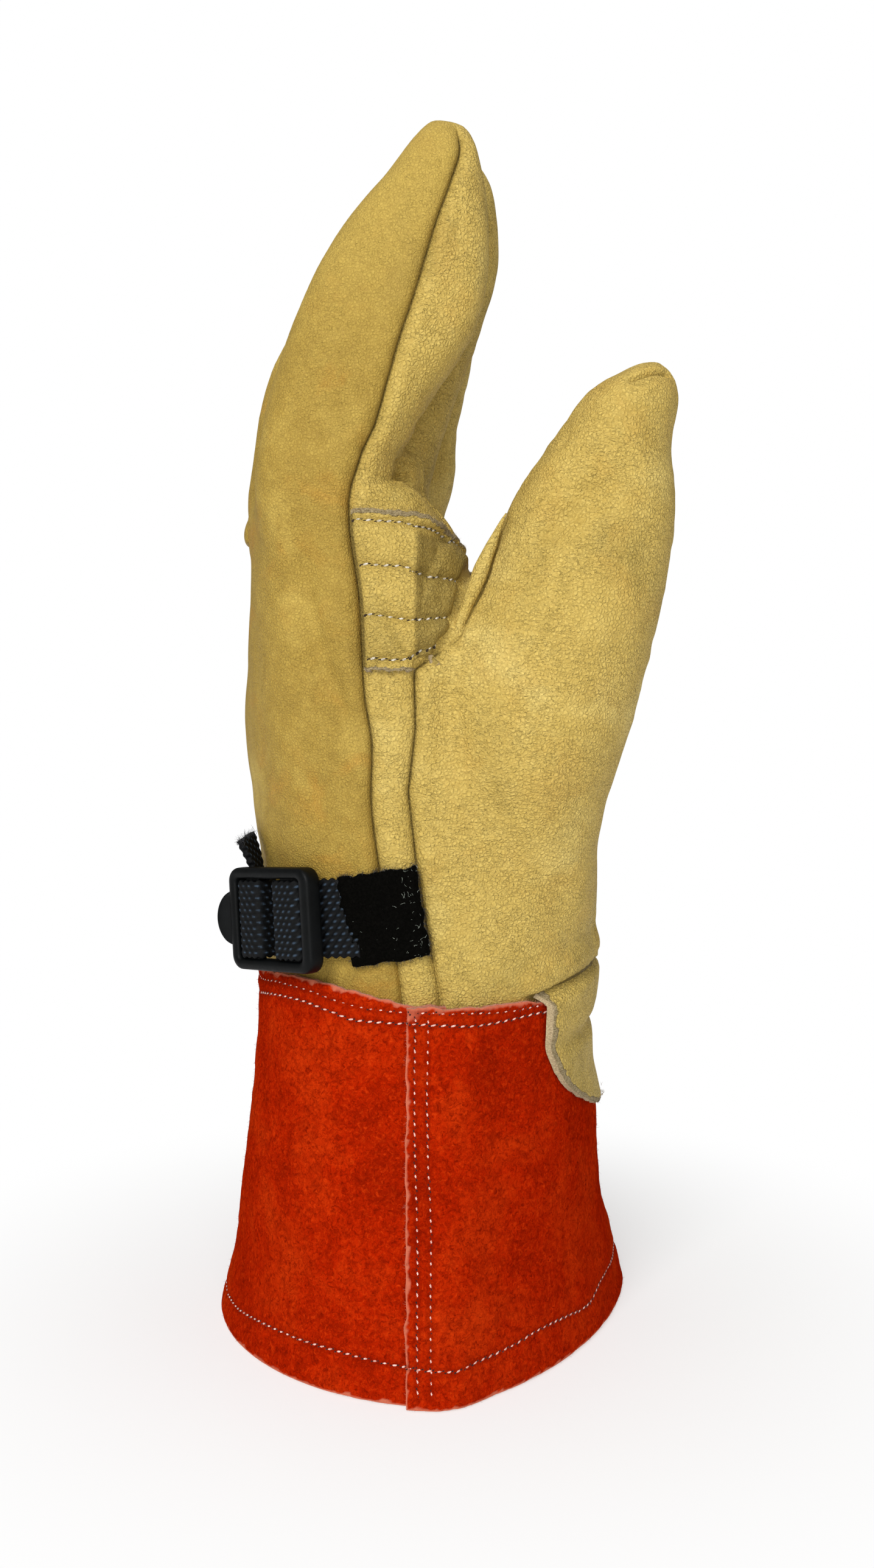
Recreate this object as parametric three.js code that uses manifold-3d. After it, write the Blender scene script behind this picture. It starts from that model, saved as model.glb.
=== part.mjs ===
// Leather protector glove for the left hand, standing on its hem.
// Millimetres, +Z up, hem on z = 0. The palm and thumb face +X, the index finger is on the -Y side.
// Every leather piece is a wall cut out of one hollow hand, along the seams of the real glove.
import * as THREE from "three";
import { mergeVertices } from "three/addons/utils/BufferGeometryUtils.js";
import Module from "manifold-3d";

const wasm = await Module();
wasm.setup();

// Driving dimensions
const WALL = 2; // leather and its soft backing
const GAP = 0.3; // between neighbouring pieces
const SEAM = 0.4; // width of the cut along a seam
const REACH = 90; // half-size of a cutting block, past every side of the glove
const TOP = 320; // above every fingertip
const CUFF_TOP = 91;
const CUFF_WALL = 1.8;
const LAP_WIDTH = 9; // overlap of the cuff's two ends
const LAP_EDGE_X = -7; // raw edge of the upper end, on the thumb side
const KNUCKLE_Z = 206; // seam under the middle and ring finger backs
const FLAP_BOTTOM = 201.5; // rolled edge that lies over the back of the hand
const FLAP_WALL = 2.3;
const PATCH_WALL = 1.7;
const TONGUE_WALL = 2;
const STRAP_WIDTH = 19; // three-quarter inch webbing
const STRAP_WALL = 1.4;
const STRAP_Z = 109.3; // middle of the webbing at the buckle
const STRAP_CLEAR = 0.5; // between the webbing and the leather
const TAB_WALL = 2.4;
const TAB_HALF_HEIGHT = 11;
const BUCKLE_LENGTH = 31;
const BUCKLE_HEIGHT = 25.6;
const BUCKLE_THICK = 4.4;
const BUCKLE_TURN = Math.PI / 4; // the buckle faces half way between near and back
const BUCKLE_TILT = THREE.MathUtils.degToRad(4.5); // its tab end is a little higher

// Corners round each form, outside and inside
const STEPS = {
  hand: { outside: 32, inside: 20 },
  finger: { outside: 14, inside: 10 },
  thumb: { outside: 20, inside: 12 },
};
const CUFF_STEPS = 40;
const FINGER_ROUNDNESS = 2.25; // exponents of the outlines, where 2 is an ellipse
const THUMB_ROUNDNESS = 2.2;
const BLOCK_LOW = 60; // the cutting blocks start here, below the hand's leather
const THUMB_HIGH = 262; // and those of the thumb end here
const THUMB_FAR_Y = 20;
const BEND_STEPS = 3; // in each bend of the webbing round a bar

// Colours, as three.js materials
const materials = {
  backLeather: new THREE.MeshStandardMaterial({ color: 0xc4a54e, roughness: 0.7, metalness: 0 }),
  palmLeather: new THREE.MeshStandardMaterial({ color: 0xd4bc6c, roughness: 0.7, metalness: 0 }),
  cuffSuede: new THREE.MeshStandardMaterial({ color: 0xc8300a, roughness: 0.95, metalness: 0 }),
  felt: new THREE.MeshStandardMaterial({ color: 0x0a0a0c, roughness: 1, metalness: 0 }),
  webbing: new THREE.MeshStandardMaterial({ color: 0x2d3746, roughness: 0.9, metalness: 0 }),
  plastic: new THREE.MeshStandardMaterial({ color: 0x121416, roughness: 0.45, metalness: 0 }),
};

// Cross-sections of the palm and wrist, from inside the cuff to the crotches of the fingers.
// xMid is where the section is widest; near is the index side and far the little finger side.
const handSections = [
  { z: 79, xBack: -45.8, xPalm: 37.8, xMid: -4, yNear: -45.7, yFar: 45.7, nBack: 2.2, nPalm: 2.25 },
  { z: 91, xBack: -46, xPalm: 39.2, xMid: -4, yNear: -46, yFar: 46, nBack: 2.2, nPalm: 2.25 },
  { z: 103, xBack: -46.4, xPalm: 39.4, xMid: -5, yNear: -46.3, yFar: 46.3, nBack: 2.2, nPalm: 2.5 },
  { z: 120, xBack: -47, xPalm: 39, xMid: -7, yNear: -47, yFar: 46.8, nBack: 2.2, nPalm: 2.7 },
  { z: 135, xBack: -48.8, xPalm: 35.5, xMid: -10, yNear: -48, yFar: 48, nBack: 2.3, nPalm: 2.6 },
  { z: 150, xBack: -50.4, xPalm: 30, xMid: -13, yNear: -49, yFar: 49.8, nBack: 2.4, nPalm: 2.4 },
  { z: 165, xBack: -50.9, xPalm: 22.5, xMid: -16, yNear: -50.2, yFar: 51, nBack: 2.6, nPalm: 2.5 },
  { z: 180, xBack: -50, xPalm: 15, xMid: -19, yNear: -51, yFar: 51.5, nBack: 2.8, nPalm: 2.7 },
  { z: 203, xBack: -49.2, xPalm: 7, xMid: -22, yNear: -51.2, yFar: 51.4, nBack: 3.2, nPalm: 3 },
  { z: 210, xBack: -49, xPalm: 3, xMid: -23, yNear: -50.6, yFar: 50.8, nBack: 3.2, nPalm: 3 },
  { z: 215, xBack: -46.5, xPalm: -2.5, xMid: -24, yNear: -47.5, yFar: 47.8, nBack: 2.8, nPalm: 2.8 },
  { z: 218, xBack: -40, xPalm: -11, xMid: -25, yNear: -41, yFar: 41, nBack: 2.4, nPalm: 2.4 },
];

// Each finger's sections: the back and the palm side of the finger, seen from the thumb side, then
// its half-width and the share of the way from back to palm at which its outer seam runs.
const fingers = {
  index: {
    y: -38.4,
    splay: -0.6,
    sections: [
      { xBack: -41, zBack: 190, xPalm: -24, zPalm: 186, half: 8, seam: 0.66 },
      { xBack: -44.6, zBack: 206, xPalm: -17.5, zPalm: 202, half: 11.9, seam: 0.7 },
      { xBack: -44.5, zBack: 216, xPalm: -13.2, zPalm: 214, half: 12.9, seam: 0.73 },
      { xBack: -42.9, zBack: 229, xPalm: -10.6, zPalm: 220.5, half: 12.9, seam: 0.74 },
      { xBack: -40.9, zBack: 240.5, xPalm: -4.6, zPalm: 229, half: 12.9, seam: 0.73 },
      { xBack: -34.2, zBack: 257.5, xPalm: 5.4, zPalm: 245.5, half: 12.7, seam: 0.68 },
      { xBack: -30.2, zBack: 266, xPalm: 9.2, zPalm: 253.5, half: 12.5, seam: 0.66 },
      { xBack: -25.3, zBack: 275, xPalm: 11.8, zPalm: 262.5, half: 12.2, seam: 0.63 },
      { xBack: -19, zBack: 283.6, xPalm: 12.8, zPalm: 272.5, half: 11.8, seam: 0.6 },
      { xBack: -12.3, zBack: 291.6, xPalm: 12.2, zPalm: 283.5, half: 10.8, seam: 0.63 },
      { xBack: -8.8, zBack: 296.5, xPalm: 10.8, zPalm: 291.5, half: 9, seam: 0.69 },
      { xBack: -5.6, zBack: 300.4, xPalm: 9, zPalm: 298, half: 6.4, seam: 0.75 },
      { xBack: -2.2, zBack: 302.8, xPalm: 5.5, zPalm: 302.2, half: 3, seam: 0.8 },
    ],
  },
  middle: {
    y: -12.9,
    splay: 0,
    sections: [
      { xBack: -41, zBack: 190, xPalm: -20, zPalm: 186, half: 8, seam: 0.66 },
      { xBack: -47.5, zBack: 203, xPalm: -10, zPalm: 200, half: 12.2, seam: 0.64 },
      { xBack: -51.5, zBack: 213, xPalm: -5.5, zPalm: 211, half: 12.3, seam: 0.64 },
      { xBack: -49, zBack: 229, xPalm: -2.6, zPalm: 220, half: 12.3, seam: 0.63 },
      { xBack: -45.6, zBack: 243, xPalm: 0.8, zPalm: 232, half: 12.4, seam: 0.62 },
      { xBack: -39.6, zBack: 256, xPalm: 5.6, zPalm: 244, half: 12.4, seam: 0.62 },
      { xBack: -32, zBack: 269, xPalm: 10.6, zPalm: 257.5, half: 12.4, seam: 0.62 },
      { xBack: -20.5, zBack: 284.6, xPalm: 16, zPalm: 274.5, half: 12, seam: 0.61 },
      { xBack: -9.5, zBack: 297.5, xPalm: 15.6, zPalm: 291, half: 10.2, seam: 0.64 },
      { xBack: -5, zBack: 302, xPalm: 13, zPalm: 298.5, half: 7.6, seam: 0.67 },
      { xBack: -0.5, zBack: 304.8, xPalm: 8.6, zPalm: 303.4, half: 3.8, seam: 0.7 },
    ],
  },
  ring: {
    y: 13,
    splay: 0.3,
    sections: [
      { xBack: -41, zBack: 190, xPalm: -18, zPalm: 186, half: 8, seam: 0.66 },
      { xBack: -47.5, zBack: 203, xPalm: -6, zPalm: 200, half: 12.2, seam: 0.63 },
      { xBack: -51.3, zBack: 213, xPalm: -0.6, zPalm: 211, half: 12.3, seam: 0.62 },
      { xBack: -49.2, zBack: 228, xPalm: 3.2, zPalm: 221, half: 12.3, seam: 0.61 },
      { xBack: -46, zBack: 241, xPalm: 4.7, zPalm: 234, half: 12.3, seam: 0.61 },
      { xBack: -40.8, zBack: 253, xPalm: 6.4, zPalm: 245, half: 12.2, seam: 0.61 },
      { xBack: -30.2, zBack: 270, xPalm: 10.2, zPalm: 262, half: 12, seam: 0.61 },
      { xBack: -18, zBack: 284.5, xPalm: 11.2, zPalm: 279, half: 10.8, seam: 0.62 },
      { xBack: -11.5, zBack: 290.5, xPalm: 8.8, zPalm: 287, half: 8.2, seam: 0.65 },
      { xBack: -6.5, zBack: 293.6, xPalm: 4, zPalm: 292.4, half: 4.2, seam: 0.68 },
    ],
  },
  little: {
    y: 38.4,
    splay: 1.2,
    sections: [
      { xBack: -41, zBack: 190, xPalm: -22, zPalm: 186, half: 8, seam: 0.66 },
      { xBack: -44.6, zBack: 206, xPalm: -12, zPalm: 202, half: 11.8, seam: 0.64 },
      { xBack: -44.8, zBack: 217, xPalm: -5.4, zPalm: 212, half: 12.5, seam: 0.62 },
      { xBack: -42.4, zBack: 229, xPalm: -2.4, zPalm: 222, half: 12.4, seam: 0.61 },
      { xBack: -38, zBack: 240.5, xPalm: 0.8, zPalm: 233, half: 12.2, seam: 0.61 },
      { xBack: -31.8, zBack: 251.5, xPalm: 3, zPalm: 244.5, half: 11.7, seam: 0.61 },
      { xBack: -24.5, zBack: 260.5, xPalm: 3.2, zPalm: 255, half: 10.4, seam: 0.62 },
      { xBack: -18, zBack: 266, xPalm: 0.6, zPalm: 262.8, half: 7.8, seam: 0.64 },
      { xBack: -12.5, zBack: 268.8, xPalm: -3.6, zPalm: 267.6, half: 4, seam: 0.67 },
    ],
  },
};

// The thumb's sections: the side towards the fingers and the outer side, its middle across the
// hand and its half-width.
const thumbSections = [
  { xIn: 4, zIn: 100, xOut: 31, zOut: 96, y: -10, half: 14 },
  { xIn: -1, zIn: 114, xOut: 37.8, zOut: 108, y: -14, half: 22 },
  { xIn: -3.5, zIn: 128, xOut: 40.4, zOut: 121, y: -17.5, half: 25.5 },
  { xIn: -5.5, zIn: 142, xOut: 43.2, zOut: 134, y: -21.5, half: 27 },
  { xIn: -5.5, zIn: 156, xOut: 47, zOut: 148, y: -26, half: 26.2 },
  { xIn: -3.4, zIn: 169, xOut: 50.8, zOut: 162, y: -28, half: 24.5 },
  { xIn: 3, zIn: 182, xOut: 54.2, zOut: 175, y: -29.6, half: 22.9 },
  { xIn: 9.5, zIn: 195, xOut: 56.9, zOut: 188, y: -31, half: 21.3 },
  { xIn: 14.6, zIn: 206.5, xOut: 58.5, zOut: 199.5, y: -32, half: 20 },
  { xIn: 20, zIn: 216.8, xOut: 58.9, zOut: 210.5, y: -32.6, half: 19 },
  { xIn: 26, zIn: 226.2, xOut: 57.9, zOut: 221, y: -33, half: 17.9 },
  { xIn: 31.5, zIn: 234.6, xOut: 58.4, zOut: 231, y: -33.3, half: 16.4 },
  { xIn: 36.6, zIn: 241, xOut: 59.4, zOut: 238, y: -33.5, half: 13.8 },
  { xIn: 43.6, zIn: 245.4, xOut: 58.3, zOut: 243.4, y: -33.5, half: 10 },
  { xIn: 49.4, zIn: 247.3, xOut: 55.6, zOut: 246.6, y: -33.5, half: 4.6 },
];

// The seam between the back and the palm below the fingers, in x at each height
const sideSeam = [
  { z: BLOCK_LOW, x: -7.5 },
  { z: 92, x: -8.6 },
  { z: 103, x: -10 },
  { z: 124, x: -13.9 },
  { z: 140, x: -15.8 },
  { z: 155, x: -15.6 },
  { z: 165, x: -17.1 },
  { z: 190, x: -18.4 },
  { z: 208, x: -20.3 },
];

// The near edge of the thumb panel: up from the cuff, round the crotch and past the thumb
const thumbSeam = [
  { z: BLOCK_LOW, x: 3 },
  { z: 94, x: 0.5 },
  { z: 110, x: -2.5 },
  { z: 125, x: -4.9 },
  { z: 143, x: -6.8 },
  { z: 158, x: -4.9 },
  { z: 172, x: -5 },
  { z: 176.5, x: 1.5 },
  { z: 192, x: 10.6 },
  { z: 207, x: 17 },
  { z: 214, x: 12 },
  { z: THUMB_HIGH, x: 12 },
];

// How far round the thumb its outer panel goes, in y at each height
const thumbPanelEdge = [
  { z: BLOCK_LOW, y: -8 },
  { z: 100, y: -11 },
  { z: 135, y: -15 },
  { z: 165, y: -24 },
  { z: 200, y: -30 },
  { z: 236, y: -34 },
  { z: THUMB_HIGH, y: -36 },
];

// Cross-sections of the cuff's inner face; its upper part fits over the hand's leather.
// The palm side stands out furthest at yTurn, and is rounder past it.
const cuffSections = [
  {
    z: 0, xBack: -57.62, xPalm: 51.6, xMid: 0, yNear: -62, yFar: 64.1, yTurn: 14,
    nBack: 1.85, nPalm: 1.55,
  },
  {
    z: 17, xBack: -53.3, xPalm: 47, xMid: -0.8, yNear: -59, yFar: 60.2, yTurn: 11,
    nBack: 1.92, nPalm: 1.62,
  },
  {
    z: 28, xBack: -52, xPalm: 44, xMid: -1.3, yNear: -56.8, yFar: 57.4, yTurn: 8,
    nBack: 1.98, nPalm: 1.7,
  },
  {
    z: 44, xBack: -50.5, xPalm: 42.3, xMid: -2.2, yNear: -53.5, yFar: 53.5, yTurn: 5,
    nBack: 2.05, nPalm: 1.8,
  },
  {
    z: 56, xBack: -49, xPalm: 41.4, xMid: -3, yNear: -51, yFar: 51, yTurn: 3,
    nBack: 2.12, nPalm: 1.9,
  },
  {
    z: 70, xBack: -47.3, xPalm: 38.2, xMid: -3.6, yNear: -48.2, yFar: 48.2, yTurn: 1,
    nBack: 2.18, nPalm: 2.08,
  },
  {
    z: 77, xBack: -46.6, xPalm: 38.2, xMid: -4, yNear: -46.9, yFar: 46.9, yTurn: 0,
    nBack: 2.2, nPalm: 2.2,
  },
  {
    z: 91, xBack: -46.4, xPalm: 39.6, xMid: -4, yNear: -46.4, yFar: 46.4, yTurn: 0,
    nBack: 2.2, nPalm: 2.25,
  },
];

// Soft dents and swellings of the leather: where, how wide, and how far along the direction given
const dents = [
  { x: -30, y: -46, z: 178, wide: 6, tall: 34, dx: 0.3, dy: 1, dz: 0, depth: 1.6 },
  { x: 31, y: -51, z: 214, wide: 9, tall: 12, dx: 0, dy: 1, dz: 0, depth: 1.4 },
  { x: 27, y: -14, z: 190, wide: 10, tall: 14, dx: 0, dy: -1, dz: 0, depth: 2 },
  { x: 24, y: 6, z: 150, wide: 16, tall: 22, dx: -1, dy: 0, dz: 0, depth: 4 },
  { x: -48, y: 4, z: 130, wide: 22, tall: 14, dx: 1, dy: 0, dz: 0, depth: 1.2 },
];

// A number from a table, between its rows in z
function along(table, z, key) {
  const last = table.length - 1;
  const next = table.findIndex((row) => row.z > z);
  if (next === 0) return table[0][key];
  if (next < 0) return table[last][key];
  const [low, high] = [table[next - 1], table[next]];
  return THREE.MathUtils.lerp(low[key], high[key], (z - low.z) / (high.z - low.z));
}

// A signed power, the heart of a rounded-rectangle (superellipse) outline
function bulge(value, exponent) {
  return Math.sign(value) * Math.abs(value) ** (2 / exponent);
}

// Moves a point of the leather by the dents near it
function dented(point) {
  const moved = point.clone();
  for (const dent of dents) {
    const flat = Math.hypot(point.x - dent.x, point.y - dent.y) / dent.wide;
    const up = (point.z - dent.z) / dent.tall;
    const share = dent.depth * Math.exp(-flat * flat - up * up);
    moved.add(new THREE.Vector3(dent.dx, dent.dy, dent.dz).multiplyScalar(share));
  }
  return moved;
}

// A whole row of a table at any height
function rowAt(table, z) {
  const keys = Object.keys(table[0]);
  return Object.fromEntries(keys.map((key) => [key, key === "z" ? z : along(table, z, key)]));
}

const FAR_ROUNDNESS = 2; // the least exponent on the little finger side of the palm

// A point of a level section, grown outwards by an offset. The angle is 0 at the palm side,
// -90 degrees at the index side and 180 degrees at the back.
function levelPoint(row, offset, angle) {
  const [c, s] = [Math.cos(angle), Math.sin(angle)];
  const isPalm = c > 0;
  const n = isPalm ? row.nPalm : row.nBack;
  const xHalf = (isPalm ? row.xPalm - row.xMid : row.xMid - row.xBack) + offset;
  const yTurn = isPalm ? (row.yTurn ?? 0) : 0;
  const yHalf = (s > 0 ? row.yFar - yTurn : yTurn - row.yNear) + offset;
  const ySides = isPalm && s > 0 ? Math.max(n, FAR_ROUNDNESS) : n;
  return new THREE.Vector3(
    row.xMid + xHalf * bulge(c, ySides),
    yTurn + yHalf * bulge(s, ySides),
    row.z,
  );
}

function levelRing(row, offset, steps) {
  return Array.from({ length: steps }, (_, index) => levelPoint(row, offset, (2 * Math.PI * index) / steps));
}

// The angle, on the index side, of the point with this x
function nearAngle(row, x) {
  const isPalm = x > row.xMid;
  const half = isPalm ? row.xPalm - row.xMid : row.xMid - row.xBack;
  const share = Math.abs(x - row.xMid) / half;
  return -Math.acos((isPalm ? 1 : -1) * share ** ((isPalm ? row.nPalm : row.nBack) / 2));
}

// The point of the palm side with this y
function palmPoint(row, offset, y) {
  const isFar = y > row.yTurn;
  const n = isFar ? Math.max(row.nPalm, FAR_ROUNDNESS) : row.nPalm;
  const share = Math.abs(y - row.yTurn) / ((isFar ? row.yFar - row.yTurn : row.yTurn - row.yNear) + offset);
  const x = (row.xPalm - row.xMid + offset) * (1 - share ** n) ** (1 / n);
  return new THREE.Vector3(row.xMid + x, y, row.z);
}

// One ring round a finger or the thumb, between two points of its side view
function limbRing(limb, index, offset, steps, exponent) {
  const row = limb[index];
  const before = limb[Math.max(index - 1, 0)];
  const after = limb[Math.min(index + 1, limb.length - 1)];
  const travel = after.centre.distanceTo(before.centre);
  const slope = (after.half - before.half) / travel;
  const lean = Math.hypot(1, slope);
  const axis = after.centre.clone().sub(before.centre).normalize();
  const centre = row.centre.clone().addScaledVector(axis, (-offset * slope) / lean);
  const grow = offset / lean;
  return Array.from({ length: steps }, (_, step) => {
    const angle = (2 * Math.PI * step) / steps;
    const across = bulge(Math.cos(angle), exponent) * (row.thick + grow);
    const side = bulge(Math.sin(angle), exponent) * (row.half + grow);
    return centre.clone().addScaledVector(row.direction, across).add(new THREE.Vector3(0, side, 0));
  });
}

// A finger's rows as centres, directions and half-sizes
function fingerRows(finger) {
  const root = finger.sections[0].zBack;
  const tip = finger.sections.at(-1).zBack;
  return finger.sections.map((row) => {
    const back = new THREE.Vector3(row.xBack, 0, row.zBack);
    const palm = new THREE.Vector3(row.xPalm, 0, row.zPalm);
    const centre = back.clone().lerp(palm, 0.5);
    centre.y = finger.y + (finger.splay * (row.zBack - root)) / (tip - root);
    const direction = palm.clone().sub(back);
    return { centre, thick: direction.length() / 2, half: row.half, direction: direction.normalize() };
  });
}

// The thumb's rows in the same form
function thumbRows() {
  return thumbSections.map((row) => {
    const inner = new THREE.Vector3(row.xIn, 0, row.zIn);
    const outer = new THREE.Vector3(row.xOut, 0, row.zOut);
    const centre = inner.clone().lerp(outer, 0.5);
    centre.y = row.y;
    const direction = outer.clone().sub(inner);
    return { centre, thick: direction.length() / 2, half: row.half, direction: direction.normalize() };
  });
}

// A closed geometry through rings with the same number of corners, with a fan over each end
function loft(rings) {
  const steps = rings[0].length;
  const positions = [];
  const indices = [];
  for (const ring of rings) {
    for (const point of ring) positions.push(point.x, point.y, point.z);
  }
  for (let ring = 0; ring < rings.length - 1; ring += 1) {
    for (let step = 0; step < steps; step += 1) {
      const next = (step + 1) % steps;
      const [a, b] = [ring * steps + step, ring * steps + next];
      const [c, d] = [a + steps, b + steps];
      indices.push(a, b, d, a, d, c);
    }
  }
  for (const ring of [0, rings.length - 1]) {
    const middle = rings[ring].reduce((sum, point) => sum.add(point), new THREE.Vector3());
    middle.divideScalar(steps);
    const hub = positions.length / 3;
    positions.push(middle.x, middle.y, middle.z);
    for (let step = 0; step < steps; step += 1) {
      const [a, b] = [ring * steps + step, ring * steps + ((step + 1) % steps)];
      indices.push(...(ring === 0 ? [hub, b, a] : [hub, a, b]));
    }
  }
  const geometry = new THREE.BufferGeometry();
  geometry.setAttribute("position", new THREE.Float32BufferAttribute(positions, 3));
  geometry.setIndex(indices);
  return geometry;
}

// A three.js geometry as a solid that can be joined and cut, faces out
function solid(geometry) {
  const bare = geometry.clone();
  bare.deleteAttribute("normal");
  bare.deleteAttribute("uv");
  const merged = mergeVertices(bare, 1e-4);
  const vertProperties = new Float32Array(merged.attributes.position.array);
  const triVerts = new Uint32Array(merged.index.array);
  const made = new wasm.Manifold(new wasm.Mesh({ numProp: 3, vertProperties, triVerts }));
  if (made.volume() > 0) return made;
  for (let at = 0; at < triVerts.length; at += 3) {
    [triVerts[at], triVerts[at + 1]] = [triVerts[at + 1], triVerts[at]];
  }
  return new wasm.Manifold(new wasm.Mesh({ numProp: 3, vertProperties, triVerts }));
}

// The solid back as a three.js geometry
function geometryOf(body) {
  const mesh = body.getMesh();
  const positions = [];
  for (let at = 0; at < mesh.vertProperties.length; at += mesh.numProp) {
    positions.push(...mesh.vertProperties.slice(at, at + 3));
  }
  const geometry = new THREE.BufferGeometry();
  geometry.setAttribute("position", new THREE.Float32BufferAttribute(positions, 3));
  geometry.setIndex([...mesh.triVerts]);
  return geometry;
}

// The largest of the bodies that a cut leaves
function largest(body) {
  return body.decompose().reduce((best, part) => (part.volume() > best.volume() ? part : best));
}

// A block that stands on an outline in x and z and runs from one y to another
function sideBlock(outline, yLow, yHigh) {
  const shape = new THREE.Shape(outline.map(([x, z]) => new THREE.Vector2(x, z)));
  const geometry = new THREE.ExtrudeGeometry(shape, { depth: yHigh - yLow, bevelEnabled: false });
  geometry.rotateX(Math.PI / 2);
  geometry.translate(0, yHigh, 0);
  return solid(geometry);
}

// A block that stands on an outline in y and z and runs from one x to another
function frontBlock(outline, xLow, xHigh) {
  const shape = new THREE.Shape(outline.map(([y, z]) => new THREE.Vector2(y, z)));
  const geometry = new THREE.ExtrudeGeometry(shape, { depth: xHigh - xLow, bevelEnabled: false });
  geometry.rotateX(Math.PI / 2);
  geometry.rotateZ(Math.PI / 2);
  geometry.translate(xLow, 0, 0);
  return solid(geometry);
}

const DOME_ROWS = 3; // the last sections, where the hand closes between the fingers

// The hand without its thumb, grown by an offset; a hollow starts below the bottom edge
function handLoft(offset) {
  const steps = offset < 0 ? STEPS.hand.inside : STEPS.hand.outside;
  const rings = handSections.map((row, index) => {
    const before = handSections[Math.max(index - 1, 0)];
    const isDome = index >= handSections.length - DOME_ROWS;
    const slope = isDome ? (row.yFar - before.yFar) / (row.z - before.z) : 0;
    const lean = Math.hypot(1, slope);
    const lifted = { ...row, z: row.z - (offset * slope) / lean };
    return levelRing(lifted, offset / lean, steps).map(dented);
  });
  if (offset < 0) {
    const below = handSections[0];
    rings.unshift(levelRing({ ...below, z: below.z - 4 * WALL }, offset, steps));
  }
  return solid(loft(rings));
}

function limbLoft(rows, offset, { outside, inside }, roundness) {
  const steps = offset < 0 ? inside : outside;
  return solid(loft(rows.map((_, index) => limbRing(rows, index, offset, steps, roundness).map(dented))));
}

function fingerLoft(finger, offset) {
  return limbLoft(fingerRows(finger), offset, STEPS.finger, FINGER_ROUNDNESS);
}

function thumbLoft(offset) {
  return limbLoft(thumbRows(), offset, STEPS.thumb, THUMB_ROUNDNESS);
}

// All six forms joined, at one offset
function wholeHand(offset) {
  const limbs = Object.values(fingers).map((finger) => fingerLoft(finger, offset));
  return limbs.reduce((sum, limb) => sum.add(limb), handLoft(offset).add(thumbLoft(offset)));
}

// The seam of one finger: the side seam up to the knuckles, then its own share of the thickness
function fingerSeam(finger) {
  const lower = sideSeam.map((row) => [row.x, row.z]);
  const upper = finger.sections.map((row) => [
    THREE.MathUtils.lerp(row.xBack, row.xPalm, row.seam),
    THREE.MathUtils.lerp(row.zBack, row.zPalm, row.seam),
  ]);
  const knuckles = sideSeam.at(-1).z;
  const line = [...lower, ...upper.filter(([, z]) => z > knuckles + 4)];
  const [lastX] = line.at(-1);
  return [...line, [lastX + 0.5, TOP]];
}

// The block on the back side or the palm side of a finger's seam, over its own band of the hand
function sideOfSeam(finger, isBack, yLow, yHigh) {
  const shift = isBack ? -SEAM / 2 : SEAM / 2;
  const far = isBack ? -REACH : REACH;
  const line = fingerSeam(finger).map(([x, z]) => [x + shift, z]);
  return sideBlock([...line, [far, TOP], [far, line[0][1]]], yLow, yHigh);
}

const fingerList = Object.values(fingers);
const between = fingerList.slice(1).map((finger, index) => (finger.y + fingerList[index].y) / 2);
const bands = [-REACH, ...between, REACH];
const OVERLAP = 0.02; // blocks that are joined share this much

// The half of the glove on one side of all the seams
function halfGlove(isBack, first = 0, last = fingerList.length - 1) {
  const blocks = fingerList
    .slice(first, last + 1)
    .map((finger, index) =>
      sideOfSeam(finger, isBack, bands[first + index] - OVERLAP, bands[first + index + 1] + OVERLAP),
    );
  return blocks.reduce((sum, block) => sum.add(block));
}

// The strip between two fingers: a band about each finger's seam, narrowing towards the tips
const STRIP_BOTTOM = 208;
const STRIP_HALF_WIDTH = 8;
const STRIP_END_SHARE = 0.18; // how narrow it gets
function stripBand(finger, length, yLow, yHigh, extra) {
  const line = fingerSeam(finger).filter(([, z]) => z > STRIP_BOTTOM - 1 && z < length);
  const first = line[0];
  const start = [first[0], STRIP_BOTTOM - extra];
  const points = [start, ...line.filter(([, z]) => z > STRIP_BOTTOM + 4)];
  const top = points.at(-1)[1];
  const half = (z) => {
    const share = (z - STRIP_BOTTOM) / (top - STRIP_BOTTOM);
    return STRIP_HALF_WIDTH * (1 - (1 - STRIP_END_SHARE) * share ** 2) + extra;
  };
  const left = points.map(([x, z]) => [x - half(z), z]);
  const right = points.map(([x, z]) => [x + half(z), z]).reverse();
  return sideBlock([...left, [points.at(-1)[0], top + 1 + extra], ...right], yLow, yHigh);
}

function stripBlock(index, extra) {
  const [low, high] = [fingerList[index], fingerList[index + 1]];
  const ends = [low, high].map((finger) => finger.sections.at(-3).zPalm - 2);
  const middle = between[index];
  const near = stripBand(low, ends[0], low.y, middle + OVERLAP, extra);
  const far = stripBand(high, ends[1], middle - OVERLAP, high.y, extra);
  return near.add(far);
}

// The hollow hand, before it is cut into its panels
const handOutside = wholeHand(0);
const handInside = wholeHand(-WALL);
const hand = handOutside.subtract(handInside);

// The outer thumb panel's block: right of the thumb seam and on the near side of the panel edge
function thumbPanelBlock(extra) {
  const outline = thumbSeam.map(({ x, z }) => [x - extra, z]);
  const corners = [[REACH, THUMB_HIGH], [REACH, BLOCK_LOW]];
  const column = sideBlock([...outline, ...corners], -REACH, THUMB_FAR_Y);
  const edge = thumbPanelEdge.map(({ y, z }) => [y + extra, z]);
  const near = frontBlock([[-REACH, BLOCK_LOW], ...edge, [-REACH, THUMB_HIGH]], -THUMB_FAR_Y, REACH);
  return column.intersect(near);
}

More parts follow.
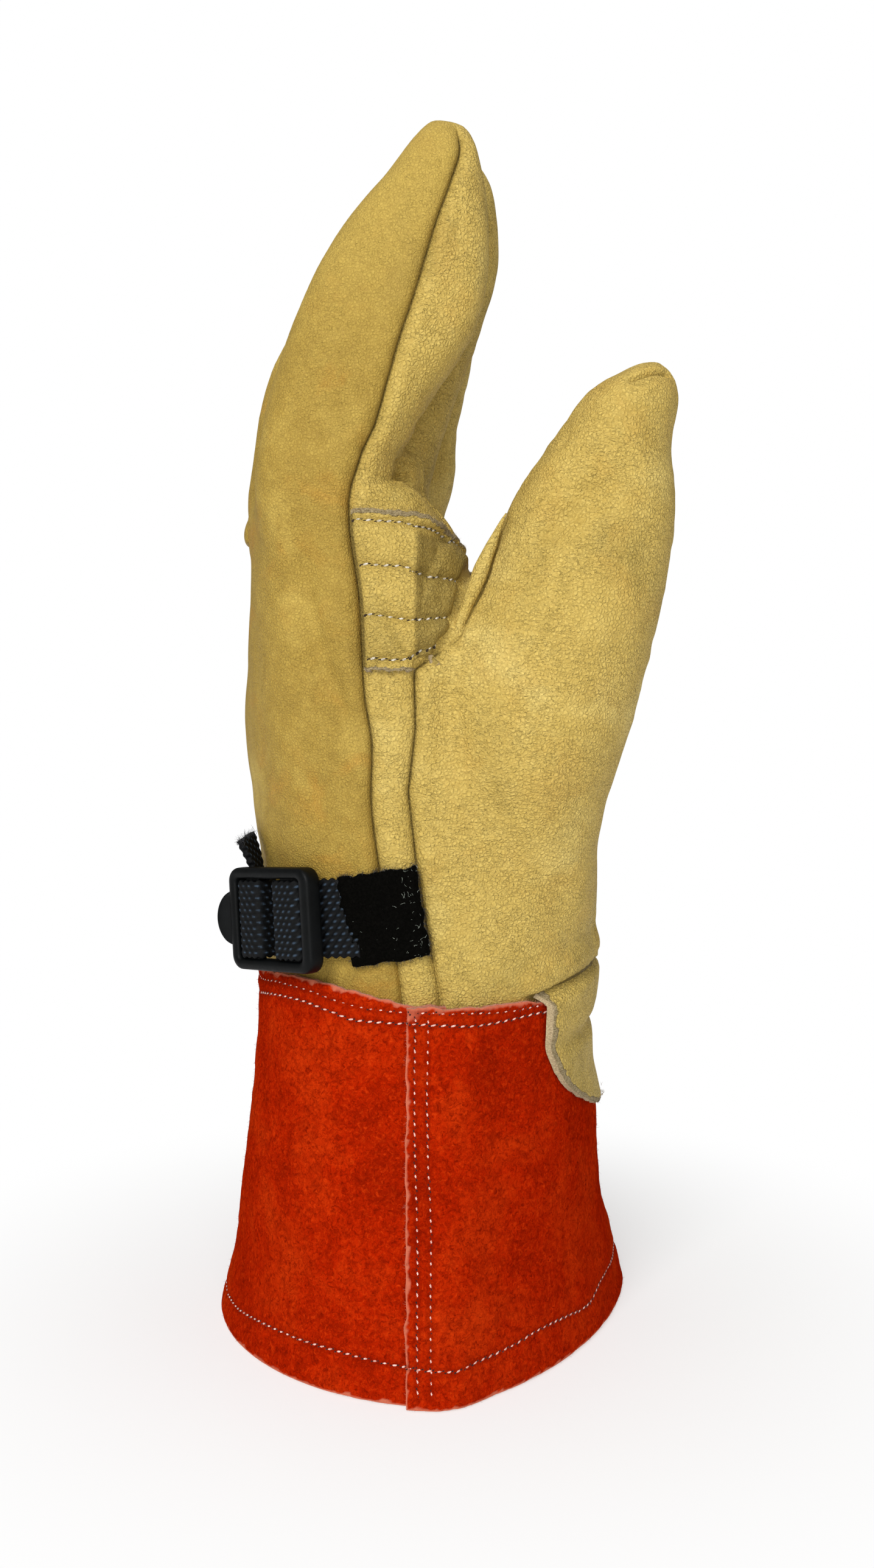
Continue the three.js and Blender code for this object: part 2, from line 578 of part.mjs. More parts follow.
// The inner half of the thumb: what of the thumb stands outside the palm, behind its outer panel
function innerThumbBlock(extra) {
  const outline = [
    [-8, 168 - extra],
    [14, 160 - extra],
    [40, 148 - extra],
    [REACH, 130 - extra],
    [REACH, THUMB_HIGH],
    [8, THUMB_HIGH],
    [8, 212],
    [-4 - extra, 186],
  ];
  const block = sideBlock(outline, -REACH, THUMB_FAR_Y);
  return block.intersect(thumbLoft(GAP)).subtract(handLoft(GAP - extra));
}

const thumbPanel = largest(hand.intersect(thumbPanelBlock(0)));
const thumbInner = largest(hand.intersect(innerThumbBlock(0)).subtract(thumbPanelBlock(SEAM)));
const thumbZone = thumbPanelBlock(SEAM).add(innerThumbBlock(SEAM));

const strips = between.map((_, index) => stripBlock(index, 0));
const stripZone = between
  .map((_, index) => stripBlock(index, SEAM))
  .reduce((sum, block) => sum.add(block));
const bareHand = hand.subtract(stripZone);

// The backs of the middle and ring fingers, and the rolled edge that lies over the hand's back
const knuckleBlock = sideBlock(
  [[-REACH, KNUCKLE_Z], [20, KNUCKLE_Z], [REACH, TOP], [-REACH, TOP]],
  between[0] + SEAM / 2,
  between[2] - SEAM / 2,
);
const knuckleZone = sideBlock(
  [[-REACH, KNUCKLE_Z - SEAM], [20, KNUCKLE_Z - SEAM], [REACH, TOP], [-REACH, TOP]],
  between[0] - SEAM / 2,
  between[2] + SEAM / 2,
);
const flapInset = 1.2; // the rolled edge stops short of the neighbouring fingers
const flap = handLoft(GAP + FLAP_WALL)
  .subtract(handLoft(GAP))
  .intersect(
    sideBlock(
      [[-54, 203.2], [-51, FLAP_BOTTOM], [-40, FLAP_BOTTOM], [-40, 217], [-48, 214.5], [-54, 208]],
      between[0] + flapInset,
      between[2] - flapInset,
    ),
  );
const middleBack = largest(bareHand.intersect(halfGlove(true)).intersect(knuckleBlock).add(flap));
const back = largest(bareHand.intersect(halfGlove(true)).subtract(knuckleZone));
const palm = largest(bareHand.intersect(halfGlove(false)).subtract(thumbZone));

// A wall that lies on the hand, from one offset to another
function layer(inner, thickness, cutter) {
  return handLoft(inner + thickness).subtract(handLoft(inner)).intersect(cutter);
}

// The reinforcement over the palm, from the index-side seam across to the little finger
const PATCH_FAR_Y = 37;
const patchOutline = [
  [-18.6, 172],
  [60, 172],
  [60, 199],
  [7, 200],
  [-2.5, 208],
  [-20, 208.3],
];
const palmPatch = largest(
  layer(GAP, PATCH_WALL, sideBlock(patchOutline, -REACH, PATCH_FAR_Y))
    .intersect(halfGlove(false))
    .subtract(fingerList.reduce((sum, finger) => sum.add(fingerLoft(finger, GAP)), thumbLoft(2 * GAP))),
);

// A closed wall between two grids of points of the same size
function wall(front, back) {
  const rows = front.length;
  const columns = front[0].length;
  const count = rows * columns;
  const positions = [...front.flat(), ...back.flat()].flatMap((point) => point.toArray());
  const indices = [];
  const quad = (a, b, c, d) => indices.push(a, b, c, a, c, d);
  for (let row = 0; row < rows - 1; row += 1) {
    for (let column = 0; column < columns - 1; column += 1) {
      const a = row * columns + column;
      const [b, c, d] = [a + 1, a + columns + 1, a + columns];
      quad(a, b, c, d);
      quad(d + count, c + count, b + count, a + count);
    }
  }
  const lastRow = (rows - 1) * columns;
  for (let column = 0; column < columns - 1; column += 1) {
    const top = lastRow + column;
    quad(column + count, column + 1 + count, column + 1, column);
    quad(top, top + 1, top + 1 + count, top + count);
  }
  for (let row = 0; row < rows - 1; row += 1) {
    const left = row * columns;
    const right = left + columns - 1;
    quad(left, left + columns, left + columns + count, left + count);
    quad(right + count, right + columns + count, right + columns, right);
  }
  const geometry = new THREE.BufferGeometry();
  geometry.setAttribute("position", new THREE.Float32BufferAttribute(positions, 3));
  geometry.setIndex(indices);
  return solid(geometry);
}

// The cuff: one wrap whose palm-side end lies over its back-side end
const LAP_RAMP = 14; // the upper end comes down to the common surface over this much
function cuffGrid(offset) {
  return cuffSections.map((row) => {
    const start = 2 * Math.PI + nearAngle(row, LAP_EDGE_X + LAP_WIDTH);
    const end = nearAngle(row, LAP_EDGE_X);
    const high = nearAngle(row, LAP_EDGE_X + LAP_WIDTH + 2);
    const low = nearAngle(row, LAP_EDGE_X + LAP_WIDTH + LAP_RAMP);
    return Array.from({ length: CUFF_STEPS + 1 }, (_, index) => {
      const angle = THREE.MathUtils.lerp(start, end, index / CUFF_STEPS);
      const lap = THREE.MathUtils.smoothstep(-angle, -low, -high) * (CUFF_WALL + GAP);
      return levelPoint(row, lap + offset, angle);
    });
  });
}

// The loose end of the palm leather over the cuff: a wide U that narrows below its shoulders
const TONGUE = { y: 2, half: 40, top: 95.5, shoulder: 86, bottom: 57, round: 2.2, tip: 0.99 };
const TONGUE_COLUMNS = 10;
const TONGUE_ROWS = 6;
function tongueGrid(offset) {
  const drop = TONGUE.shoulder - TONGUE.bottom;
  const rounded = Array.from({ length: TONGUE_ROWS }, (_, level) =>
    TONGUE.shoulder - drop * TONGUE.tip * Math.sin(((level + 1) * Math.PI) / (2 * TONGUE_ROWS)),
  );
  return [TONGUE.top, CUFF_TOP, TONGUE.shoulder, ...rounded].map((z) => {
    const below = Math.max(0, (TONGUE.shoulder - z) / drop);
    const half = TONGUE.half * (1 - below ** TONGUE.round) ** (1 / TONGUE.round);
    const row = rowAt(cuffSections, z);
    return Array.from({ length: TONGUE_COLUMNS + 1 }, (_, column) =>
      palmPoint(row, offset, TONGUE.y + half * ((2 * column) / TONGUE_COLUMNS - 1)),
    );
  });
}

const TONGUE_LOW = CUFF_WALL + 0.7; // it lies on the cuff

// The felt tab over the side seam, from the strap to the seam of the thumb panel
const TAB = { left: -21.4, lean: -1, z: 112.4, tilt: 0.1, columns: 6 };
function tabGrid(offset) {
  return [-1, 1].map((side) =>
    Array.from({ length: TAB.columns + 1 }, (_, index) => {
      const right = along(thumbSeam, TAB.z + side * TAB_HALF_HEIGHT, "x") - SEAM - GAP;
      const x = THREE.MathUtils.lerp(TAB.left + side * TAB.lean, right, index / TAB.columns);
      const z = TAB.z + side * TAB_HALF_HEIGHT + TAB.tilt * (x - TAB.left);
      const row = rowAt(handSections, z);
      return levelPoint(row, offset, nearAngle(row, x));
    }),
  );
}

// The buckle lies against the corner of the wrist, between its near side and its back.
// Its own frame has x towards the felt tab, y up and z outwards.
const LOWER_LAYER = -4.2; // middle of the webbing under the buckle
const BUCKLE_SHIFT = 1.4; // away from the tab, past the place where the wrist is touched
const wristRow = rowAt(handSections, STRAP_Z + STRAP_WIDTH / 2);
const outwards = new THREE.Vector3(-Math.sin(BUCKLE_TURN), -Math.cos(BUCKLE_TURN), 0);
const towardsTab = new THREE.Vector3(Math.cos(BUCKLE_TURN), -Math.sin(BUCKLE_TURN), 0);
const corner = levelRing(wristRow, 0, 360).reduce((best, point) =>
  point.dot(outwards) > best.dot(outwards) ? point : best,
);
const buckleCentre = corner
  .clone()
  .addScaledVector(outwards, STRAP_CLEAR + STRAP_WALL / 2 - LOWER_LAYER)
  .addScaledVector(towardsTab, -BUCKLE_SHIFT)
  .setZ(STRAP_Z);
const buckleX = towardsTab
  .clone()
  .multiplyScalar(Math.cos(BUCKLE_TILT))
  .add(new THREE.Vector3(0, 0, Math.sin(BUCKLE_TILT)));
const buckleY = outwards.clone().cross(buckleX);
const buckleFrame = new THREE.Matrix4()
  .makeBasis(buckleX, buckleY, outwards)
  .setPosition(buckleCentre);

// The window of the frame, its two bars across the webbing, and the lever's ear
const WINDOW = { from: -12.6, to: 11.7, half: STRAP_WIDTH / 2 + 0.5 };
const TAB_BAR = { from: 3, to: 9.7 };
const LEVER_BAR = { from: -10.4, to: -5.1 };
const BAR_LOW = -1.2;
const BAR_HIGH = 0.9;
const EAR = { root: -13.4, from: -14.6, to: -19, half: 7.2, rise: 3.2, wall: 1.8, steps: 8 };

function buckleBody() {
  const half = { x: BUCKLE_LENGTH / 2, y: BUCKLE_HEIGHT / 2 };
  const round = 3.4;
  const outline = new THREE.Shape();
  outline.moveTo(-half.x + round, -half.y);
  outline.absarc(half.x - round, -half.y + round, round, -Math.PI / 2, 0);
  outline.absarc(half.x - round, half.y - round, round, 0, Math.PI / 2);
  outline.absarc(-half.x + round, half.y - round, round, Math.PI / 2, Math.PI);
  outline.absarc(-half.x + round, -half.y + round, round, Math.PI, 1.5 * Math.PI);
  const corners = [
    [WINDOW.from, -WINDOW.half],
    [WINDOW.from, WINDOW.half],
    [WINDOW.to, WINDOW.half],
    [WINDOW.to, -WINDOW.half],
  ];
  outline.holes.push(new THREE.Path(corners.map(([x, y]) => new THREE.Vector2(x, y))));
  const options = { depth: BUCKLE_THICK, bevelEnabled: false, curveSegments: 4 };
  const frame = new THREE.ExtrudeGeometry(outline, options).translate(0, 0, -BUCKLE_THICK / 2);
  const bars = [TAB_BAR, LEVER_BAR].map((bar) => {
    const block = new THREE.BoxGeometry(bar.to - bar.from, BUCKLE_HEIGHT - 2, BAR_HIGH - BAR_LOW);
    return block.translate((bar.from + bar.to) / 2, 0, (BAR_LOW + BAR_HIGH) / 2);
  });
  return [...bars, leverEar()].reduce((sum, part) => sum.add(solid(part)), solid(frame));
}

// The lever's ear: a rounded lip on the end bar, tipped outwards
function leverEar() {
  const length = EAR.from - EAR.to;
  const rim = Array.from({ length: EAR.steps + 1 }, (_, step) => {
    const angle = (Math.PI * step) / EAR.steps;
    return new THREE.Vector2(EAR.from - length * Math.sin(angle), -EAR.half * Math.cos(angle));
  });
  const root = [new THREE.Vector2(EAR.root, EAR.half), new THREE.Vector2(EAR.root, -EAR.half)];
  const options = { depth: EAR.wall, bevelEnabled: false };
  const ear = new THREE.ExtrudeGeometry(new THREE.Shape([...rim, ...root]), options);
  const place = ear.attributes.position;
  for (let at = 0; at < place.count; at += 1) {
    const share = Math.max(0, (EAR.from - place.getX(at)) / length);
    place.setZ(at, place.getZ(at) - EAR.wall / 2 + EAR.rise * share);
  }
  return ear;
}

// A bend of a strap round a corner, from one direction to another, in the buckle's frame
function bend(x, out, radius, fromDegrees, toDegrees) {
  return Array.from({ length: BEND_STEPS + 1 }, (_, index) => {
    const degrees = THREE.MathUtils.lerp(fromDegrees, toDegrees, index / BEND_STEPS);
    const angle = THREE.MathUtils.degToRad(degrees);
    return [x + radius * Math.cos(angle), out + radius * Math.sin(angle)];
  });
}

function atBuckle([x, out]) {
  return new THREE.Vector3(x, 0, out).applyMatrix4(buckleFrame);
}

// A ribbon of even width and thickness that stands along a path, thick to both sides of it
function ribbon(path, across, width, thickness) {
  const normals = path.map((point, index) => {
    const before = path[Math.max(index - 1, 0)];
    const after = path[Math.min(index + 1, path.length - 1)];
    const arriving = point.clone().sub(before).normalize();
    const leaving = after.clone().sub(point).normalize();
    const isEnd = index === 0 || index === path.length - 1;
    const reach = isEnd ? 1 : Math.sqrt(2 / (1 + arriving.dot(leaving)));
    const normal = arriving.add(leaving).cross(across).normalize();
    return normal.multiplyScalar((reach * thickness) / 2);
  });
  const face = (side) =>
    [-0.5, 0.5].map((end) =>
      path.map((point, index) =>
        point.clone().addScaledVector(normals[index], side).addScaledVector(across, end * width),
      ),
    );
  return wall(face(1), face(-1));
}

// The webbing in the buckle: how it lies over a bar, under it and beside it
const strapOffset = STRAP_CLEAR + STRAP_WALL / 2;
const BAR_TURN = GAP + STRAP_WALL / 2;
const SOFT_BEND = 0.9;

// From the felt tab under the frame, over the bar nearest the tab and back under it
function frontStrap() {
  const start = levelPoint(wristRow, strapOffset, nearAngle(wristRow, TAB.left - 2 * GAP));
  start.setZ(atBuckle([BUCKLE_LENGTH / 2 + 4, 0]).z);
  const loop = [
    ...bend(TAB_BAR.to + BAR_TURN + SOFT_BEND, LOWER_LAYER + SOFT_BEND, SOFT_BEND, -90, -180),
    ...bend(TAB_BAR.to, BAR_HIGH, BAR_TURN, 0, 90),
    ...bend(TAB_BAR.from, BAR_HIGH, BAR_TURN, 90, 180),
    ...bend(TAB_BAR.from, BAR_LOW, BAR_TURN, 180, 270),
    [TAB_BAR.from + 4, BAR_LOW - BAR_TURN],
  ];
  return ribbon([start, ...loop.map(atBuckle)], buckleY, STRAP_WIDTH, STRAP_WALL);
}

// From the middle slot round the bar nearest the lever, then away round the back of the wrist
const BACK_STRAP_END_X = -14; // where it is sewn to the little finger side
const BACK_STRAP_STEPS = 20;
function backStrap() {
  const loop = [
    [LEVER_BAR.from - BAR_TURN, BAR_LOW - GAP],
    ...bend(LEVER_BAR.from, BAR_HIGH, BAR_TURN, 180, 90),
    ...bend(LEVER_BAR.to, BAR_HIGH, BAR_TURN, 90, 0),
    ...bend(LEVER_BAR.to + BAR_TURN - SOFT_BEND, LOWER_LAYER + SOFT_BEND, SOFT_BEND, 0, -90),
  ].map(atBuckle);
  const low = atBuckle([-BUCKLE_LENGTH / 2, 0]).z;
  const leave = loop.at(-1);
  const start = nearAngle(wristRow, leave.x - 3);
  const end = -2 * Math.PI - nearAngle(wristRow, BACK_STRAP_END_X);
  const round = Array.from({ length: BACK_STRAP_STEPS + 1 }, (_, index) => {
    const angle = THREE.MathUtils.lerp(start, end, index / BACK_STRAP_STEPS);
    const z = THREE.MathUtils.lerp(leave.z, low, Math.min(1, (4 * index) / BACK_STRAP_STEPS));
    return levelPoint(wristRow, strapOffset, angle).setZ(z);
  });
  return ribbon([...loop, ...round], buckleY, STRAP_WIDTH, STRAP_WALL).add(strapTail());
}

// The free end of the webbing, turned up behind the buckle and seen on its edge
function strapTail() {
  const path = [
    new THREE.Vector3(-44.7, -24, 106),
    new THREE.Vector3(-45.3, -24, 119),
    new THREE.Vector3(-46.6, -24, 124.5),
    new THREE.Vector3(-48.8, -24, 130.4),
  ];
  const across = new THREE.Vector3(-0.27, 0.96, 0).normalize();
  return ribbon(path, across, 11, STRAP_WALL);
}

const glove = new THREE.Group();
glove.name = "leather_protector_glove";

function piece(name, body, material) {
  const mesh = new THREE.Mesh(geometryOf(body), materials[material]);
  mesh.name = name;
  return mesh;
}

const stripNames = ["index_middle", "middle_ring", "ring_little"];
glove.add(
  piece("back_panel", back, "backLeather"),
  piece("middle_back_panel", middleBack, "backLeather"),
  piece("palm_panel", palm, "palmLeather"),
  ...strips.map((block, index) =>
    piece(`fourchette_${stripNames[index]}`, largest(hand.intersect(block)), "palmLeather"),
  ),
  piece("thumb_panel", thumbPanel, "palmLeather"),
  piece("thumb_inner", thumbInner, "palmLeather"),
  piece("palm_patch", palmPatch, "palmLeather"),
  piece("heel_tongue", wall(tongueGrid(TONGUE_LOW + TONGUE_WALL), tongueGrid(TONGUE_LOW)), "palmLeather"),
  piece("cuff", wall(cuffGrid(CUFF_WALL), cuffGrid(0)), "cuffSuede"),
  piece("felt_tab", wall(tabGrid(STRAP_CLEAR + TAB_WALL), tabGrid(STRAP_CLEAR)), "felt"),
  piece("strap_front", frontStrap(), "webbing"),
  piece("strap_back", backStrap(), "webbing"),
);

const buckle = piece("buckle", buckleBody(), "plastic");
const buckleGroup = new THREE.Group();
buckleGroup.applyMatrix4(buckleFrame);
buckleGroup.add(buckle);
glove.add(buckleGroup);

export default glove;
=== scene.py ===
"""Looks of a leather protector glove for the left hand, standing on the hem of its cuff.

The leather hand is formed once as a fine skin. It is cut along its seams, creased and dented, and
then taken apart into its panels. The patch is cut from the palm's skin and lifted. The cuff, tongue,
felt tab, strap and buckle are pieces of their own.
Sizes are millimetres in the classes and metres in Blender.
"""
from __future__ import annotations

import logging
import math
from dataclasses import dataclass, field
from enum import Enum

import bpy
import numpy as np
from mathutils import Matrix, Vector
from mathutils.bvhtree import BVHTree
from mathutils.kdtree import KDTree


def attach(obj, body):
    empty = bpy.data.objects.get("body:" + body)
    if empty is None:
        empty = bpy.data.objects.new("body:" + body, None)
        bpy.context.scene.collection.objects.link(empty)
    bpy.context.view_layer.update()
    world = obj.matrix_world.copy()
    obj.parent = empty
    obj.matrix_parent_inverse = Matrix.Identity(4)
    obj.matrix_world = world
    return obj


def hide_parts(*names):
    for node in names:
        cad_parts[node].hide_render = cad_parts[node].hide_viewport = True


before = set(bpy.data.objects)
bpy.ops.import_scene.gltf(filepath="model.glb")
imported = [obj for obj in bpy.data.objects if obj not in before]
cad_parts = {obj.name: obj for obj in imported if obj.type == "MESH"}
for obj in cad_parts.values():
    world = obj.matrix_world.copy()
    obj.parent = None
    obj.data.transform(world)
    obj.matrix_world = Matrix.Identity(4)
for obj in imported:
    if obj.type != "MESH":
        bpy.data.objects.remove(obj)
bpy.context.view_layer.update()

MM = 0.001
BODY = "root"
SHARP = 50.0  # degrees between faces from which the edge of a sheet looks cut
log = logging.getLogger("glove")

Points = np.ndarray
Triangles = np.ndarray
Material = bpy.types.Material
Socket = bpy.types.NodeSocket
Input = Socket | float | str | tuple[float, ...]
Finishes = dict[str, Material]
Pairs = tuple[tuple[float, float], ...]
Triple = tuple[float, float, float]


class Slot(Enum):
    """The material slots of the record."""

    BACK = "back_leather"
    PALM = "palm_leather"
    SUEDE = "cuff_suede"
    FELT = "felt"
    WEBBING = "webbing"
    PLASTIC = "plastic"


# Numbers along tables


def smoothstep(low: float, high: float, value: Points) -> Points:
    """A soft step from 0 at low to 1 at high, which may be below low."""
    share = np.clip((np.asarray(value, float) - low) / (high - low), 0.0, 1.0)
    return share * share * (3.0 - 2.0 * share)


def hump(distance: Points, width: float) -> Points:
    """A soft hump, 1 at no distance and fading over a width."""
    return np.exp(-((np.asarray(distance, float) / width) ** 2))


def circle(count: int) -> Points:
    """Angles spaced evenly round a circle."""
    return np.linspace(0, 2 * np.pi, count, endpoint=False)


def run_along(line: Points) -> Points:
    """The length of a line up to each of its corners."""
    return np.concatenate([[0], np.cumsum(np.linalg.norm(np.diff(line, axis=0), axis=1))])


def points_after(runs: Points, line: Points, lengths: Points) -> Points:
    """The points after some runs along a line whose corners have these lengths."""
    return np.stack([np.interp(runs, lengths, line[:, axis]) for axis in range(3)], 1)


def unit(vectors: Points) -> Points:
    """The vectors, each one long."""
    return vectors / np.maximum(np.linalg.norm(vectors, axis=-1, keepdims=True), 1e-9)


def cubic_along(places: Points, knots: Points, values: Points) -> Points:
    """A smooth curve through table values.

    Args:
        places: where to read the curve.
        knots: the table's rising places.
        values: the table's values, one row per knot.

    Returns:
        The values of the curve at the places.
    """
    knots = np.asarray(knots, float)
    values = np.asarray(values, float)
    flat = values.ndim == 1
    if flat:
        values = values[:, None]
    places = np.clip(np.asarray(places, float), knots[0], knots[-1])
    index = np.clip(np.searchsorted(knots, places, side="right") - 1, 0, len(knots) - 2)
    chords = np.diff(values, axis=0) / np.diff(knots)[:, None]
    slopes = np.vstack([chords[:1], 0.5 * (chords[1:] + chords[:-1]), chords[-1:]])
    step = (knots[index + 1] - knots[index])[:, None]
    t = (places - knots[index])[:, None] / step
    t2, t3 = t * t, t * t * t
    curve = (
        (2 * t3 - 3 * t2 + 1) * values[index]
        + (t3 - 2 * t2 + t) * step * slopes[index]
        + (3 * t2 - 2 * t3) * values[index + 1]
        + (t3 - t2) * step * slopes[index + 1]
    )
    return curve[:, 0] if flat else curve


class Noise:
    """Smooth random hills in space, the same every time."""

    SIZE = 32

    def __init__(self, seed: int) -> None:
        """Fills the lattice of one set of hills."""
        self.lattice = np.random.default_rng(seed).uniform(-1, 1, (self.SIZE,) * 3)

    def __call__(self, points: Points, pitch: float | Triple) -> Points:
        """The height of the hills.

        Args:
            points: places in space.
            pitch: distance from hill to hill, one number or one for each axis.

        Returns:
            A height from -1 to 1 at each point.
        """
        grid = np.asarray(points, float) / np.asarray(pitch, float)
        low = np.floor(grid).astype(int)
        share = grid - low
        share = share * share * (3 - 2 * share)
        total = np.zeros(len(grid))
        for corner in np.ndindex(2, 2, 2):
            cell = (low + corner) % self.SIZE
            weight = np.prod(np.where(np.array(corner) == 1, share, 1 - share), axis=1)
            total += weight * self.lattice[cell[:, 0], cell[:, 1], cell[:, 2]]
        return total


# Meshes

SIDES = ([0, 1], [1, 2], [2, 0])  # the corners of each side of a triangle


@dataclass
class Skin:
    """A triangle mesh in millimetres with a label on each triangle."""

    points: Points
    triangles: Triangles
    labels: np.ndarray

    def normals(self) -> Points:
        """The unit normal at each point, weighted by area."""
        corners = self.points[self.triangles]
        faces = np.cross(corners[:, 1] - corners[:, 0], corners[:, 2] - corners[:, 0])
        total = np.zeros_like(self.points)
        for corner in range(3):
            np.add.at(total, self.triangles[:, corner], faces)
        return total / np.maximum(np.linalg.norm(total, axis=1, keepdims=True), 1e-12)

    def sides(self) -> np.ndarray:
        """The directed sides of all triangles."""
        return np.vstack([self.triangles[:, pair] for pair in SIDES])

    def edges(self) -> np.ndarray:
        """Every edge once, as pairs of points in rising order."""
        return np.unique(np.sort(self.sides(), axis=1), axis=0)

    def smooth(self, rounds: int, share: float = 0.5, weight: Points | None = None) -> None:
        """Moves each point towards its neighbours' middle.

        Args:
            rounds: how often.
            share: how far each time.
            weight: how much each point takes part, from 0 to 1.
        """
        edges = self.edges()
        count = np.bincount(edges.ravel(), minlength=len(self.points)).astype(float)
        take = share if weight is None else (share * weight)[:, None]
        for _ in range(rounds):
            total = np.zeros_like(self.points)
            for axis in range(3):
                total[:, axis] = np.bincount(
                    edges[:, 0], self.points[edges[:, 1], axis], len(self.points)
                ) + np.bincount(edges[:, 1], self.points[edges[:, 0], axis], len(self.points))
            middle = total / np.maximum(count, 1)[:, None]
            self.points = self.points + take * (middle - self.points)

    def split_edges(self, chosen: np.ndarray, places: Points) -> None:
        """Splits edges and the triangles beside them.

        Args:
            chosen: the edges to split, as pairs of points in rising order.
            places: the new point on each edge.
        """
        size = len(self.points)
        keys = chosen[:, 0].astype(np.int64) * size + chosen[:, 1]
        order = np.argsort(keys)
        keys = keys[order]
        fresh = size + order
        self.points = np.vstack([self.points, places])
        tri = self.triangles
        middles = np.full((len(tri), 3), -1, dtype=np.int64)
        for side, corners in enumerate(SIDES):
            pair = np.sort(tri[:, corners], axis=1)
            key = pair[:, 0].astype(np.int64) * size + pair[:, 1]
            at = np.clip(np.searchsorted(keys, key), 0, len(keys) - 1)
            middles[:, side] = np.where(keys[at] == key, fresh[at], -1)
        cuts = (middles >= 0).sum(axis=1)
        made = [tri[cuts == 0]]
        tags = [self.labels[cuts == 0]]

        def turned(rows: np.ndarray, first: np.ndarray) -> tuple[np.ndarray, np.ndarray]:
            """Turns each triangle so that a given side comes first.

            Args:
                rows: which triangles.
                first: the side of each that comes first.

            Returns:
                The corners and the middles in the new order.
            """
            order_ = (first[:, None] + np.arange(3)) % 3
            return np.take_along_axis(tri[rows], order_, 1), np.take_along_axis(middles[rows], order_, 1)

        rows = np.flatnonzero(cuts == 1)
        if len(rows):
            corner, middle = turned(rows, np.argmax(middles[rows] >= 0, axis=1))
            made += [
                np.stack([corner[:, 0], middle[:, 0], corner[:, 2]], 1),
                np.stack([middle[:, 0], corner[:, 1], corner[:, 2]], 1),
            ]
            tags += [self.labels[rows]] * 2
        rows = np.flatnonzero(cuts == 2)
        if len(rows):
            whole = np.argmax(middles[rows] < 0, axis=1)
            corner, middle = turned(rows, whole)
            made += [
                np.stack([corner[:, 2], middle[:, 2], middle[:, 1]], 1),
                np.stack([corner[:, 0], corner[:, 1], middle[:, 1]], 1),
                np.stack([corner[:, 0], middle[:, 1], middle[:, 2]], 1),
            ]
            tags += [self.labels[rows]] * 3
        rows = np.flatnonzero(cuts == 3)
        if len(rows):
            corner, middle = tri[rows], middles[rows]
            made += [
                np.stack([corner[:, 0], middle[:, 0], middle[:, 2]], 1),
                np.stack([corner[:, 1], middle[:, 1], middle[:, 0]], 1),
                np.stack([corner[:, 2], middle[:, 2], middle[:, 1]], 1),
                middle,
            ]
            tags += [self.labels[rows]] * 4
        self.triangles = np.vstack(made).astype(np.int64)
        self.labels = np.concatenate(tags)

    def refine(self, near: np.ndarray) -> None:
        """Halves every edge between two marked points.

        Args:
            near: True for the marked points.
        """
        edges = self.edges()
        edges = edges[near[edges[:, 0]] & near[edges[:, 1]]]
        if len(edges):
            self.split_edges(edges, 0.5 * (self.points[edges[:, 0]] + self.points[edges[:, 1]]))

    def cut(self, values: Points, label: int, of: tuple[int, ...]) -> None:
        """Cuts along the zero line of a field and labels its positive side.

        Args:
            values: the field at each point, in about millimetres.
            label: the new label of the positive side.
            of: the labels that the cut may take from.
        """
        values = np.where(np.abs(values) < 0.02, 0.0, values)
        edges = self.edges()
        low, high = values[edges[:, 0]], values[edges[:, 1]]
        crossing = low * high < 0
        edges, low, high = edges[crossing], low[crossing], high[crossing]
        share = low / (low - high)
        for end, close in ((0, share < 0.25), (1, share > 0.75)):
            points = edges[close, end]
            places = self.points[edges[close, 0]] * (1 - share[close])[:, None]
            places += self.points[edges[close, 1]] * share[close][:, None]
            self.points[points] = places
            values[points] = 0.0
        low, high = values[edges[:, 0]], values[edges[:, 1]]
        crossing = low * high < 0
        edges, low, high = edges[crossing], low[crossing], high[crossing]
        share = (low / (low - high))[:, None]
        if len(edges):
            places = self.points[edges[:, 0]] * (1 - share) + self.points[edges[:, 1]] * share
            self.split_edges(edges, places)
            values = np.concatenate([values, np.zeros(len(edges))])
        taken = values[self.triangles].sum(axis=1) > 0
        self.labels = np.where(taken & np.isin(self.labels, of), label, self.labels)

    def part(self, keep: np.ndarray) -> tuple[Skin, np.ndarray]:
        """The kept triangles as a skin, and which point of this one each of its points was."""
        used, place = np.unique(self.triangles[keep], return_inverse=True)
        return Skin(self.points[used], place.reshape(-1, 3), self.labels[keep]), used

    def rim(self) -> np.ndarray:
        """The directed edges that have a triangle on one side only."""
        sides = self.sides()
        size = len(self.points)
        key = sides[:, 0] * size + sides[:, 1]
        back = sides[:, 1] * size + sides[:, 0]
        return sides[~np.isin(key, back)]

    def steady_normals(self) -> Points:
        """The normals, each averaged with its neighbours', so that no sliver has its own."""
        normals = self.normals()
        total = normals.copy()
        edges = self.edges()
        np.add.at(total, edges[:, 0], normals[edges[:, 1]])
        np.add.at(total, edges[:, 1], normals[edges[:, 0]])
        return total / np.maximum(np.linalg.norm(total, axis=1, keepdims=True), 1e-9)

    def settle(self) -> None:
        """Gives a triangle that pokes into a neighbouring panel to that panel."""
        sides = np.sort(self.triangles[:, [0, 1, 1, 2, 2, 0]].reshape(-1, 2), axis=1)
        order = np.lexsort((sides[:, 1], sides[:, 0]))
        same = np.flatnonzero((sides[order][1:] == sides[order][:-1]).all(axis=1))
        one, other = order[same] // 3, order[same + 1] // 3
        differs = self.labels[one] != self.labels[other]
        one, other = one[differs], other[differs]
        count = np.bincount(np.concatenate([one, other]), minlength=len(self.labels))
        fresh = self.labels.copy()
        fresh[one], fresh[other] = self.labels[other], self.labels[one]
        poking = count >= 2
        log.info("seams: %d triangles settled", int(poking.sum()))
        self.labels = np.where(poking, fresh, self.labels)

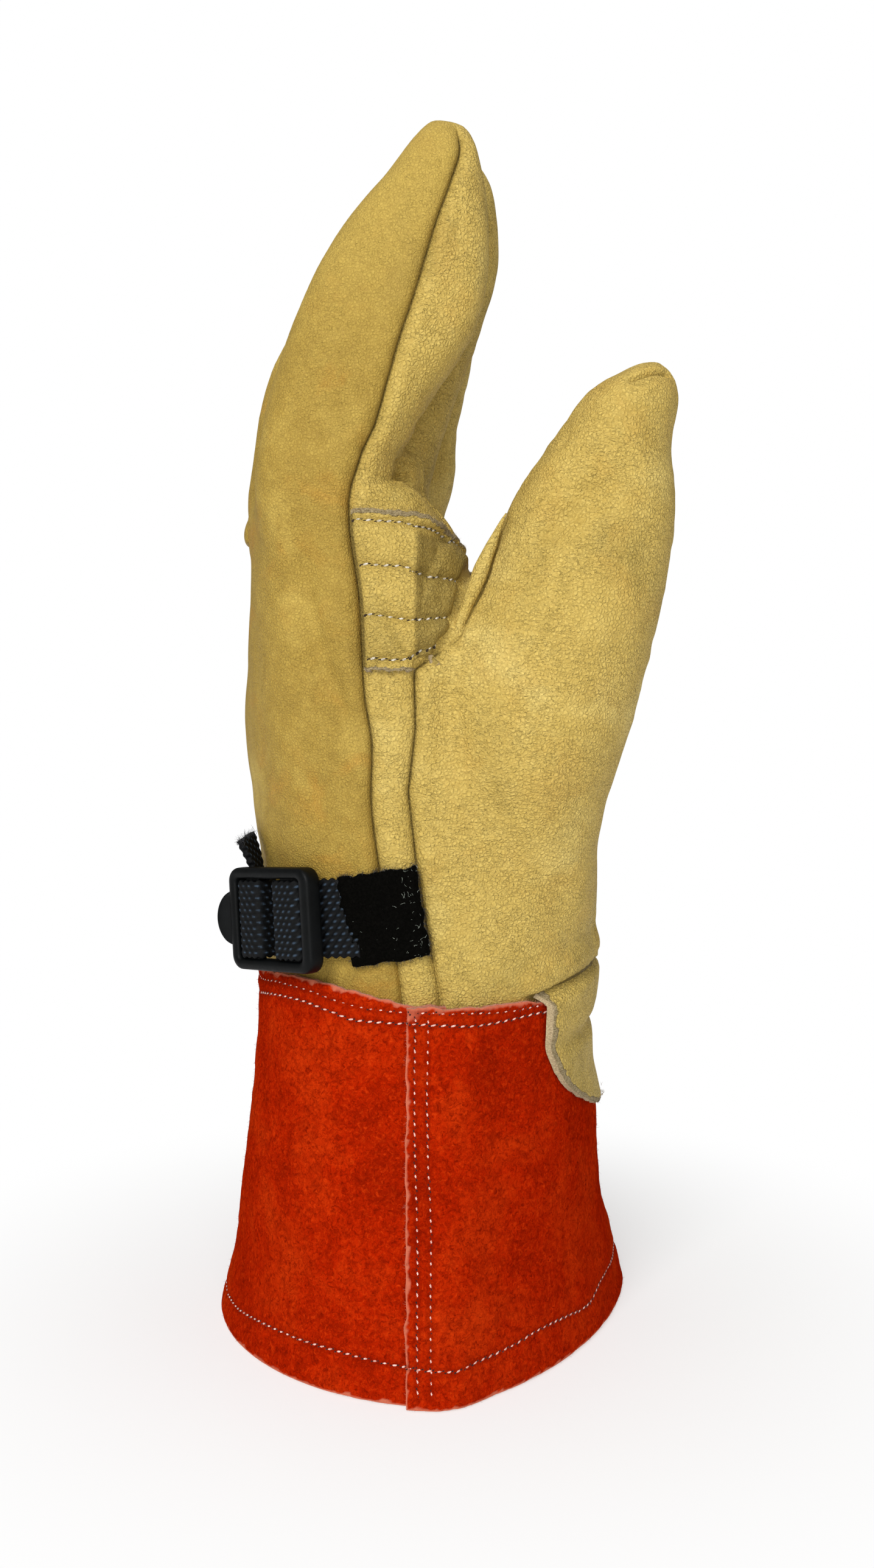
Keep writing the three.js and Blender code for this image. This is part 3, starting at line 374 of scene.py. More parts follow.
    def seam_points(self) -> np.ndarray:
        """True for the points where triangles of two labels meet."""
        lowest = np.full(len(self.points), np.iinfo(np.int64).max)
        highest = np.full(len(self.points), -1)
        for corner in range(3):
            np.minimum.at(lowest, self.triangles[:, corner], self.labels)
            np.maximum.at(highest, self.triangles[:, corner], self.labels)
        return lowest != highest


def distance_to(points: Points, targets: Points, reach: float) -> Points:
    """How far each point is from the nearest target.

    Args:
        points: where to measure from.
        targets: where to measure to.
        reach: the largest distance that matters.

    Returns:
        The distances, no more than the reach.
    """
    tree = KDTree(len(targets))
    for index, target in enumerate(targets):
        tree.insert(target, index)
    tree.balance()
    low, high = targets.min(0) - reach, targets.max(0) + reach
    found = np.full(len(points), reach)
    for index in np.flatnonzero(((points > low) & (points < high)).all(axis=1)):
        found[index] = min(reach, tree.find(points[index])[2])
    return found


def line_distance(points: Points, line: Points) -> tuple[Points, Points]:
    """How far each point is from a line of straight pieces.

    Args:
        points: where to measure from.
        line: the corners of the line.

    Returns:
        The distances, and the share of the line's length at the nearest place.
    """
    best = np.full(len(points), np.inf)
    along = np.zeros(len(points))
    lengths = np.linalg.norm(np.diff(line, axis=0), axis=1)
    starts = run_along(line)
    for index, length in enumerate(lengths):
        direction = (line[index + 1] - line[index]) / max(length, 1e-9)
        run = np.clip((points - line[index]) @ direction, 0, length)
        gap = np.linalg.norm(points - line[index] - run[:, None] * direction, axis=1)
        closer = gap < best
        best = np.where(closer, gap, best)
        along = np.where(closer, (starts[index] + run) / starts[-1], along)
    return best, along


@dataclass
class Shell:
    """Points and faces of a finished piece, ready for Blender."""

    points: Points
    faces: np.ndarray
    finishes: np.ndarray | None = None
    masks: dict[str, Points] = field(default_factory=dict)
    sharp_degrees: float | None = None

    def to_object(self, name: str, materials: list[Material], slot: Slot,
                  replaces: tuple[str, ...] = ()) -> bpy.types.Object:
        """Makes the Blender object and hangs it on the frame.

        Args:
            name: the piece's name.
            materials: its finishes, by face index.
            slot: not used.
            replaces: the CAD nodes that it stands for.

        Returns:
            The object.
        """
        sides = self.faces.shape[1]
        count = len(self.faces)
        mesh = bpy.data.meshes.new(name)
        mesh.vertices.add(len(self.points))
        mesh.vertices.foreach_set("co", (self.points * MM).astype(np.float32).ravel())
        mesh.loops.add(count * sides)
        mesh.loops.foreach_set("vertex_index", self.faces.astype(np.int32).ravel())
        mesh.polygons.add(count)
        mesh.polygons.foreach_set("loop_start", np.arange(0, count * sides, sides, dtype=np.int32))
        mesh.polygons.foreach_set("use_smooth", np.ones(count, bool))
        for material in materials:
            mesh.materials.append(material)
        if self.finishes is not None:
            mesh.polygons.foreach_set("material_index", self.finishes.astype(np.int32))
        mesh.update(calc_edges=True)
        mesh.validate(clean_customdata=False)
        for mask, values in self.masks.items():
            layer = mesh.attributes.new(mask, "FLOAT", "POINT")
            layer.data.foreach_set("value", values.astype(np.float32))
        if self.sharp_degrees is not None:
            mesh.set_sharp_from_angle(angle=math.radians(self.sharp_degrees))
        piece = bpy.data.objects.new(name, mesh)
        bpy.context.scene.collection.objects.link(piece)
        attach(piece, BODY)
        if replaces:
            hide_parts(*replaces)
        triangles = count * (sides - 2)
        log.info("%s: %d points, %d triangles", name, len(self.points), triangles)
        return piece


def sheet(skin: Skin, inside: Points, masks: dict[str, Points], sharp_degrees: float | None = None) -> Shell:
    """A sheet of leather or felt between two faces, with its cut edge.

    Args:
        skin: the outer face, which takes the first finish. The rest takes the second.
        inside: the inner face's place below each of its points.
        masks: numbers at each point for the finish.
        sharp_degrees: how much an edge bends before it looks sharp.

    Returns:
        The closed shell.
    """
    count, size = len(skin.points), len(skin.triangles)
    a, b = skin.rim().T
    side = np.vstack([np.stack([b, a, a + count], 1), np.stack([b, a + count, b + count], 1)])
    faces = np.vstack([skin.triangles, skin.triangles[:, ::-1] + count, side])
    finishes = (np.arange(len(faces)) >= size).astype(int)
    doubled = {name: np.concatenate([values.ravel()] * 2) for name, values in masks.items()}
    return Shell(np.vstack([skin.points, inside]), faces, finishes, doubled, sharp_degrees)


# The camera of the photograph


@dataclass(frozen=True)
class PhotoCamera:
    """The camera of the photograph, and the place on the glove behind one of its pixels."""

    width: int = 1436
    height: int = 2576
    focal_px: float = 2430.0
    place: Triple = (0.0, -400.0, 165.0)
    drop_degrees: float = 3.25
    sensor: float = 36.0

    def ray(self, px: float, py: float) -> tuple[Vector, Vector]:
        """The ray behind a pixel.

        Args:
            px: pixels from the left.
            py: pixels from the top.

        Returns:
            Its start and its direction.
        """
        drop = math.radians(self.drop_degrees)
        right = (px - self.width / 2) / self.focal_px
        up = (self.height / 2 - py) / self.focal_px
        ahead = Vector((right, math.cos(drop) + up * math.sin(drop), up * math.cos(drop) - math.sin(drop)))
        return Vector(self.place), ahead.normalized()

    def build(self) -> None:
        """Makes the camera of the scene."""
        data = bpy.data.cameras.new("photo_camera")
        data.sensor_width = self.sensor
        data.lens = self.focal_px / self.height * self.sensor
        data.clip_start = 0.01
        data.clip_end = 20.0
        camera = bpy.data.objects.new("photo_camera", data)
        camera.location = Vector(self.place) * MM
        camera.rotation_euler = (math.radians(90.0 - self.drop_degrees), 0.0, 0.0)
        bpy.context.scene.collection.objects.link(camera)
        bpy.context.scene.camera = camera


@dataclass
class Surface:
    """A finished surface that pixels and threads are laid on."""

    points: Points
    triangles: Triangles
    camera: PhotoCamera = field(default_factory=PhotoCamera)
    reach: float = 4.0

    def __post_init__(self) -> None:
        """Builds the search tree."""
        self.tree = BVHTree.FromPolygons(self.points.tolist(), self.triangles.tolist())

    def behind(self, px: float, py: float) -> tuple[Points, Points] | None:
        """The place behind a pixel of the photograph.

        Args:
            px: pixels from the left.
            py: pixels from the top.

        Returns:
            The place and the outward normal there, or None where the pixel misses.
        """
        start, ahead = self.camera.ray(px, py)
        place, normal, _, _ = self.tree.ray_cast(start, ahead)
        if place is None:
            return None
        return np.array(place), np.array(normal)

    def line_behind(self, pixels: Pairs, step: float = 5.0) -> Points:
        """The places behind a line of pixels, without those that miss.

        Args:
            pixels: the line's corners.
            step: pixels from one place to the next.

        Returns:
            The places in order.
        """
        corners = np.array(pixels, float)
        run = run_along(corners)
        count = max(2, int(run[-1] / step))
        fine = cubic_along(np.linspace(0, run[-1], count), run, corners)
        hits = [self.behind(px, py) for px, py in fine]
        return np.array([hit[0] for hit in hits if hit is not None])

    def under(self, point: Points, normal: Points) -> Points | None:
        """The place on the surface below or above a point.

        Args:
            point: a point near the surface.
            normal: which way is out.

        Returns:
            The place, or None where there is none within the reach.
        """
        start = Vector(point + normal * self.reach)
        place = self.tree.ray_cast(start, Vector(-normal), 2 * self.reach)[0]
        return None if place is None else np.array(place)

    def nearest(self, point: Points) -> tuple[Points, Points]:
        """The nearest place on the surface and the outward normal there."""
        place, normal, _, _ = self.tree.find_nearest(Vector(point))
        return np.array(place), np.array(normal)


# The forms of the hand, in millimetres


class Panel(Enum):
    """The leather panels that the skin is cut into."""

    BACK = 0
    PALM = 1
    MIDDLE_BACK = 2
    STRIP_INDEX = 3
    STRIP_MIDDLE = 4
    STRIP_RING = 5
    THUMB = 6
    THUMB_INNER = 7


HAND_KEYS = ("x_back", "x_palm", "x_mid", "y_near", "y_far", "n_back", "n_palm")
HAND_SECTIONS = (
    (79, -45.8, 37.8, -4, -45.7, 45.7, 2.2, 2.25),
    (91, -46, 39.2, -4, -46, 46, 2.2, 2.25),
    (103, -46.4, 39.4, -5, -46.3, 46.3, 2.2, 2.5),
    (120, -47, 39, -7, -47, 46.8, 2.2, 2.7),
    (135, -48.8, 35.5, -10, -48, 48, 2.3, 2.6),
    (150, -50.4, 30, -13, -49, 49.8, 2.4, 2.4),
    (165, -50.9, 22.5, -16, -50.2, 51, 2.6, 2.5),
    (180, -50, 15, -19, -51, 51.5, 2.8, 2.7),
    (203, -49.2, 7, -22, -51.2, 51.4, 3.2, 3),
    (210, -49, 3, -23, -50.6, 50.8, 3.2, 3),
    (215, -46.5, -2.5, -24, -47.5, 47.8, 2.8, 2.8),
    (218, -40, -11, -25, -41, 41, 2.4, 2.4),
)
# Side view of each finger: back and palm point, half width, and the seam's share of the way
FINGERS = {
    "index": (-38.4, -0.6, (
        (-41, 190, -24, 186, 8, 0.66), (-44.6, 206, -17.5, 202, 11.9, 0.7),
        (-44.5, 216, -13.2, 214, 12.9, 0.73), (-42.9, 229, -10.6, 220.5, 12.9, 0.74),
        (-40.9, 240.5, -4.6, 229, 12.9, 0.73), (-34.2, 257.5, 5.4, 245.5, 12.7, 0.68),
        (-30.2, 266, 9.2, 253.5, 12.5, 0.66), (-25.3, 275, 11.8, 262.5, 12.2, 0.63),
        (-19, 283.6, 12.8, 272.5, 11.8, 0.6), (-12.3, 291.6, 12.2, 283.5, 10.8, 0.63),
        (-8.8, 296.5, 10.8, 291.5, 9, 0.69), (-5.6, 300.4, 9, 298, 6.4, 0.75),
        (-2.2, 302.8, 5.5, 302.2, 3, 0.8))),
    "middle": (-12.9, 0, (
        (-41, 190, -20, 186, 8, 0.66), (-47.5, 203, -10, 200, 12.2, 0.64),
        (-51.5, 213, -5.5, 211, 12.3, 0.64), (-49, 229, -2.6, 220, 12.3, 0.63),
        (-45.6, 243, 0.8, 232, 12.4, 0.62), (-39.6, 256, 5.6, 244, 12.4, 0.62),
        (-32, 269, 10.6, 257.5, 12.4, 0.62), (-20.5, 284.6, 16, 274.5, 12, 0.61),
        (-9.5, 297.5, 15.6, 291, 10.2, 0.64), (-5, 302, 13, 298.5, 7.6, 0.67),
        (-0.5, 304.8, 8.6, 303.4, 3.8, 0.7))),
    "ring": (13, 0.3, (
        (-41, 190, -18, 186, 8, 0.66), (-47.5, 203, -6, 200, 12.2, 0.63),
        (-51.3, 213, -0.6, 211, 12.3, 0.62), (-49.2, 228, 3.2, 221, 12.3, 0.61),
        (-46, 241, 4.7, 234, 12.3, 0.61), (-40.8, 253, 6.4, 245, 12.2, 0.61),
        (-30.2, 270, 10.2, 262, 12, 0.61), (-18, 284.5, 11.2, 279, 10.8, 0.62),
        (-11.5, 290.5, 8.8, 287, 8.2, 0.65), (-6.5, 293.6, 4, 292.4, 4.2, 0.68))),
    "little": (38.4, 1.2, (
        (-41, 190, -22, 186, 8, 0.66), (-44.6, 206, -12, 202, 11.8, 0.64),
        (-44.8, 217, -5.4, 212, 12.5, 0.62), (-42.4, 229, -2.4, 222, 12.4, 0.61),
        (-38, 240.5, 0.8, 233, 12.2, 0.61), (-31.8, 251.5, 3, 244.5, 11.7, 0.61),
        (-24.5, 260.5, 3.2, 255, 10.4, 0.62), (-18, 266, 0.6, 262.8, 7.8, 0.64),
        (-12.5, 268.8, -3.6, 267.6, 4, 0.67))),
}
THUMB_SECTIONS = (
    (4, 100, 31, 96, -10, 14), (-1, 114, 37.8, 108, -14, 22),
    (-3.5, 128, 40.4, 121, -17.5, 25.5), (-5.5, 142, 43.2, 134, -21.5, 27),
    (-5.5, 156, 47, 148, -26, 26.2), (-3.4, 169, 50.8, 162, -28, 24.5),
    (3, 182, 54.2, 175, -29.6, 22.9), (9.5, 195, 56.9, 188, -31, 21.3),
    (14.6, 206.5, 58.5, 199.5, -32, 20), (20, 216.8, 58.9, 210.5, -32.6, 19),
    (26, 226.2, 57.9, 221, -33, 17.9), (31.5, 234.6, 58.4, 231, -33.3, 16.4),
    (36.6, 241, 59.4, 238, -33.5, 13.8), (43.6, 245.4, 58.3, 243.4, -33.5, 10),
    (49.4, 247.3, 55.6, 246.6, -33.5, 4.6),
)
SIDE_SEAM = ((60, -7.5), (92, -8.6), (103, -10), (124, -13.9), (140, -15.8), (155, -15.6),
             (165, -17.1), (190, -18.4), (208, -20.3))
# The seam of the index finger: height and place across
INDEX_SEAM = ((190, -18.4), (204, -20.4), (209.7, -20.6), (214.8, -19.9), (219, -18.5), (223.3, -16.9),
              (228.9, -14.3), (240.2, -11.1), (248.6, -8.8), (259.7, -5.1), (270, -2.0), (278.7, 0.8),
              (283, 2.5), (288, 4.2), (292, 5.6), (295, 6.0), (298.5, 5.3), (303, 3.2))
THUMB_SEAM = ((60, 3), (94, 0.5), (110, -2.5), (125, -4.9), (143, -6.8), (158, -4.9), (172, -5),
              (176.5, 1.5), (192, 10.6), (207, 17), (214, 14), (240, 15), (262, 17))
THUMB_EDGE = ((60, -8), (100, -11), (135, -15), (165, -24), (200, -30), (236, -34), (262, -36))
# Soft dents: place, width, height, direction and depth
DENTS = (
    ((-30, -46, 178), 6, 34, (0.3, 1, 0), 1.6),
    ((31, -51, 214), 9, 12, (0, 1, 0), 1.4),
    ((27, -14, 190), 10, 14, (0, -1, 0), 2.0),
    ((24, 6, 150), 16, 22, (-1, 0, 0), 4.0),
    ((-48, 4, 130), 22, 14, (1, 0, 0), 1.2),
    ((-9, -42, 214.5), 6.0, 4.2, (0.8, -0.2, 0.5), 4.4),
    ((41, -34, 247), 10, 6, (0.2, 0, -1), 1.7),
)
# How far the sides move right to meet the outline in the photograph: height and distance
INDEX_BACK_FIT = ((120, -0.3), (131, -0.6), (141, 0), (160, 0), (170, 0.5), (180, 0.8), (189, 1.45),
                  (199, 1.7), (206, 1.2), (212, 0.3), (222, 0.1), (230, 0.6), (236, 1.0), (243, 1.2),
                  (250, 0.75), (258, 0.7), (266, 0.3), (275, 0.3), (283.7, 0.9), (288, 1.6), (292.5, 1.2),
                  (304, 1.0))
MIDDLE_BACK_FIT = ((120, -0.3), (131, -0.6), (141, 0), (160, 0), (170, 0.5), (180, 0.8), (189, 1.45),
                   (194, 1.95), (199, 1.8), (205, 2.2), (209, 3.0), (218, 3.15), (223, 3.1), (228, 2.6),
                   (237, 1.9), (246, 1.2), (250, 0.75), (304, 1.0))
INDEX_PALM_FIT = ((214, 0), (219, -0.6), (226, -1.0), (231, -1.5), (234.5, -1.8), (240, -1.7), (246, -1.2),
                  (252, -0.4), (258, 0))
THUMB_FIT = ((88, 0), (91.5, 0), (94.3, 2.3), (97.5, 2.6), (102, 2.6), (112, 2.7), (117, 1.9), (122, 0.95),
             (127, -0.15), (131.5, -0.8), (141, -1.7), (151, -1.2), (160, -0.9), (170, -1.5), (179, -1.8),
             (188, -1.65), (197, -1.35), (203, -1.2), (209, -0.75), (215, -0.45), (219, -0.3), (223.5, -0.9),
             (226.5, -1.35), (230, -1.2), (241.5, -0.9), (255, -0.9))
# The webs of leather between the fingers: x and z of a rounded lump at each crotch, and its radii
WEB_PLACE = (-11.5, 220.5)
WEB_RADII = (8.6, 7.0, 9.6)


def bulge(value: Points, exponent: Points | float) -> Points:
    """A signed power of a sine or cosine: 2 gives an ellipse, more a rounded rectangle."""
    return np.sign(value) * np.abs(value) ** (2.0 / exponent)


def grid_faces(rows: int, columns: int, around: bool = False) -> np.ndarray:
    """The quads of a grid of points, facing the side on which rows run up and columns right.

    Args:
        rows: how many rows of points.
        columns: how many points in a row.
        around: True if each row closes on itself.

    Returns:
        Four points for each quad.
    """
    across = columns if around else columns - 1
    row, column = np.meshgrid(np.arange(rows - 1), np.arange(across), indexing="ij")
    row, column = row.ravel(), column.ravel()
    beside = (column + 1) % columns
    return np.stack([row * columns + column, row * columns + beside,
                     (row + 1) * columns + beside, (row + 1) * columns + column], 1)


def triangles_of(quads: np.ndarray) -> np.ndarray:
    """Splits each quad into two triangles."""
    return np.vstack([quads[:, [0, 1, 2]], quads[:, [0, 2, 3]]])


@dataclass(frozen=True)
class LevelForm:
    """A form given by level sections: the wrist and palm, or the cuff."""

    sections: tuple[tuple[float, ...], ...]
    keys: tuple[str, ...] = HAND_KEYS
    far_roundness: float = 2.0

    def at(self, z: Points) -> dict[str, Points]:
        """The section's measures at each height.

        Args:
            z: heights.

        Returns:
            One array for each measure.
        """
        table = np.array(self.sections, float)
        rows = cubic_along(z, table[:, 0], table[:, 1:])
        found = {key: rows[:, index] for index, key in enumerate(self.keys)}
        found.setdefault("y_turn", np.zeros(len(rows)))
        return found

    def points(self, angle: Points, z: Points, offset: Points | float = 0.0) -> Points:
        """Points of the form. The angle is 0 at the palm and -90 degrees at the index side.

        Args:
            angle: where round the section, in radians.
            z: heights.
            offset: how far outside.

        Returns:
            The points.
        """
        s = self.at(z)
        cos, sin = np.cos(angle), np.sin(angle)
        palm = cos > 0
        n = np.where(palm, s["n_palm"], s["n_back"])
        x_half = np.where(palm, s["x_palm"] - s["x_mid"], s["x_mid"] - s["x_back"]) + offset
        turn = np.where(palm, s["y_turn"], 0.0)
        y_half = np.where(sin > 0, s["y_far"] - turn, turn - s["y_near"]) + offset
        n = np.where(palm & (sin > 0), np.maximum(n, self.far_roundness), n)
        return np.stack([s["x_mid"] + x_half * bulge(cos, n), turn + y_half * bulge(sin, n),
                         np.broadcast_to(z, cos.shape)], 1)

    def near_angle(self, x: Points, z: Points) -> Points:
        """The angle, on the index side, of the point with this x.

        Args:
            x: places across.
            z: heights.

        Returns:
            Angles from -180 to 0 degrees, in radians.
        """
        s = self.at(z)
        palm = x > s["x_mid"]
        half = np.where(palm, s["x_palm"] - s["x_mid"], s["x_mid"] - s["x_back"])
        share = np.clip(np.abs(x - s["x_mid"]) / half, 0, 1)
        power = np.where(palm, s["n_palm"], s["n_back"]) / 2
        return -np.arccos(np.where(palm, 1, -1) * share**power)

    def palm_points(self, y: Points, z: Points, offset: Points | float) -> Points:
        """The points of the palm side with these y.

        Args:
            y: places from the index side to the little finger side.
            z: heights.
            offset: how far outside.

        Returns:
            The points.
        """
        s = self.at(z)
        far = y > s["y_turn"]
        n = np.where(far, np.maximum(s["n_palm"], self.far_roundness), s["n_palm"])
        half = np.where(far, s["y_far"] - s["y_turn"], s["y_turn"] - s["y_near"]) + offset
        share = np.clip(np.abs(y - s["y_turn"]) / half, 0, 1)
        x = (s["x_palm"] - s["x_mid"] + offset) * (1 - share**n) ** (1 / n)
        return np.stack([s["x_mid"] + x, y, z], 1)

    def outside(self, points: Points) -> Points:
        """About how far each point is outside the form, level.

        Args:
            points: any points.

        Returns:
            Distances, negative inside.
        """
        s = self.at(points[:, 2])
        across = points[:, 0] - s["x_mid"]
        palm = across > 0
        x_half = np.where(palm, s["x_palm"] - s["x_mid"], s["x_mid"] - s["x_back"])
        y_half = np.where(points[:, 1] > 0, s["y_far"], -s["y_near"])
        n = np.where(palm, s["n_palm"], s["n_back"])
        radius = (np.abs(across / x_half) ** n + np.abs(points[:, 1] / y_half) ** n) ** (1 / n)
        return (radius - 1) * 0.5 * (x_half + y_half)


HAND = LevelForm(HAND_SECTIONS)


@dataclass(frozen=True)
class Limb:
    """A finger or the thumb: rows of centre, direction through it and half sizes."""

    ends: tuple[tuple[float, ...], ...]
    middles: tuple[float, ...]
    halves: tuple[float, ...]
    roundness: float
    seams: tuple[float, ...] = ()
    drawn_seam: Pairs = ()

    def rings(self, rows: int, steps: int) -> Points:
        """Rings of points from root to tip.

        Args:
            rows: how many rings.
            steps: points in each.

        Returns:
            An array of rings.
        """
        place = np.linspace(0, len(self.ends) - 1, rows)
        table = np.column_stack([self.ends, self.middles, self.halves])
        found = cubic_along(place, np.arange(len(self.ends)), table)
        back, palm = found[:, :2], found[:, 2:4]
        middle = 0.5 * (back + palm)
        through = 0.5 * (palm - back)
        angle = circle(steps)
        across, side = bulge(np.cos(angle), self.roundness), bulge(np.sin(angle), self.roundness)
        x = middle[:, :1] + through[:, :1] * across
        z = middle[:, 1:] + through[:, 1:] * across
        y = found[:, 4:5] + found[:, 5:6] * side
        return np.stack([x, y, z], 2)

    def seam_x(self, z: Points) -> Points:
        """Where the finger's side seam is at each height.

        Args:
            z: heights.

        Returns:
            The seam's x.
        """
        ends, share = np.array(self.ends), np.array(self.seams)
        seam_z = ends[:, 1] + (ends[:, 3] - ends[:, 1]) * share
        seam_x = ends[:, 0] + (ends[:, 2] - ends[:, 0]) * share
        above = np.stack([seam_z, seam_x], 1)[seam_z > SIDE_SEAM[-1][0] + 4]
        lower = np.array(SIDE_SEAM)
        if self.drawn_seam:
            above = np.array(self.drawn_seam)
            lower = lower[lower[:, 0] < above[0, 0]]
        line = np.vstack([lower, above])
        return cubic_along(z, line[:, 0], line[:, 1])


def finger_limb(y: float, splay: float, rows: tuple[tuple[float, ...], ...],
                drawn_seam: Pairs = ()) -> Limb:
    """A finger from its table.

    Args:
        y: its middle at the root.
        splay: how far its tip leans away.
        rows: its side view.
        drawn_seam: its seam, where that is known from the photograph.

    Returns:
        The finger.
    """
    low, high = rows[0][1], rows[-1][1]
    middles = tuple(y + splay * (row[1] - low) / (high - low) for row in rows)
    return Limb(tuple(row[:4] for row in rows), middles, tuple(row[4] for row in rows), 2.6,
                tuple(row[5] for row in rows), drawn_seam)


LIMBS = [finger_limb(*table, INDEX_SEAM if name == "index" else ()) for name, table in FINGERS.items()]
FINGER_Y = [table[0] for table in FINGERS.values()]
BETWEEN = [(low + high) / 2 for low, high in zip(FINGER_Y, FINGER_Y[1:])]
THUMB = Limb(tuple(row[:4] for row in THUMB_SECTIONS), tuple(row[4] for row in THUMB_SECTIONS),
             tuple(row[5] for row in THUMB_SECTIONS), 2.2)


def closed_loft(rings: Points) -> tuple[Points, Triangles]:
    """A closed mesh through rings of points.

    Args:
        rings: an array of rings.

    Returns:
        Points and triangles.
    """
    rows, steps, _ = rings.shape
    points = np.vstack([rings.reshape(-1, 3), rings[0].mean(0), rings[-1].mean(0)])
    ring = np.arange(steps)
    beside = (ring + 1) % steps
    first, last = rows * steps, rows * steps + 1
    low = np.stack([beside, ring, np.full(steps, first)], 1)
    high = np.stack([ring + (rows - 1) * steps, beside + (rows - 1) * steps, np.full(steps, last)], 1)
    return points, np.vstack([triangles_of(grid_faces(rows, steps, True)), low, high])


def joined(parts: list[tuple[Points, Triangles]]) -> tuple[Points, Triangles]:
    """Several meshes as one.

    Args:
        parts: points and triangles of each.

    Returns:
        Points and triangles of all.
    """
    sizes = np.cumsum([0] + [len(points) for points, _ in parts])
    faces = [faces + size for (_, faces), size in zip(parts, sizes)]
    return np.vstack([points for points, _ in parts]), np.vstack(faces)


def hem_height(x: Points) -> Points:
    """The height of the palm leather's hem, which rises to the right."""
    return 93.4 + 0.28 * (x - 24)


def rounded_lump(centre: Triple, radii: Triple) -> Points:
    """Rings of points over a rounded lump.

    Args:
        centre: its middle.
        radii: its half sizes.

    Returns:
        An array of rings.
    """
    rise = np.linspace(-0.49, 0.49, 24) * np.pi
    angle = circle(32)
    ring = np.stack([np.cos(angle), np.sin(angle), np.zeros(32)], 1)
    points = ring[None] * np.cos(rise)[:, None, None]
    points[:, :, 2] = np.sin(rise)[:, None]
    return points * np.array(radii) + np.array(centre)


@dataclass(frozen=True)
class Crease:
    """A soft crease or ridge along a line of the photograph."""

    pixels: Pairs
    width: float
    depth: float
    shade: float = 0.0
    fade: float = 0.25

    def shape(self, surface: Surface, points: Points) -> tuple[Points, Points]:
        """How far each point moves outwards, and how dark it gets.

        Args:
            surface: what the line is laid on.
            points: the points that may move.

        Returns:
            Distances, negative for a crease, and shades from 0 to 1.
        """
        moved, shaded = np.zeros(len(points)), np.zeros(len(points))
        line = surface.line_behind(self.pixels, 9.0)
        if len(line) < 2:
            return moved, shaded
        low, high = line.min(0) - 3 * self.width, line.max(0) + 3 * self.width
        near = np.flatnonzero(((points > low) & (points < high)).all(axis=1))
        gap, along = line_distance(points[near], line)
        ends = smoothstep(0, self.fade, along) * smoothstep(1, 1 - self.fade, along)
        ends = (0.2 + 0.8 * ends) * (gap < 3 * self.width)
        moved[near] = -self.depth * hump(gap, self.width) * ends
        shaded[near] = self.shade * hump(gap, 0.6 * self.width) * ends
        return moved, shaded


# Creases (deeper) and ridges (negative) that the photograph shows on the leather
CREASES = (
    Crease(((505, 872), (503, 949), (518, 1064), (553, 1140), (580, 1198), (604, 1222)), 3.0, 1.9),
    Crease(((560, 930), (566, 1000), (580, 1080), (594, 1140)), 3.6, -0.2),
    Crease(((905, 845), (878, 925), (852, 1000)), 5.0, 0.6, 0.24),
    Crease(((1035, 645), (1062, 700), (1075, 760)), 5.0, 0.2, 0.2),
    Crease(((780, 1150), (810, 1260), (830, 1380)), 6.0, 0.2, 0.22),
    Crease(((572, 700), (586, 694), (603, 706)), 0.8, 0.4, 0.2),
    Crease(((570, 716), (588, 712), (604, 722)), 0.7, 0.3, 0.15),
    Crease(((590, 742), (602, 736)), 0.8, 0.3, 0.15),
    Crease(((622, 783), (640, 787), (660, 783), (680, 787)), 1.0, 1.3, 0.25),
    Crease(((650, 757), (657, 770), (664, 782)), 0.7, 0.5, 0.2),
    Crease(((640, 764), (662, 756), (690, 764)), 0.8, 0.4, 0.12),
    Crease(((632, 800), (660, 796), (682, 802)), 0.8, 0.35, 0.1),
    Crease(((648, 742), (676, 736), (700, 742)), 0.8, 0.3, 0.1),
    Crease(((1012, 768), (975, 808), (925, 850), (880, 896)), 3.8, 2.5, 0.12),
    Crease(((1052, 800), (1012, 842), (962, 884), (915, 930)), 4.0, -0.8),
    Crease(((830, 850), (818, 893), (797, 963), (769, 1018), (755, 1049), (730, 1066)), 0.6, 0.5, 0.7, 0.1),
    Crease(((930, 700), (926, 718), (921, 736)), 1.6, 0.8),
    Crease(((1030, 624), (1048, 618), (1062, 613), (1080, 610), (1102, 617)), 0.8, 1.6, 0.75, 0.1),
    Crease(((700, 1130), (740, 1180), (760, 1260)), 3.0, 0.8),
    Crease(((604, 1120), (640, 1130), (680, 1118)), 1.0, 0.35),
    Crease(((604, 1146), (636, 1158), (684, 1150)), 1.1, 0.35),
    Crease(((610, 1182), (650, 1190), (682, 1180)), 1.2, 0.35),
    Crease(((420, 1000), (424, 1150), (440, 1300)), 4.0, 0.4),
    Crease(((470, 1240), (520, 1300), (560, 1390)), 3.4, 0.5),
    Crease(((860, 1180), (930, 1260), (960, 1340)), 4.0, 0.6),
    Crease(((722, 262), (724, 278)), 1.2, 0.5),
)
# A shallow hollow down the palm, which the palm patch follows too
FACETS = (
    Crease(((717, 880), (720, 940), (716, 1000)), 1.5, 0.3, fade=0.1),
)


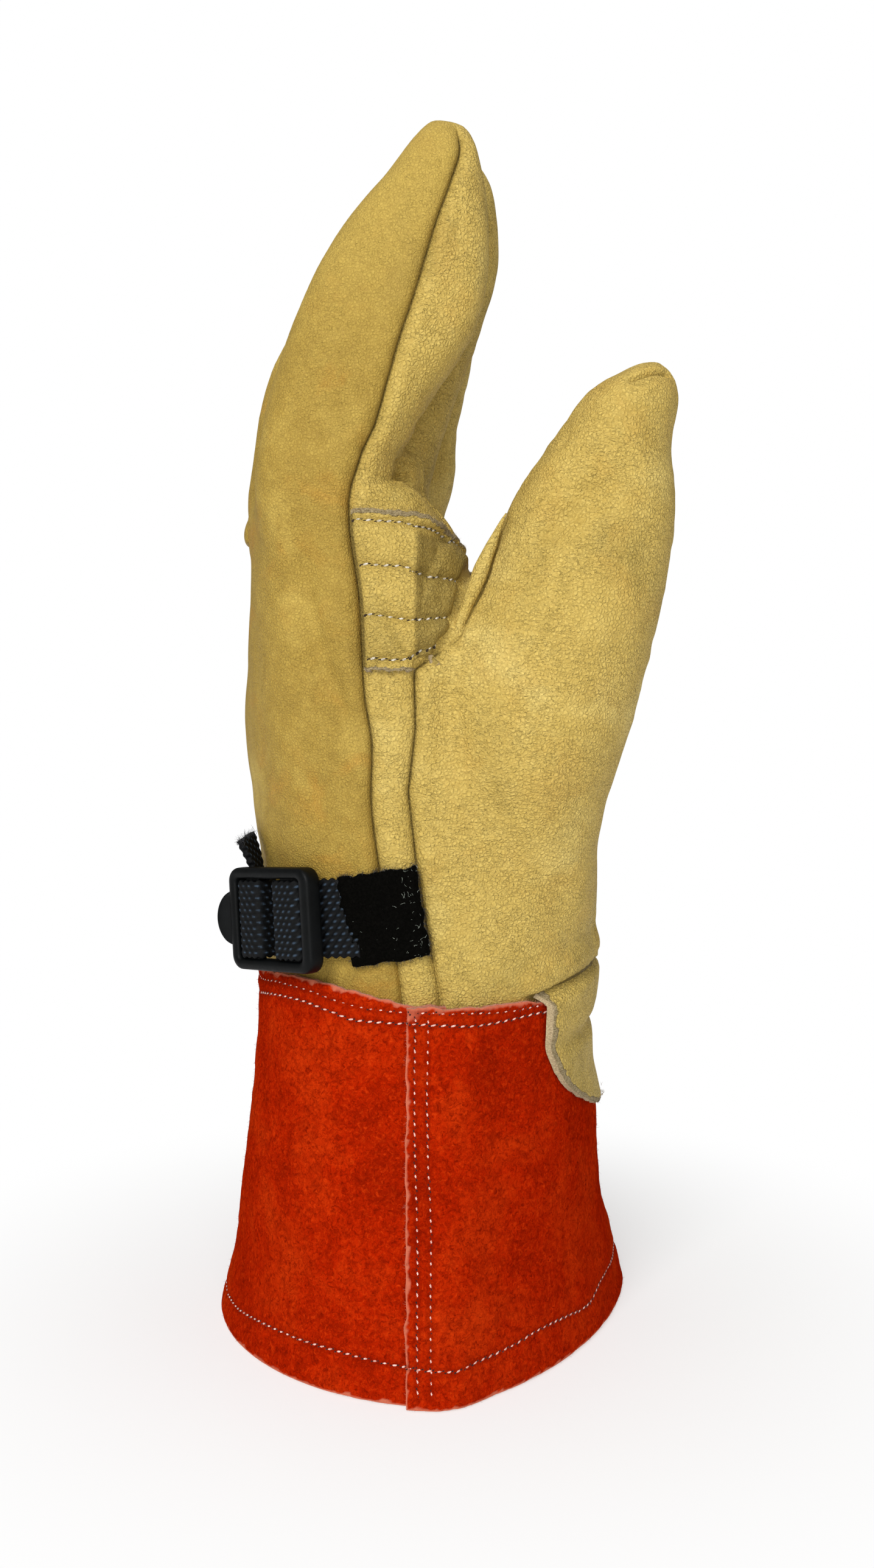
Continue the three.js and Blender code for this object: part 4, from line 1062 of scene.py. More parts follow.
@dataclass(frozen=True)
class Fold:
    """The sharp fold down the palm: flat on its left, falling away on its right."""

    x: float = -5.9
    near_y: float = -24.0
    low: float = 166.0
    high: float = 207.0
    slope: float = 0.6
    run: float = 6.0
    ridge: float = 0.5

    def place(self, points: Points) -> tuple[Points, Points]:
        """Where each point lies on the fold.

        Args:
            points: points of the bare skin.

        Returns:
            How far right of the ridge each is, and how strong the fold is there.
        """
        x, y, z = points.T
        across = x - self.x - 0.25 * Noise(29)(points, 9)
        share = smoothstep(self.low, self.low + 9, z) * smoothstep(self.high, self.high - 4, z)
        return across, share * smoothstep(self.near_y, self.near_y - 9, y)

    def wear_and_painted_shade(self, points: Points) -> Points:
        """How far each point is on the falling side, which gets painted shade, from 0 to 1."""
        across, share = self.place(points)
        return smoothstep(-0.7, 1.5, across) * share

    def shape(self, points: Points) -> Points:
        """How far each point moves outwards.

        Args:
            points: points of the bare skin.

        Returns:
            Distances, negative where the palm falls away.
        """
        across, share = self.place(points)
        fall = 0.5 * (across + np.sqrt(across**2 + 0.16))
        fall = self.run * np.tanh(fall / self.run)
        back = smoothstep(5, 15, across) * smoothstep(187, 200, points[:, 2])
        return (self.ridge * hump(across, 1.3) - self.slope * fall * (1 - back)) * share


@dataclass
class GloveSkin:
    """The leather hand as one fine skin, cut along its seams and creased."""

    voxel: float = 1.0
    wall: float = 2.0
    raised: float = 0.9
    groove_depth: float = 0.95
    groove_width: float = 0.6
    roll_depth: float = 0.55
    roll_width: float = 2.0
    pillow: float = 0.35
    seed: int = 11

    def build(self) -> None:
        """Forms, cuts and creases the skin."""
        self.skin = self.form()
        self.blend_roots()
        self.fit_outline()
        self.cut_panels()
        self.refine_seams()
        self.crease()
        log.info("skin: %d points, %d triangles", len(self.skin.points), len(self.skin.triangles))

    def form(self) -> Skin:
        """Joins the palm, the fingers and the thumb into one skin.

        Returns:
            The skin, with even triangles about a voxel wide.
        """
        foot = HAND_SECTIONS[0][0]
        levels = np.concatenate([np.linspace(foot, 203, 50), np.linspace(205, 218, 14)])
        steps = 120
        ring = HAND.points(np.tile(circle(steps), len(levels)), np.repeat(levels, steps))
        forms = [ring.reshape(len(levels), steps, 3)]
        forms += [limb.rings(70, 64) for limb in LIMBS] + [THUMB.rings(80, 84)]
        forms += [rounded_lump((WEB_PLACE[0], y, WEB_PLACE[1]), WEB_RADII) for y in BETWEEN]
        points, triangles = joined([closed_loft(rings) for rings in forms])
        for place, wide, tall, direction, depth in DENTS:
            flat = np.hypot(points[:, 0] - place[0], points[:, 1] - place[1]) / wide
            share = depth * np.exp(-(flat**2) - ((points[:, 2] - place[2]) / tall) ** 2)
            points += share[:, None] * np.array(direction)
        mesh = bpy.data.meshes.new("rough_hand")
        mesh.from_pydata(points.tolist(), [], triangles.tolist())
        rough = bpy.data.objects.new("rough_hand", mesh)
        bpy.context.scene.collection.objects.link(rough)
        remesh = rough.modifiers.new("even", "REMESH")
        remesh.mode = "VOXEL"
        remesh.voxel_size = self.voxel
        even = rough.evaluated_get(bpy.context.evaluated_depsgraph_get()).to_mesh()
        even.calc_loop_triangles()
        found = np.empty(len(even.vertices) * 3, np.float32)
        even.vertices.foreach_get("co", found)
        faces = np.empty(len(even.loop_triangles) * 3, np.int32)
        even.loop_triangles.foreach_get("vertices", faces)
        skin = Skin(found.reshape(-1, 3).astype(float), faces.reshape(-1, 3).astype(np.int64),
                    np.zeros(len(even.loop_triangles), np.int64))
        rough.to_mesh_clear()
        bpy.data.objects.remove(rough)
        bpy.data.meshes.remove(mesh)
        centres = skin.points[skin.triangles].mean(axis=1)
        return skin.part(centres[:, 2] > foot + 0.8)[0]

    def blend_roots(self) -> None:
        """Smooths the skin, most of all where the fingers and the thumb leave the palm."""
        skin = self.skin
        rim = np.ones(len(skin.points))
        rim[np.unique(skin.rim())] = 0
        skin.smooth(8, 0.5, rim)
        points = skin.points
        knuckles = hump(points[:, 2] - 212, 8) * (points[:, 0] < 14)
        root = hump(HAND.outside(points), 5) * smoothstep(-20, -10, points[:, 0]) * (points[:, 2] < 216)
        heel = hump(points[:, 2] - 118, 14) * (points[:, 0] > 5)
        weight = np.clip(np.maximum.reduce([0.9 * knuckles, root, heel]), 0, 1) * rim
        skin.smooth(26, 0.5, weight)

    def fit_outline(self) -> None:
        """Moves the sides of the skin to the outline in the photograph."""
        skin = self.skin
        x, y, z = skin.points.T
        facing = skin.normals()[:, 0]
        far = smoothstep(-27, -21, y)
        index, middle, palm, thumb = (
            np.interp(z, *np.array(table).T)
            for table in (INDEX_BACK_FIT, MIDDLE_BACK_FIT, INDEX_PALM_FIT, THUMB_FIT)
        )
        on_thumb = smoothstep(8, 22, x)
        palm = palm * smoothstep(-22, -28, y) * (1 - on_thumb)
        shift = (index + far * (middle - index)) * smoothstep(0.0, 0.7, -facing)
        shift += (palm + thumb * on_thumb) * smoothstep(0.0, 0.6, facing)
        skin.points[:, 0] += shift * smoothstep(81, 84, z)
        rim = np.ones(len(skin.points))
        rim[np.unique(skin.rim())] = 0
        skin.smooth(2, 0.5, rim)

    def seam_line(self, points: Points) -> Points:
        """Where the side seam of the nearest finger is, for each point.

        Args:
            points: points of the skin.

        Returns:
            The seam's x at each.
        """
        line = LIMBS[0].seam_x(points[:, 2])
        for edge, limb in zip(BETWEEN, LIMBS[1:]):
            share = smoothstep(edge - 1.5, edge + 1.5, points[:, 1])
            line = line + share * (limb.seam_x(points[:, 2]) - line)
        return line

    def palm_side(self, points: Points) -> Points:
        """How far each point is on the palm side of its side seam."""
        return (points[:, 0] - self.seam_line(points)) * 0.85

    def strip_side(self, points: Points, index: int) -> Points:
        """How far each point is inside the strip between two fingers.

        Args:
            points: points of the skin.
            index: the strip, from the index finger on.

        Returns:
            Distances, positive inside.
        """
        top = min(FINGERS[name][2][-3][3] for name in list(FINGERS)[index:index + 2]) - 2
        share = np.clip((points[:, 2] - 208) / (top - 208), 0, 1.2)
        half = 8 * (1 - 0.82 * share**2)
        inside = half - np.abs(points[:, 0] - self.seam_line(points)) * 0.85
        beside = np.minimum(points[:, 1] - FINGER_Y[index], FINGER_Y[index + 1] - points[:, 1])
        return np.minimum.reduce([inside, points[:, 2] - 208, top - points[:, 2], beside])

    def middle_back_side(self, points: Points) -> Points:
        """How far each point is inside the backs of the middle and ring fingers."""
        return np.minimum.reduce([points[:, 2] - 206, points[:, 1] - BETWEEN[0], BETWEEN[2] - points[:, 1]])

    def thumb_side(self, points: Points) -> Points:
        """How far each point is inside the outer thumb panel."""
        seam = np.interp(points[:, 2], *np.array(THUMB_SEAM).T)
        edge = np.interp(points[:, 2], *np.array(THUMB_EDGE).T)
        return np.minimum(points[:, 0] - seam, edge - points[:, 1]) * 0.9

    def thumb_inner_side(self, points: Points) -> Points:
        """How far each point is inside the inner half of the thumb."""
        x, z = points[:, 0], points[:, 2]
        away = np.where(z > 210, 5.0, HAND.outside(points) - 0.7)
        above = z - np.interp(x, (-8, 14, 40, 90), (168, 160, 148, 130))
        right = x - np.interp(z, (160, 186, 212, 213), (-8, -4, 8, 8))
        return np.minimum.reduce([away, above, right, 249 - z, 20 - points[:, 1]])

    def cut_panels(self) -> None:
        """Cuts the skin along every seam."""
        skin = self.skin
        skin.cut(self.palm_side(skin.points), Panel.PALM.value, (Panel.BACK.value,))
        for index, panel in enumerate((Panel.STRIP_INDEX, Panel.STRIP_MIDDLE, Panel.STRIP_RING)):
            skin.cut(self.strip_side(skin.points, index), panel.value, (0, 1))
        skin.cut(self.middle_back_side(skin.points), Panel.MIDDLE_BACK.value, (Panel.BACK.value,))
        skin.cut(self.thumb_side(skin.points), Panel.THUMB.value, (0, 1))
        skin.cut(self.thumb_inner_side(skin.points), Panel.THUMB_INNER.value, (0, 1))
        skin.settle()

    def refine_seams(self) -> None:
        """Makes the triangles beside the seams half as large."""
        skin = self.skin
        seams = skin.points[skin.seam_points()]
        skin.refine(distance_to(skin.points, seams, 3.0) < 2.6)
        seams = skin.points[skin.seam_points()]
        skin.refine(distance_to(skin.points, seams, 1.6) < 1.1)
        rest = np.ones(len(skin.points))
        rest[skin.seam_points()] = 0
        rest[np.unique(skin.rim())] = 0
        skin.smooth(3, 0.4, rest)

    def crease(self) -> None:
        """Presses the seams and creases in and swells the leather between them."""
        skin = self.skin
        normals = skin.steady_normals()
        hills = Noise(self.seed)
        points = skin.points
        seam = distance_to(points, points[skin.seam_points()], 9.0)
        sewn = seam < 8.9
        shift = np.zeros(len(points))
        x, y, z = points.T
        welted = smoothstep(174, 177, z) * smoothstep(0, 3, x)
        welted = welted * smoothstep(-18, -22, y) * smoothstep(222, 214, z)
        crotch = smoothstep(235, 230, z) * smoothstep(208, 211, z) * (self.palm_side(points) > 1.5) * (x < 12)
        drawn = (1 - welted) * (1 - 0.9 * crotch) * smoothstep(301, 296, z)
        groove = self.groove_depth * hump(seam, self.groove_width)
        shift -= (groove + self.roll_depth * hump(seam, self.roll_width)) * drawn
        hem = hem_height(x)
        lip = smoothstep(hem - 0.6, hem + 0.2, z) * smoothstep(hem + 8, hem + 1.5, z) * smoothstep(19, 25, x)
        shift += 1.3 * lip
        shift += self.raised * smoothstep(0, 1.3, self.middle_back_side(points)) * smoothstep(252, 222, z)
        shift += self.pillow * hump(seam - 3.4, 1.8) * sewn
        pucker = hills(points, 2.3) * 0.5 + hills(points + 50, 3.9) * 0.5
        shift += 0.28 * pucker * hump(seam - 2.0, 2.4) * sewn
        surface = Surface(points, skin.triangles)
        self.bare = surface
        shift += self.swelling(points) + 0.08 * hills(points + 31, 4.6)
        shift += self.wrinkles(points, hills)
        shade = np.zeros(len(points))
        for crease in CREASES:
            moved, shaded = crease.shape(surface, points)
            shift += moved
            shade = np.maximum(shade, shaded)
        low = smoothstep(80, 92, points[:, 2])
        skin.points = points + normals * (shift * low)[:, None]
        self.base = Skin(points, skin.triangles, skin.labels)
        self.base_normals = normals
        self.normals = skin.steady_normals()
        # Painted shade: darker colour below the hem's lip, along the creases, in the seam grooves and beside
        # the seams.
        shade = np.maximum(shade, smoothstep(hem + 0.3, hem - 0.4, z) * smoothstep(19, 24, x) * (z > 80))
        dark = np.maximum(hump(seam, 0.42) * drawn * (0.55 + 0.45 * smoothstep(98, 112, z)), shade)
        soft = np.minimum(1, 2.4 * shade)
        self.masks = {"seam": dark, "beside": np.maximum(hump(seam, 1.5) * drawn * sewn, soft)}
        self.surface = Surface(skin.points, skin.triangles)

    def swelling(self, points: Points) -> Points:
        """Soft hills and facets, which the palm patch follows too.

        Args:
            points: points near the bare skin.

        Returns:
            How far each point moves outwards.
        """
        hills = Noise(self.seed)
        total = 0.5 * hills(points, 21) + 0.25 * hills(points + 9, 9.5)
        thumb = np.maximum(self.thumb_side(points), self.thumb_inner_side(points))
        total += Fold().shape(points) * smoothstep(0.4, -3.0, thumb)
        return total + sum(facet.shape(self.bare, points)[0] for facet in FACETS)

    def wrinkles(self, points: Points, hills: Noise) -> Points:
        """Folds across the fingers and the thumb, where they bend.

        Args:
            points: points of the skin.
            hills: the random hills.

        Returns:
            How far each point moves outwards.
        """
        x, _, z = points.T
        joint = hump(z - 245 + 0.25 * x, 14) * smoothstep(-30, -5, x) * (x < 14)
        folds = hills(points, (7, 14, 2.6)) * 0.3 * joint
        thumb = smoothstep(12, 24, x) * smoothstep(150, 180, z) * smoothstep(244, 225, z)
        folds += hills(points + 17, (9, 8, 2.4)) * 0.2 * thumb
        heel = smoothstep(150, 130, z) * smoothstep(96, 108, z)
        folds += hills(points + 5, (12, 12, 6)) * 0.25 * heel
        low_palm = hump(z - 178, 20) * smoothstep(-20, -8, x)
        return folds + hills(points + 71, (6, 8, 3.2)) * 0.14 * low_palm

    def panel(self, panels: tuple[Panel, ...], name: str, node: str, slot: Slot,
              finishes: list[Material]) -> None:
        """Makes one leather piece of the skin.

        Args:
            panels: which panels it is made of.
            name: the piece's name.
            node: the CAD node that it stands for.
            slot: its slot.
            finishes: leather and raw edge.
        """
        keep = np.isin(self.skin.labels, [panel.value for panel in panels])
        part, used = self.skin.part(keep)
        masks = {key: values[used] for key, values in self.masks.items()}
        inside = part.points - self.normals[used] * self.wall
        sheet(part, inside, masks).to_object(name, finishes, slot, (node,))


# Finishes


def linear(code: str) -> tuple[float, float, float, float]:
    """A colour in the form that shaders take.

    Args:
        code: six hex digits, as on a screen.

    Returns:
        Red, green, blue and alpha in linear light.
    """
    parts = [int(code[at:at + 2], 16) / 255 for at in (0, 2, 4)]
    made = [part / 12.92 if part < 0.04045 else ((part + 0.055) / 1.055) ** 2.4 for part in parts]
    return (*made, 1.0)


class Nodes:
    """A node tree that is laid out call by call."""

    def __init__(self, tree: bpy.types.NodeTree) -> None:
        """Starts on a tree."""
        self.tree = tree

    def fill(self, node: bpy.types.Node, inputs: dict[str | int, Input]) -> None:
        """Sets or links the inputs of a node.

        Args:
            node: the node.
            inputs: a socket, a number, some numbers or a colour code for each input.
        """
        for key, value in inputs.items():
            if isinstance(value, Socket):
                self.tree.links.new(value, node.inputs[key])
            else:
                node.inputs[key].default_value = linear(value) if isinstance(value, str) else value

    def add(self, kind: str, inputs: dict[str | int, Input], out: str | int = 0, **settings: str) -> Socket:
        """Adds a node.

        Args:
            kind: what it is, without ShaderNode before it.
            inputs: its inputs, as for fill.
            out: which output is wanted.
            settings: its options.

        Returns:
            The output.
        """
        node = self.tree.nodes.new("ShaderNode" + kind)
        for key, value in settings.items():
            setattr(node, key, value)
        self.fill(node, inputs)
        return node.outputs[out]


class Paint(Nodes):
    """A material's nodes, with lengths in millimetres."""

    def __init__(self, name: str) -> None:
        """Starts a material of this name."""
        self.material = bpy.data.materials.new(name)
        self.material.use_nodes = True
        super().__init__(self.material.node_tree)
        self.shader = self.tree.nodes["Principled BSDF"]
        self.place = self.stretched(self.add("TexCoord", {}, "Object"), (1000, 1000, 1000))

    def stretched(self, vector: Socket, scale: Triple, turn: Triple = (0, 0, 0)) -> Socket:
        """Coordinates scaled and turned by degrees about each axis."""
        turn = [math.radians(part) for part in turn]
        return self.add("Mapping", {"Scale": scale, "Rotation": turn, "Vector": vector})

    def height(self) -> Socket:
        """The height above the floor, in millimetres."""
        return self.add("SeparateXYZ", {"Vector": self.place}, "Z")

    def noise(self, size: float, detail: float = 3, rough: float = 0.55, vector: Socket | None = None,
              distortion: float = 0.0) -> Socket:
        """Soft random spots.

        Args:
            size: their size in millimetres.
            detail: how many finer layers.
            rough: how strong the finer layers are.
            vector: coordinates other than the plain ones.
            distortion: how much they swirl.

        Returns:
            A number about 0.5.
        """
        inputs = {"Scale": 1 / size, "Detail": detail, "Roughness": rough, "Distortion": distortion}
        return self.add("TexNoise", {**inputs, "Vector": vector or self.place}, "Fac")

    def cells(self, size: float, feature: str, vector: Socket) -> Socket:
        """The distance from the nearest middle (F1) or edge (DISTANCE_TO_EDGE) of a pebble."""
        return self.add("TexVoronoi", {"Scale": 1 / size, "Vector": vector}, "Distance", feature=feature)

    def warped(self, size: float, amount: float) -> Socket:
        """Coordinates pushed about by noise of this size."""
        noise = self.add("TexNoise", {"Scale": 1 / size, "Vector": self.place}, "Color")
        return self.add("VectorMath", {0: noise, 1: (amount,) * 3, 2: self.place}, operation="MULTIPLY_ADD")

    def mask(self, name: str) -> Socket:
        """A number kept at the points of the mesh."""
        return self.add("Attribute", {}, "Fac", attribute_name=name)

    def steps(self, value: Socket, *stops: tuple[float, str]) -> Socket:
        """Turns a number into a colour.

        Args:
            value: the number.
            stops: a place and a colour for each step.

        Returns:
            The colour.
        """
        node = self.tree.nodes.new("ShaderNodeValToRGB")
        ramp = node.color_ramp
        while len(ramp.elements) < len(stops):
            ramp.elements.new(0.5)
        for element, (place, code) in zip(ramp.elements, stops):
            element.position = place
            element.color = linear(code)
        self.fill(node, {"Fac": value})
        return node.outputs["Color"]

    def between(self, value: Socket, low: float, high: float, to_low: float = 0.0,
                to_high: float = 1.0) -> Socket:
        """Stretches a number from one range to another, softly and held at its ends.

        Args:
            value: the number.
            low: where it starts.
            high: where it ends.
            to_low: what the start becomes.
            to_high: what the end becomes.

        Returns:
            The new number.
        """
        inputs = {"From Min": low, "From Max": high, "To Min": to_low, "To Max": to_high, "Value": value}
        return self.add("MapRange", inputs, interpolation_type="SMOOTHSTEP")

    def math(self, operation: str, first: Input, second: Input) -> Socket:
        """Arithmetic on two numbers: ADD, MULTIPLY, SUBTRACT, MAXIMUM and so on."""
        return self.add("Math", {0: first, 1: second}, operation=operation)

    def mixed(self, share: Input, first: Input, second: Input, blend: str = "MIX") -> Socket:
        """Two colours with this share of the second: MIX, MULTIPLY, OVERLAY and so on."""
        inputs = {0: share, 6: first, 7: second}
        return self.add("Mix", inputs, 2, data_type="RGBA", blend_type=blend)

    def relief(self, height: Socket, millimetres: float, under: Socket | None = None) -> Socket:
        """Bumps in the surface.

        Args:
            height: from 0 to 1.
            millimetres: how high 1 stands.
            under: coarser bumps that these lie on.

        Returns:
            The normal.
        """
        inputs = {"Distance": millimetres * MM, "Strength": 1.0, "Height": height}
        if under is not None:
            inputs["Normal"] = under
        return self.add("Bump", inputs)

    def finish(self, color: Socket, rough: Input, normal: Socket | None, sheen: float = 0.0,
               specular: float = 0.5, tint: str = "ffffff", sheen_rough: float = 0.5) -> Material:
        """Puts the parts on the shader.

        Args:
            color: base colour.
            rough: roughness.
            normal: bumps.
            sheen: soft shine of a nap.
            specular: strength of reflections.
            tint: colour of the sheen.
            sheen_rough: how wide the sheen is.

        Returns:
            The material.
        """
        self.fill(self.shader, {"Base Color": color, "Roughness": rough})
        if normal is not None:
            self.fill(self.shader, {"Normal": normal})
        self.fill(self.shader, {"Sheen Weight": sheen, "Sheen Roughness": sheen_rough, "Sheen Tint": tint,
                                "Specular IOR Level": specular})
        return self.material


@dataclass(frozen=True)
class GrainLeather:
    """Smooth-side leather with a fine grain, clouded colour, painted light at the fingertips and painted
    shade at seams and creases.
    """

    name: str
    deep: str
    main: str
    light: str
    cloud: str
    pebble: float = 0.75
    pebble_height: float = 0.12
    wrinkle_height: float = 0.0
    rough: float = 0.62
    clouding: float = 0.5
    painted_light_tips: float = 0.0
    # The colour of the painted shade in seam grooves, creases and shaded places.
    groove: str = "4a3a12"
    torn: tuple[str, str] = ("7d6843", "c7b48a")

    def make(self) -> Material:
        """Makes the material."""
        paint = Paint(self.name)
        color = self.colored(paint)
        grain = paint.cells(self.pebble, "DISTANCE_TO_EDGE", paint.warped(1.4, 0.7))
        pebbles = paint.between(grain, 0.0, 0.3)
        fine = paint.noise(0.32, 3, 0.7)
        nap = paint.noise(0.9, 3, 0.65, paint.stretched(paint.place, (1, 1, 0.7), (0, 25, 0)))
        color = paint.mixed(paint.between(grain, 0.14, 0.0, 0.0, 0.3), color, self.deep, "MULTIPLY")
        color = paint.mixed(paint.between(fine, 0.38, 0.68, 0.0, 0.3), color, self.light)
        color = paint.mixed(paint.between(nap, 0.52, 0.34, 0.0, 0.22), color, self.deep)
        normal = paint.relief(paint.noise(5, 3, 0.6), 0.32)
        if self.wrinkle_height:
            across = paint.stretched(paint.warped(6, 1.6), (0.34, 0.5, 1.0), (0, 10, 0))
            folds = paint.noise(0.95, 3, 0.55, across)
            middle = paint.math("ABSOLUTE", paint.math("SUBTRACT", folds, 0.5), 0.0)
            lines = paint.between(middle, 0.0, 0.03, 1.0, 0.0)
            place = paint.between(paint.noise(12, 2, 0.5), 0.2, 0.6)
            lines = paint.math("MULTIPLY", lines, place)
            normal = paint.relief(folds, self.wrinkle_height, normal)
            normal = paint.relief(paint.math("SUBTRACT", 1.0, lines), 0.5 * self.wrinkle_height, normal)
            color = paint.mixed(paint.between(folds, 0.46, 0.3, 0.0, 0.12), color, self.deep)
            color = paint.mixed(paint.math("MULTIPLY", lines, 0.12), color, self.deep)
        normal = paint.relief(pebbles, self.pebble_height, normal)
        normal = paint.relief(nap, 0.1, normal)
        normal = paint.relief(fine, 0.05, normal)
        # Painted shade: the beside mask darkens beside seams and creases and also marks the patch's stain;
        # the seam mask darkens seam grooves, creases and shaded places towards the groove colour.
        beside = paint.mask("beside")
        color = paint.mixed(paint.math("MULTIPLY", beside, 0.42), color, self.deep)
        seam = paint.mask("seam")
        color = paint.mixed(paint.between(seam, 0.25, 1.0, 0.0, 0.78), color, self.groove)
        raw = paint.between(paint.mask("raw"), 0.35, 0.65)
        fibres = paint.noise(0.45, 4, 0.75, paint.stretched(paint.place, (0.5, 0.5, 1.8)))
        color = paint.mixed(raw, color, paint.steps(fibres, (0.34, self.torn[0]), (0.66, self.torn[1])))
        normal = paint.relief(paint.math("MULTIPLY", raw, fibres), 0.5, normal)
        rough = paint.between(fine, 0.3, 0.7, self.rough - 0.05, self.rough + 0.1)
        return paint.finish(color, rough, normal, sheen=0.03, specular=0.16, tint="ffe2a0")

    def colored(self, paint: Paint) -> Socket:
        """The broad colour: soft patches, warm clouds, painted light towards the fingertips and a few specks.

        Args:
            paint: the material's nodes.

        Returns:
            The colour.
        """
        stops = (0.24, self.deep), (0.43, self.main), (0.56, self.main), (0.78, self.light)
        color = paint.steps(paint.noise(26, 3, 0.5, distortion=0.3), *stops)
        mottle = paint.noise(4.2, 4, 0.6)
        color = paint.mixed(paint.between(mottle, 0.42, 0.7, 0.0, 0.2), color, self.light)
        color = paint.mixed(paint.between(mottle, 0.5, 0.3, 0.0, 0.16), color, self.deep)
        clouds = paint.between(paint.noise(15, 3, 0.55, distortion=0.5), 0.5, 0.74)
        # Painted light: paler towards the fingertips, in place of the light that falls on them.
        low = paint.between(paint.height(), 235, 285, 1.0, 1.0 - self.painted_light_tips)
        clouds = paint.math("MULTIPLY", paint.math("MULTIPLY", clouds, self.clouding), low)
        color = paint.mixed(clouds, color, self.cloud)
        color = paint.mixed(paint.math("SUBTRACT", 1.0, low), color, self.light)
        specks = paint.between(paint.noise(2.6, 2, 0.5), 0.75, 0.82, 0.0, 0.35)
        return paint.mixed(specks, color, self.deep)


@dataclass(frozen=True)
class RawLeather:
    """The cut edge and flesh side of leather, fibrous and dull."""

    name: str
    dark: str
    light: str

    def make(self) -> Material:
        """Makes the material."""
        paint = Paint(self.name)
        fibres = paint.noise(0.5, 4, 0.75, paint.stretched(paint.place, (1, 1, 2.4)))
        color = paint.steps(fibres, (0.34, self.dark), (0.66, self.light))
        normal = paint.relief(paint.noise(0.9, 4, 0.8), 0.4)
        return paint.finish(color, 0.9, normal, sheen=0.3, specular=0.2, tint="fff4e0")


@dataclass(frozen=True)
class SplitSuede:
    """Split leather with a long nap: mottled, fuzzy, with no gloss."""

    name: str
    deep: str
    main: str
    light: str
    dusty: str

    def make(self) -> Material:
        """Makes the material."""
        paint = Paint(self.name)
        broad = paint.noise(22, 4, 0.6, distortion=0.4)
        color = paint.steps(broad, (0.1, self.deep), (0.48, self.main), (0.9, self.light))
        tufts = paint.noise(1.15, 5, 0.75, distortion=1.2)
        color = paint.mixed(paint.between(tufts, 0.32, 0.54, 0.92, 0.0), color, self.deep)
        color = paint.mixed(paint.between(tufts, 0.52, 0.68, 0.0, 0.7), color, self.light)
        patches = paint.noise(3.6, 4, 0.7, distortion=1.5)
        color = paint.mixed(paint.between(patches, 0.36, 0.54, 0.4, 0.0), color, self.deep)
        color = paint.mixed(paint.between(patches, 0.56, 0.72, 0.0, 0.28), color, self.light)
        hairs = paint.noise(0.3, 3, 0.8)
        color = paint.mixed(paint.between(hairs, 0.5, 0.3, 0.0, 0.35), color, self.deep)
        dark = paint.between(paint.noise(7, 4, 0.7, distortion=0.8), 0.6, 0.8, 0.0, 0.3)
        color = paint.mixed(dark, color, self.deep)
        edge = paint.between(paint.mask("raw"), 0.35, 0.9, 0.0, 0.8)
        color = paint.mixed(edge, color, self.dusty)
        # Painted shade along the sunk stitch rows, from the seam mask.
        color = paint.mixed(paint.between(paint.mask("seam"), 0.1, 0.9, 0.0, 0.4), color, self.deep)
        normal = paint.relief(paint.noise(3.2, 4, 0.65, distortion=0.8), 0.4)
        normal = paint.relief(tufts, 0.26, normal)
        normal = paint.relief(hairs, 0.14, normal)
        return paint.finish(color, 1.0, normal, sheen=0.03, specular=0.0, tint="ff4a18", sheen_rough=0.6)


@dataclass(frozen=True)
class Yarn:
    """Sewing thread, fibres or fluff of one colour family."""

    name: str
    dark: str
    light: str
    rough: float = 0.85

    def make(self) -> Material:
        """Makes the material."""
        paint = Paint(self.name)
        color = paint.steps(paint.noise(0.7, 3, 0.7), (0.35, self.dark), (0.62, self.light))
        normal = paint.relief(paint.noise(0.16, 2, 0.6), 0.06)
        return paint.finish(color, self.rough, normal, sheen=0.2, specular=0.25)


@dataclass(frozen=True)
class BlackFelt:
    """Pressed black felt with a little lint in it."""

    name: str = "black_felt"

    def make(self) -> Material:
        """Makes the material."""
        paint = Paint(self.name)
        mat = paint.noise(0.8, 4, 0.8, distortion=1.0)
        color = paint.steps(mat, (0.3, "030302"), (0.7, "0d0c0a"))
        specks = paint.between(paint.cells(2.3, "F1", paint.warped(1.0, 0.8)), 0.06, 0.03, 0.0, 0.12)
        color = paint.mixed(specks, color, "6f7468")
        normal = paint.relief(mat, 0.5)
        normal = paint.relief(paint.noise(0.25, 2, 0.7), 0.12, normal)
        return paint.finish(color, 1.0, normal, sheen=0.0, specular=0.02)


@dataclass(frozen=True)
class WovenYarn:
    """The yarns of the webbing, lit on the nubs and black between them."""

    name: str = "webbing_yarn"
    low: str = "040506"
    high: str = "475a6e"

    def make(self) -> Material:
        """Makes the material."""
        paint = Paint(self.name)
        # Painted light and shade: the nub mask makes the tops of the nubs lighter, and the places between
        # them near black.
        height = paint.mask("nub")
        color = paint.steps(height, (0.3, self.low), (0.62, "141a21"), (0.95, self.high))
        threads = paint.noise(0.16, 2, 0.6, paint.stretched(paint.place, (0.5, 0.5, 1.6)))
        color = paint.mixed(paint.between(threads, 0.4, 0.65, 0.5, 0.0), color, self.low)
        wear_and_painted_shade = paint.between(paint.noise(2.2, 2, 0.5), 0.38, 0.6, 0.35, 0.0)
        color = paint.mixed(wear_and_painted_shade, color, self.low)
        normal = paint.relief(threads, 0.09)
        return paint.finish(color, 0.62, normal, sheen=0.0, specular=0.14)


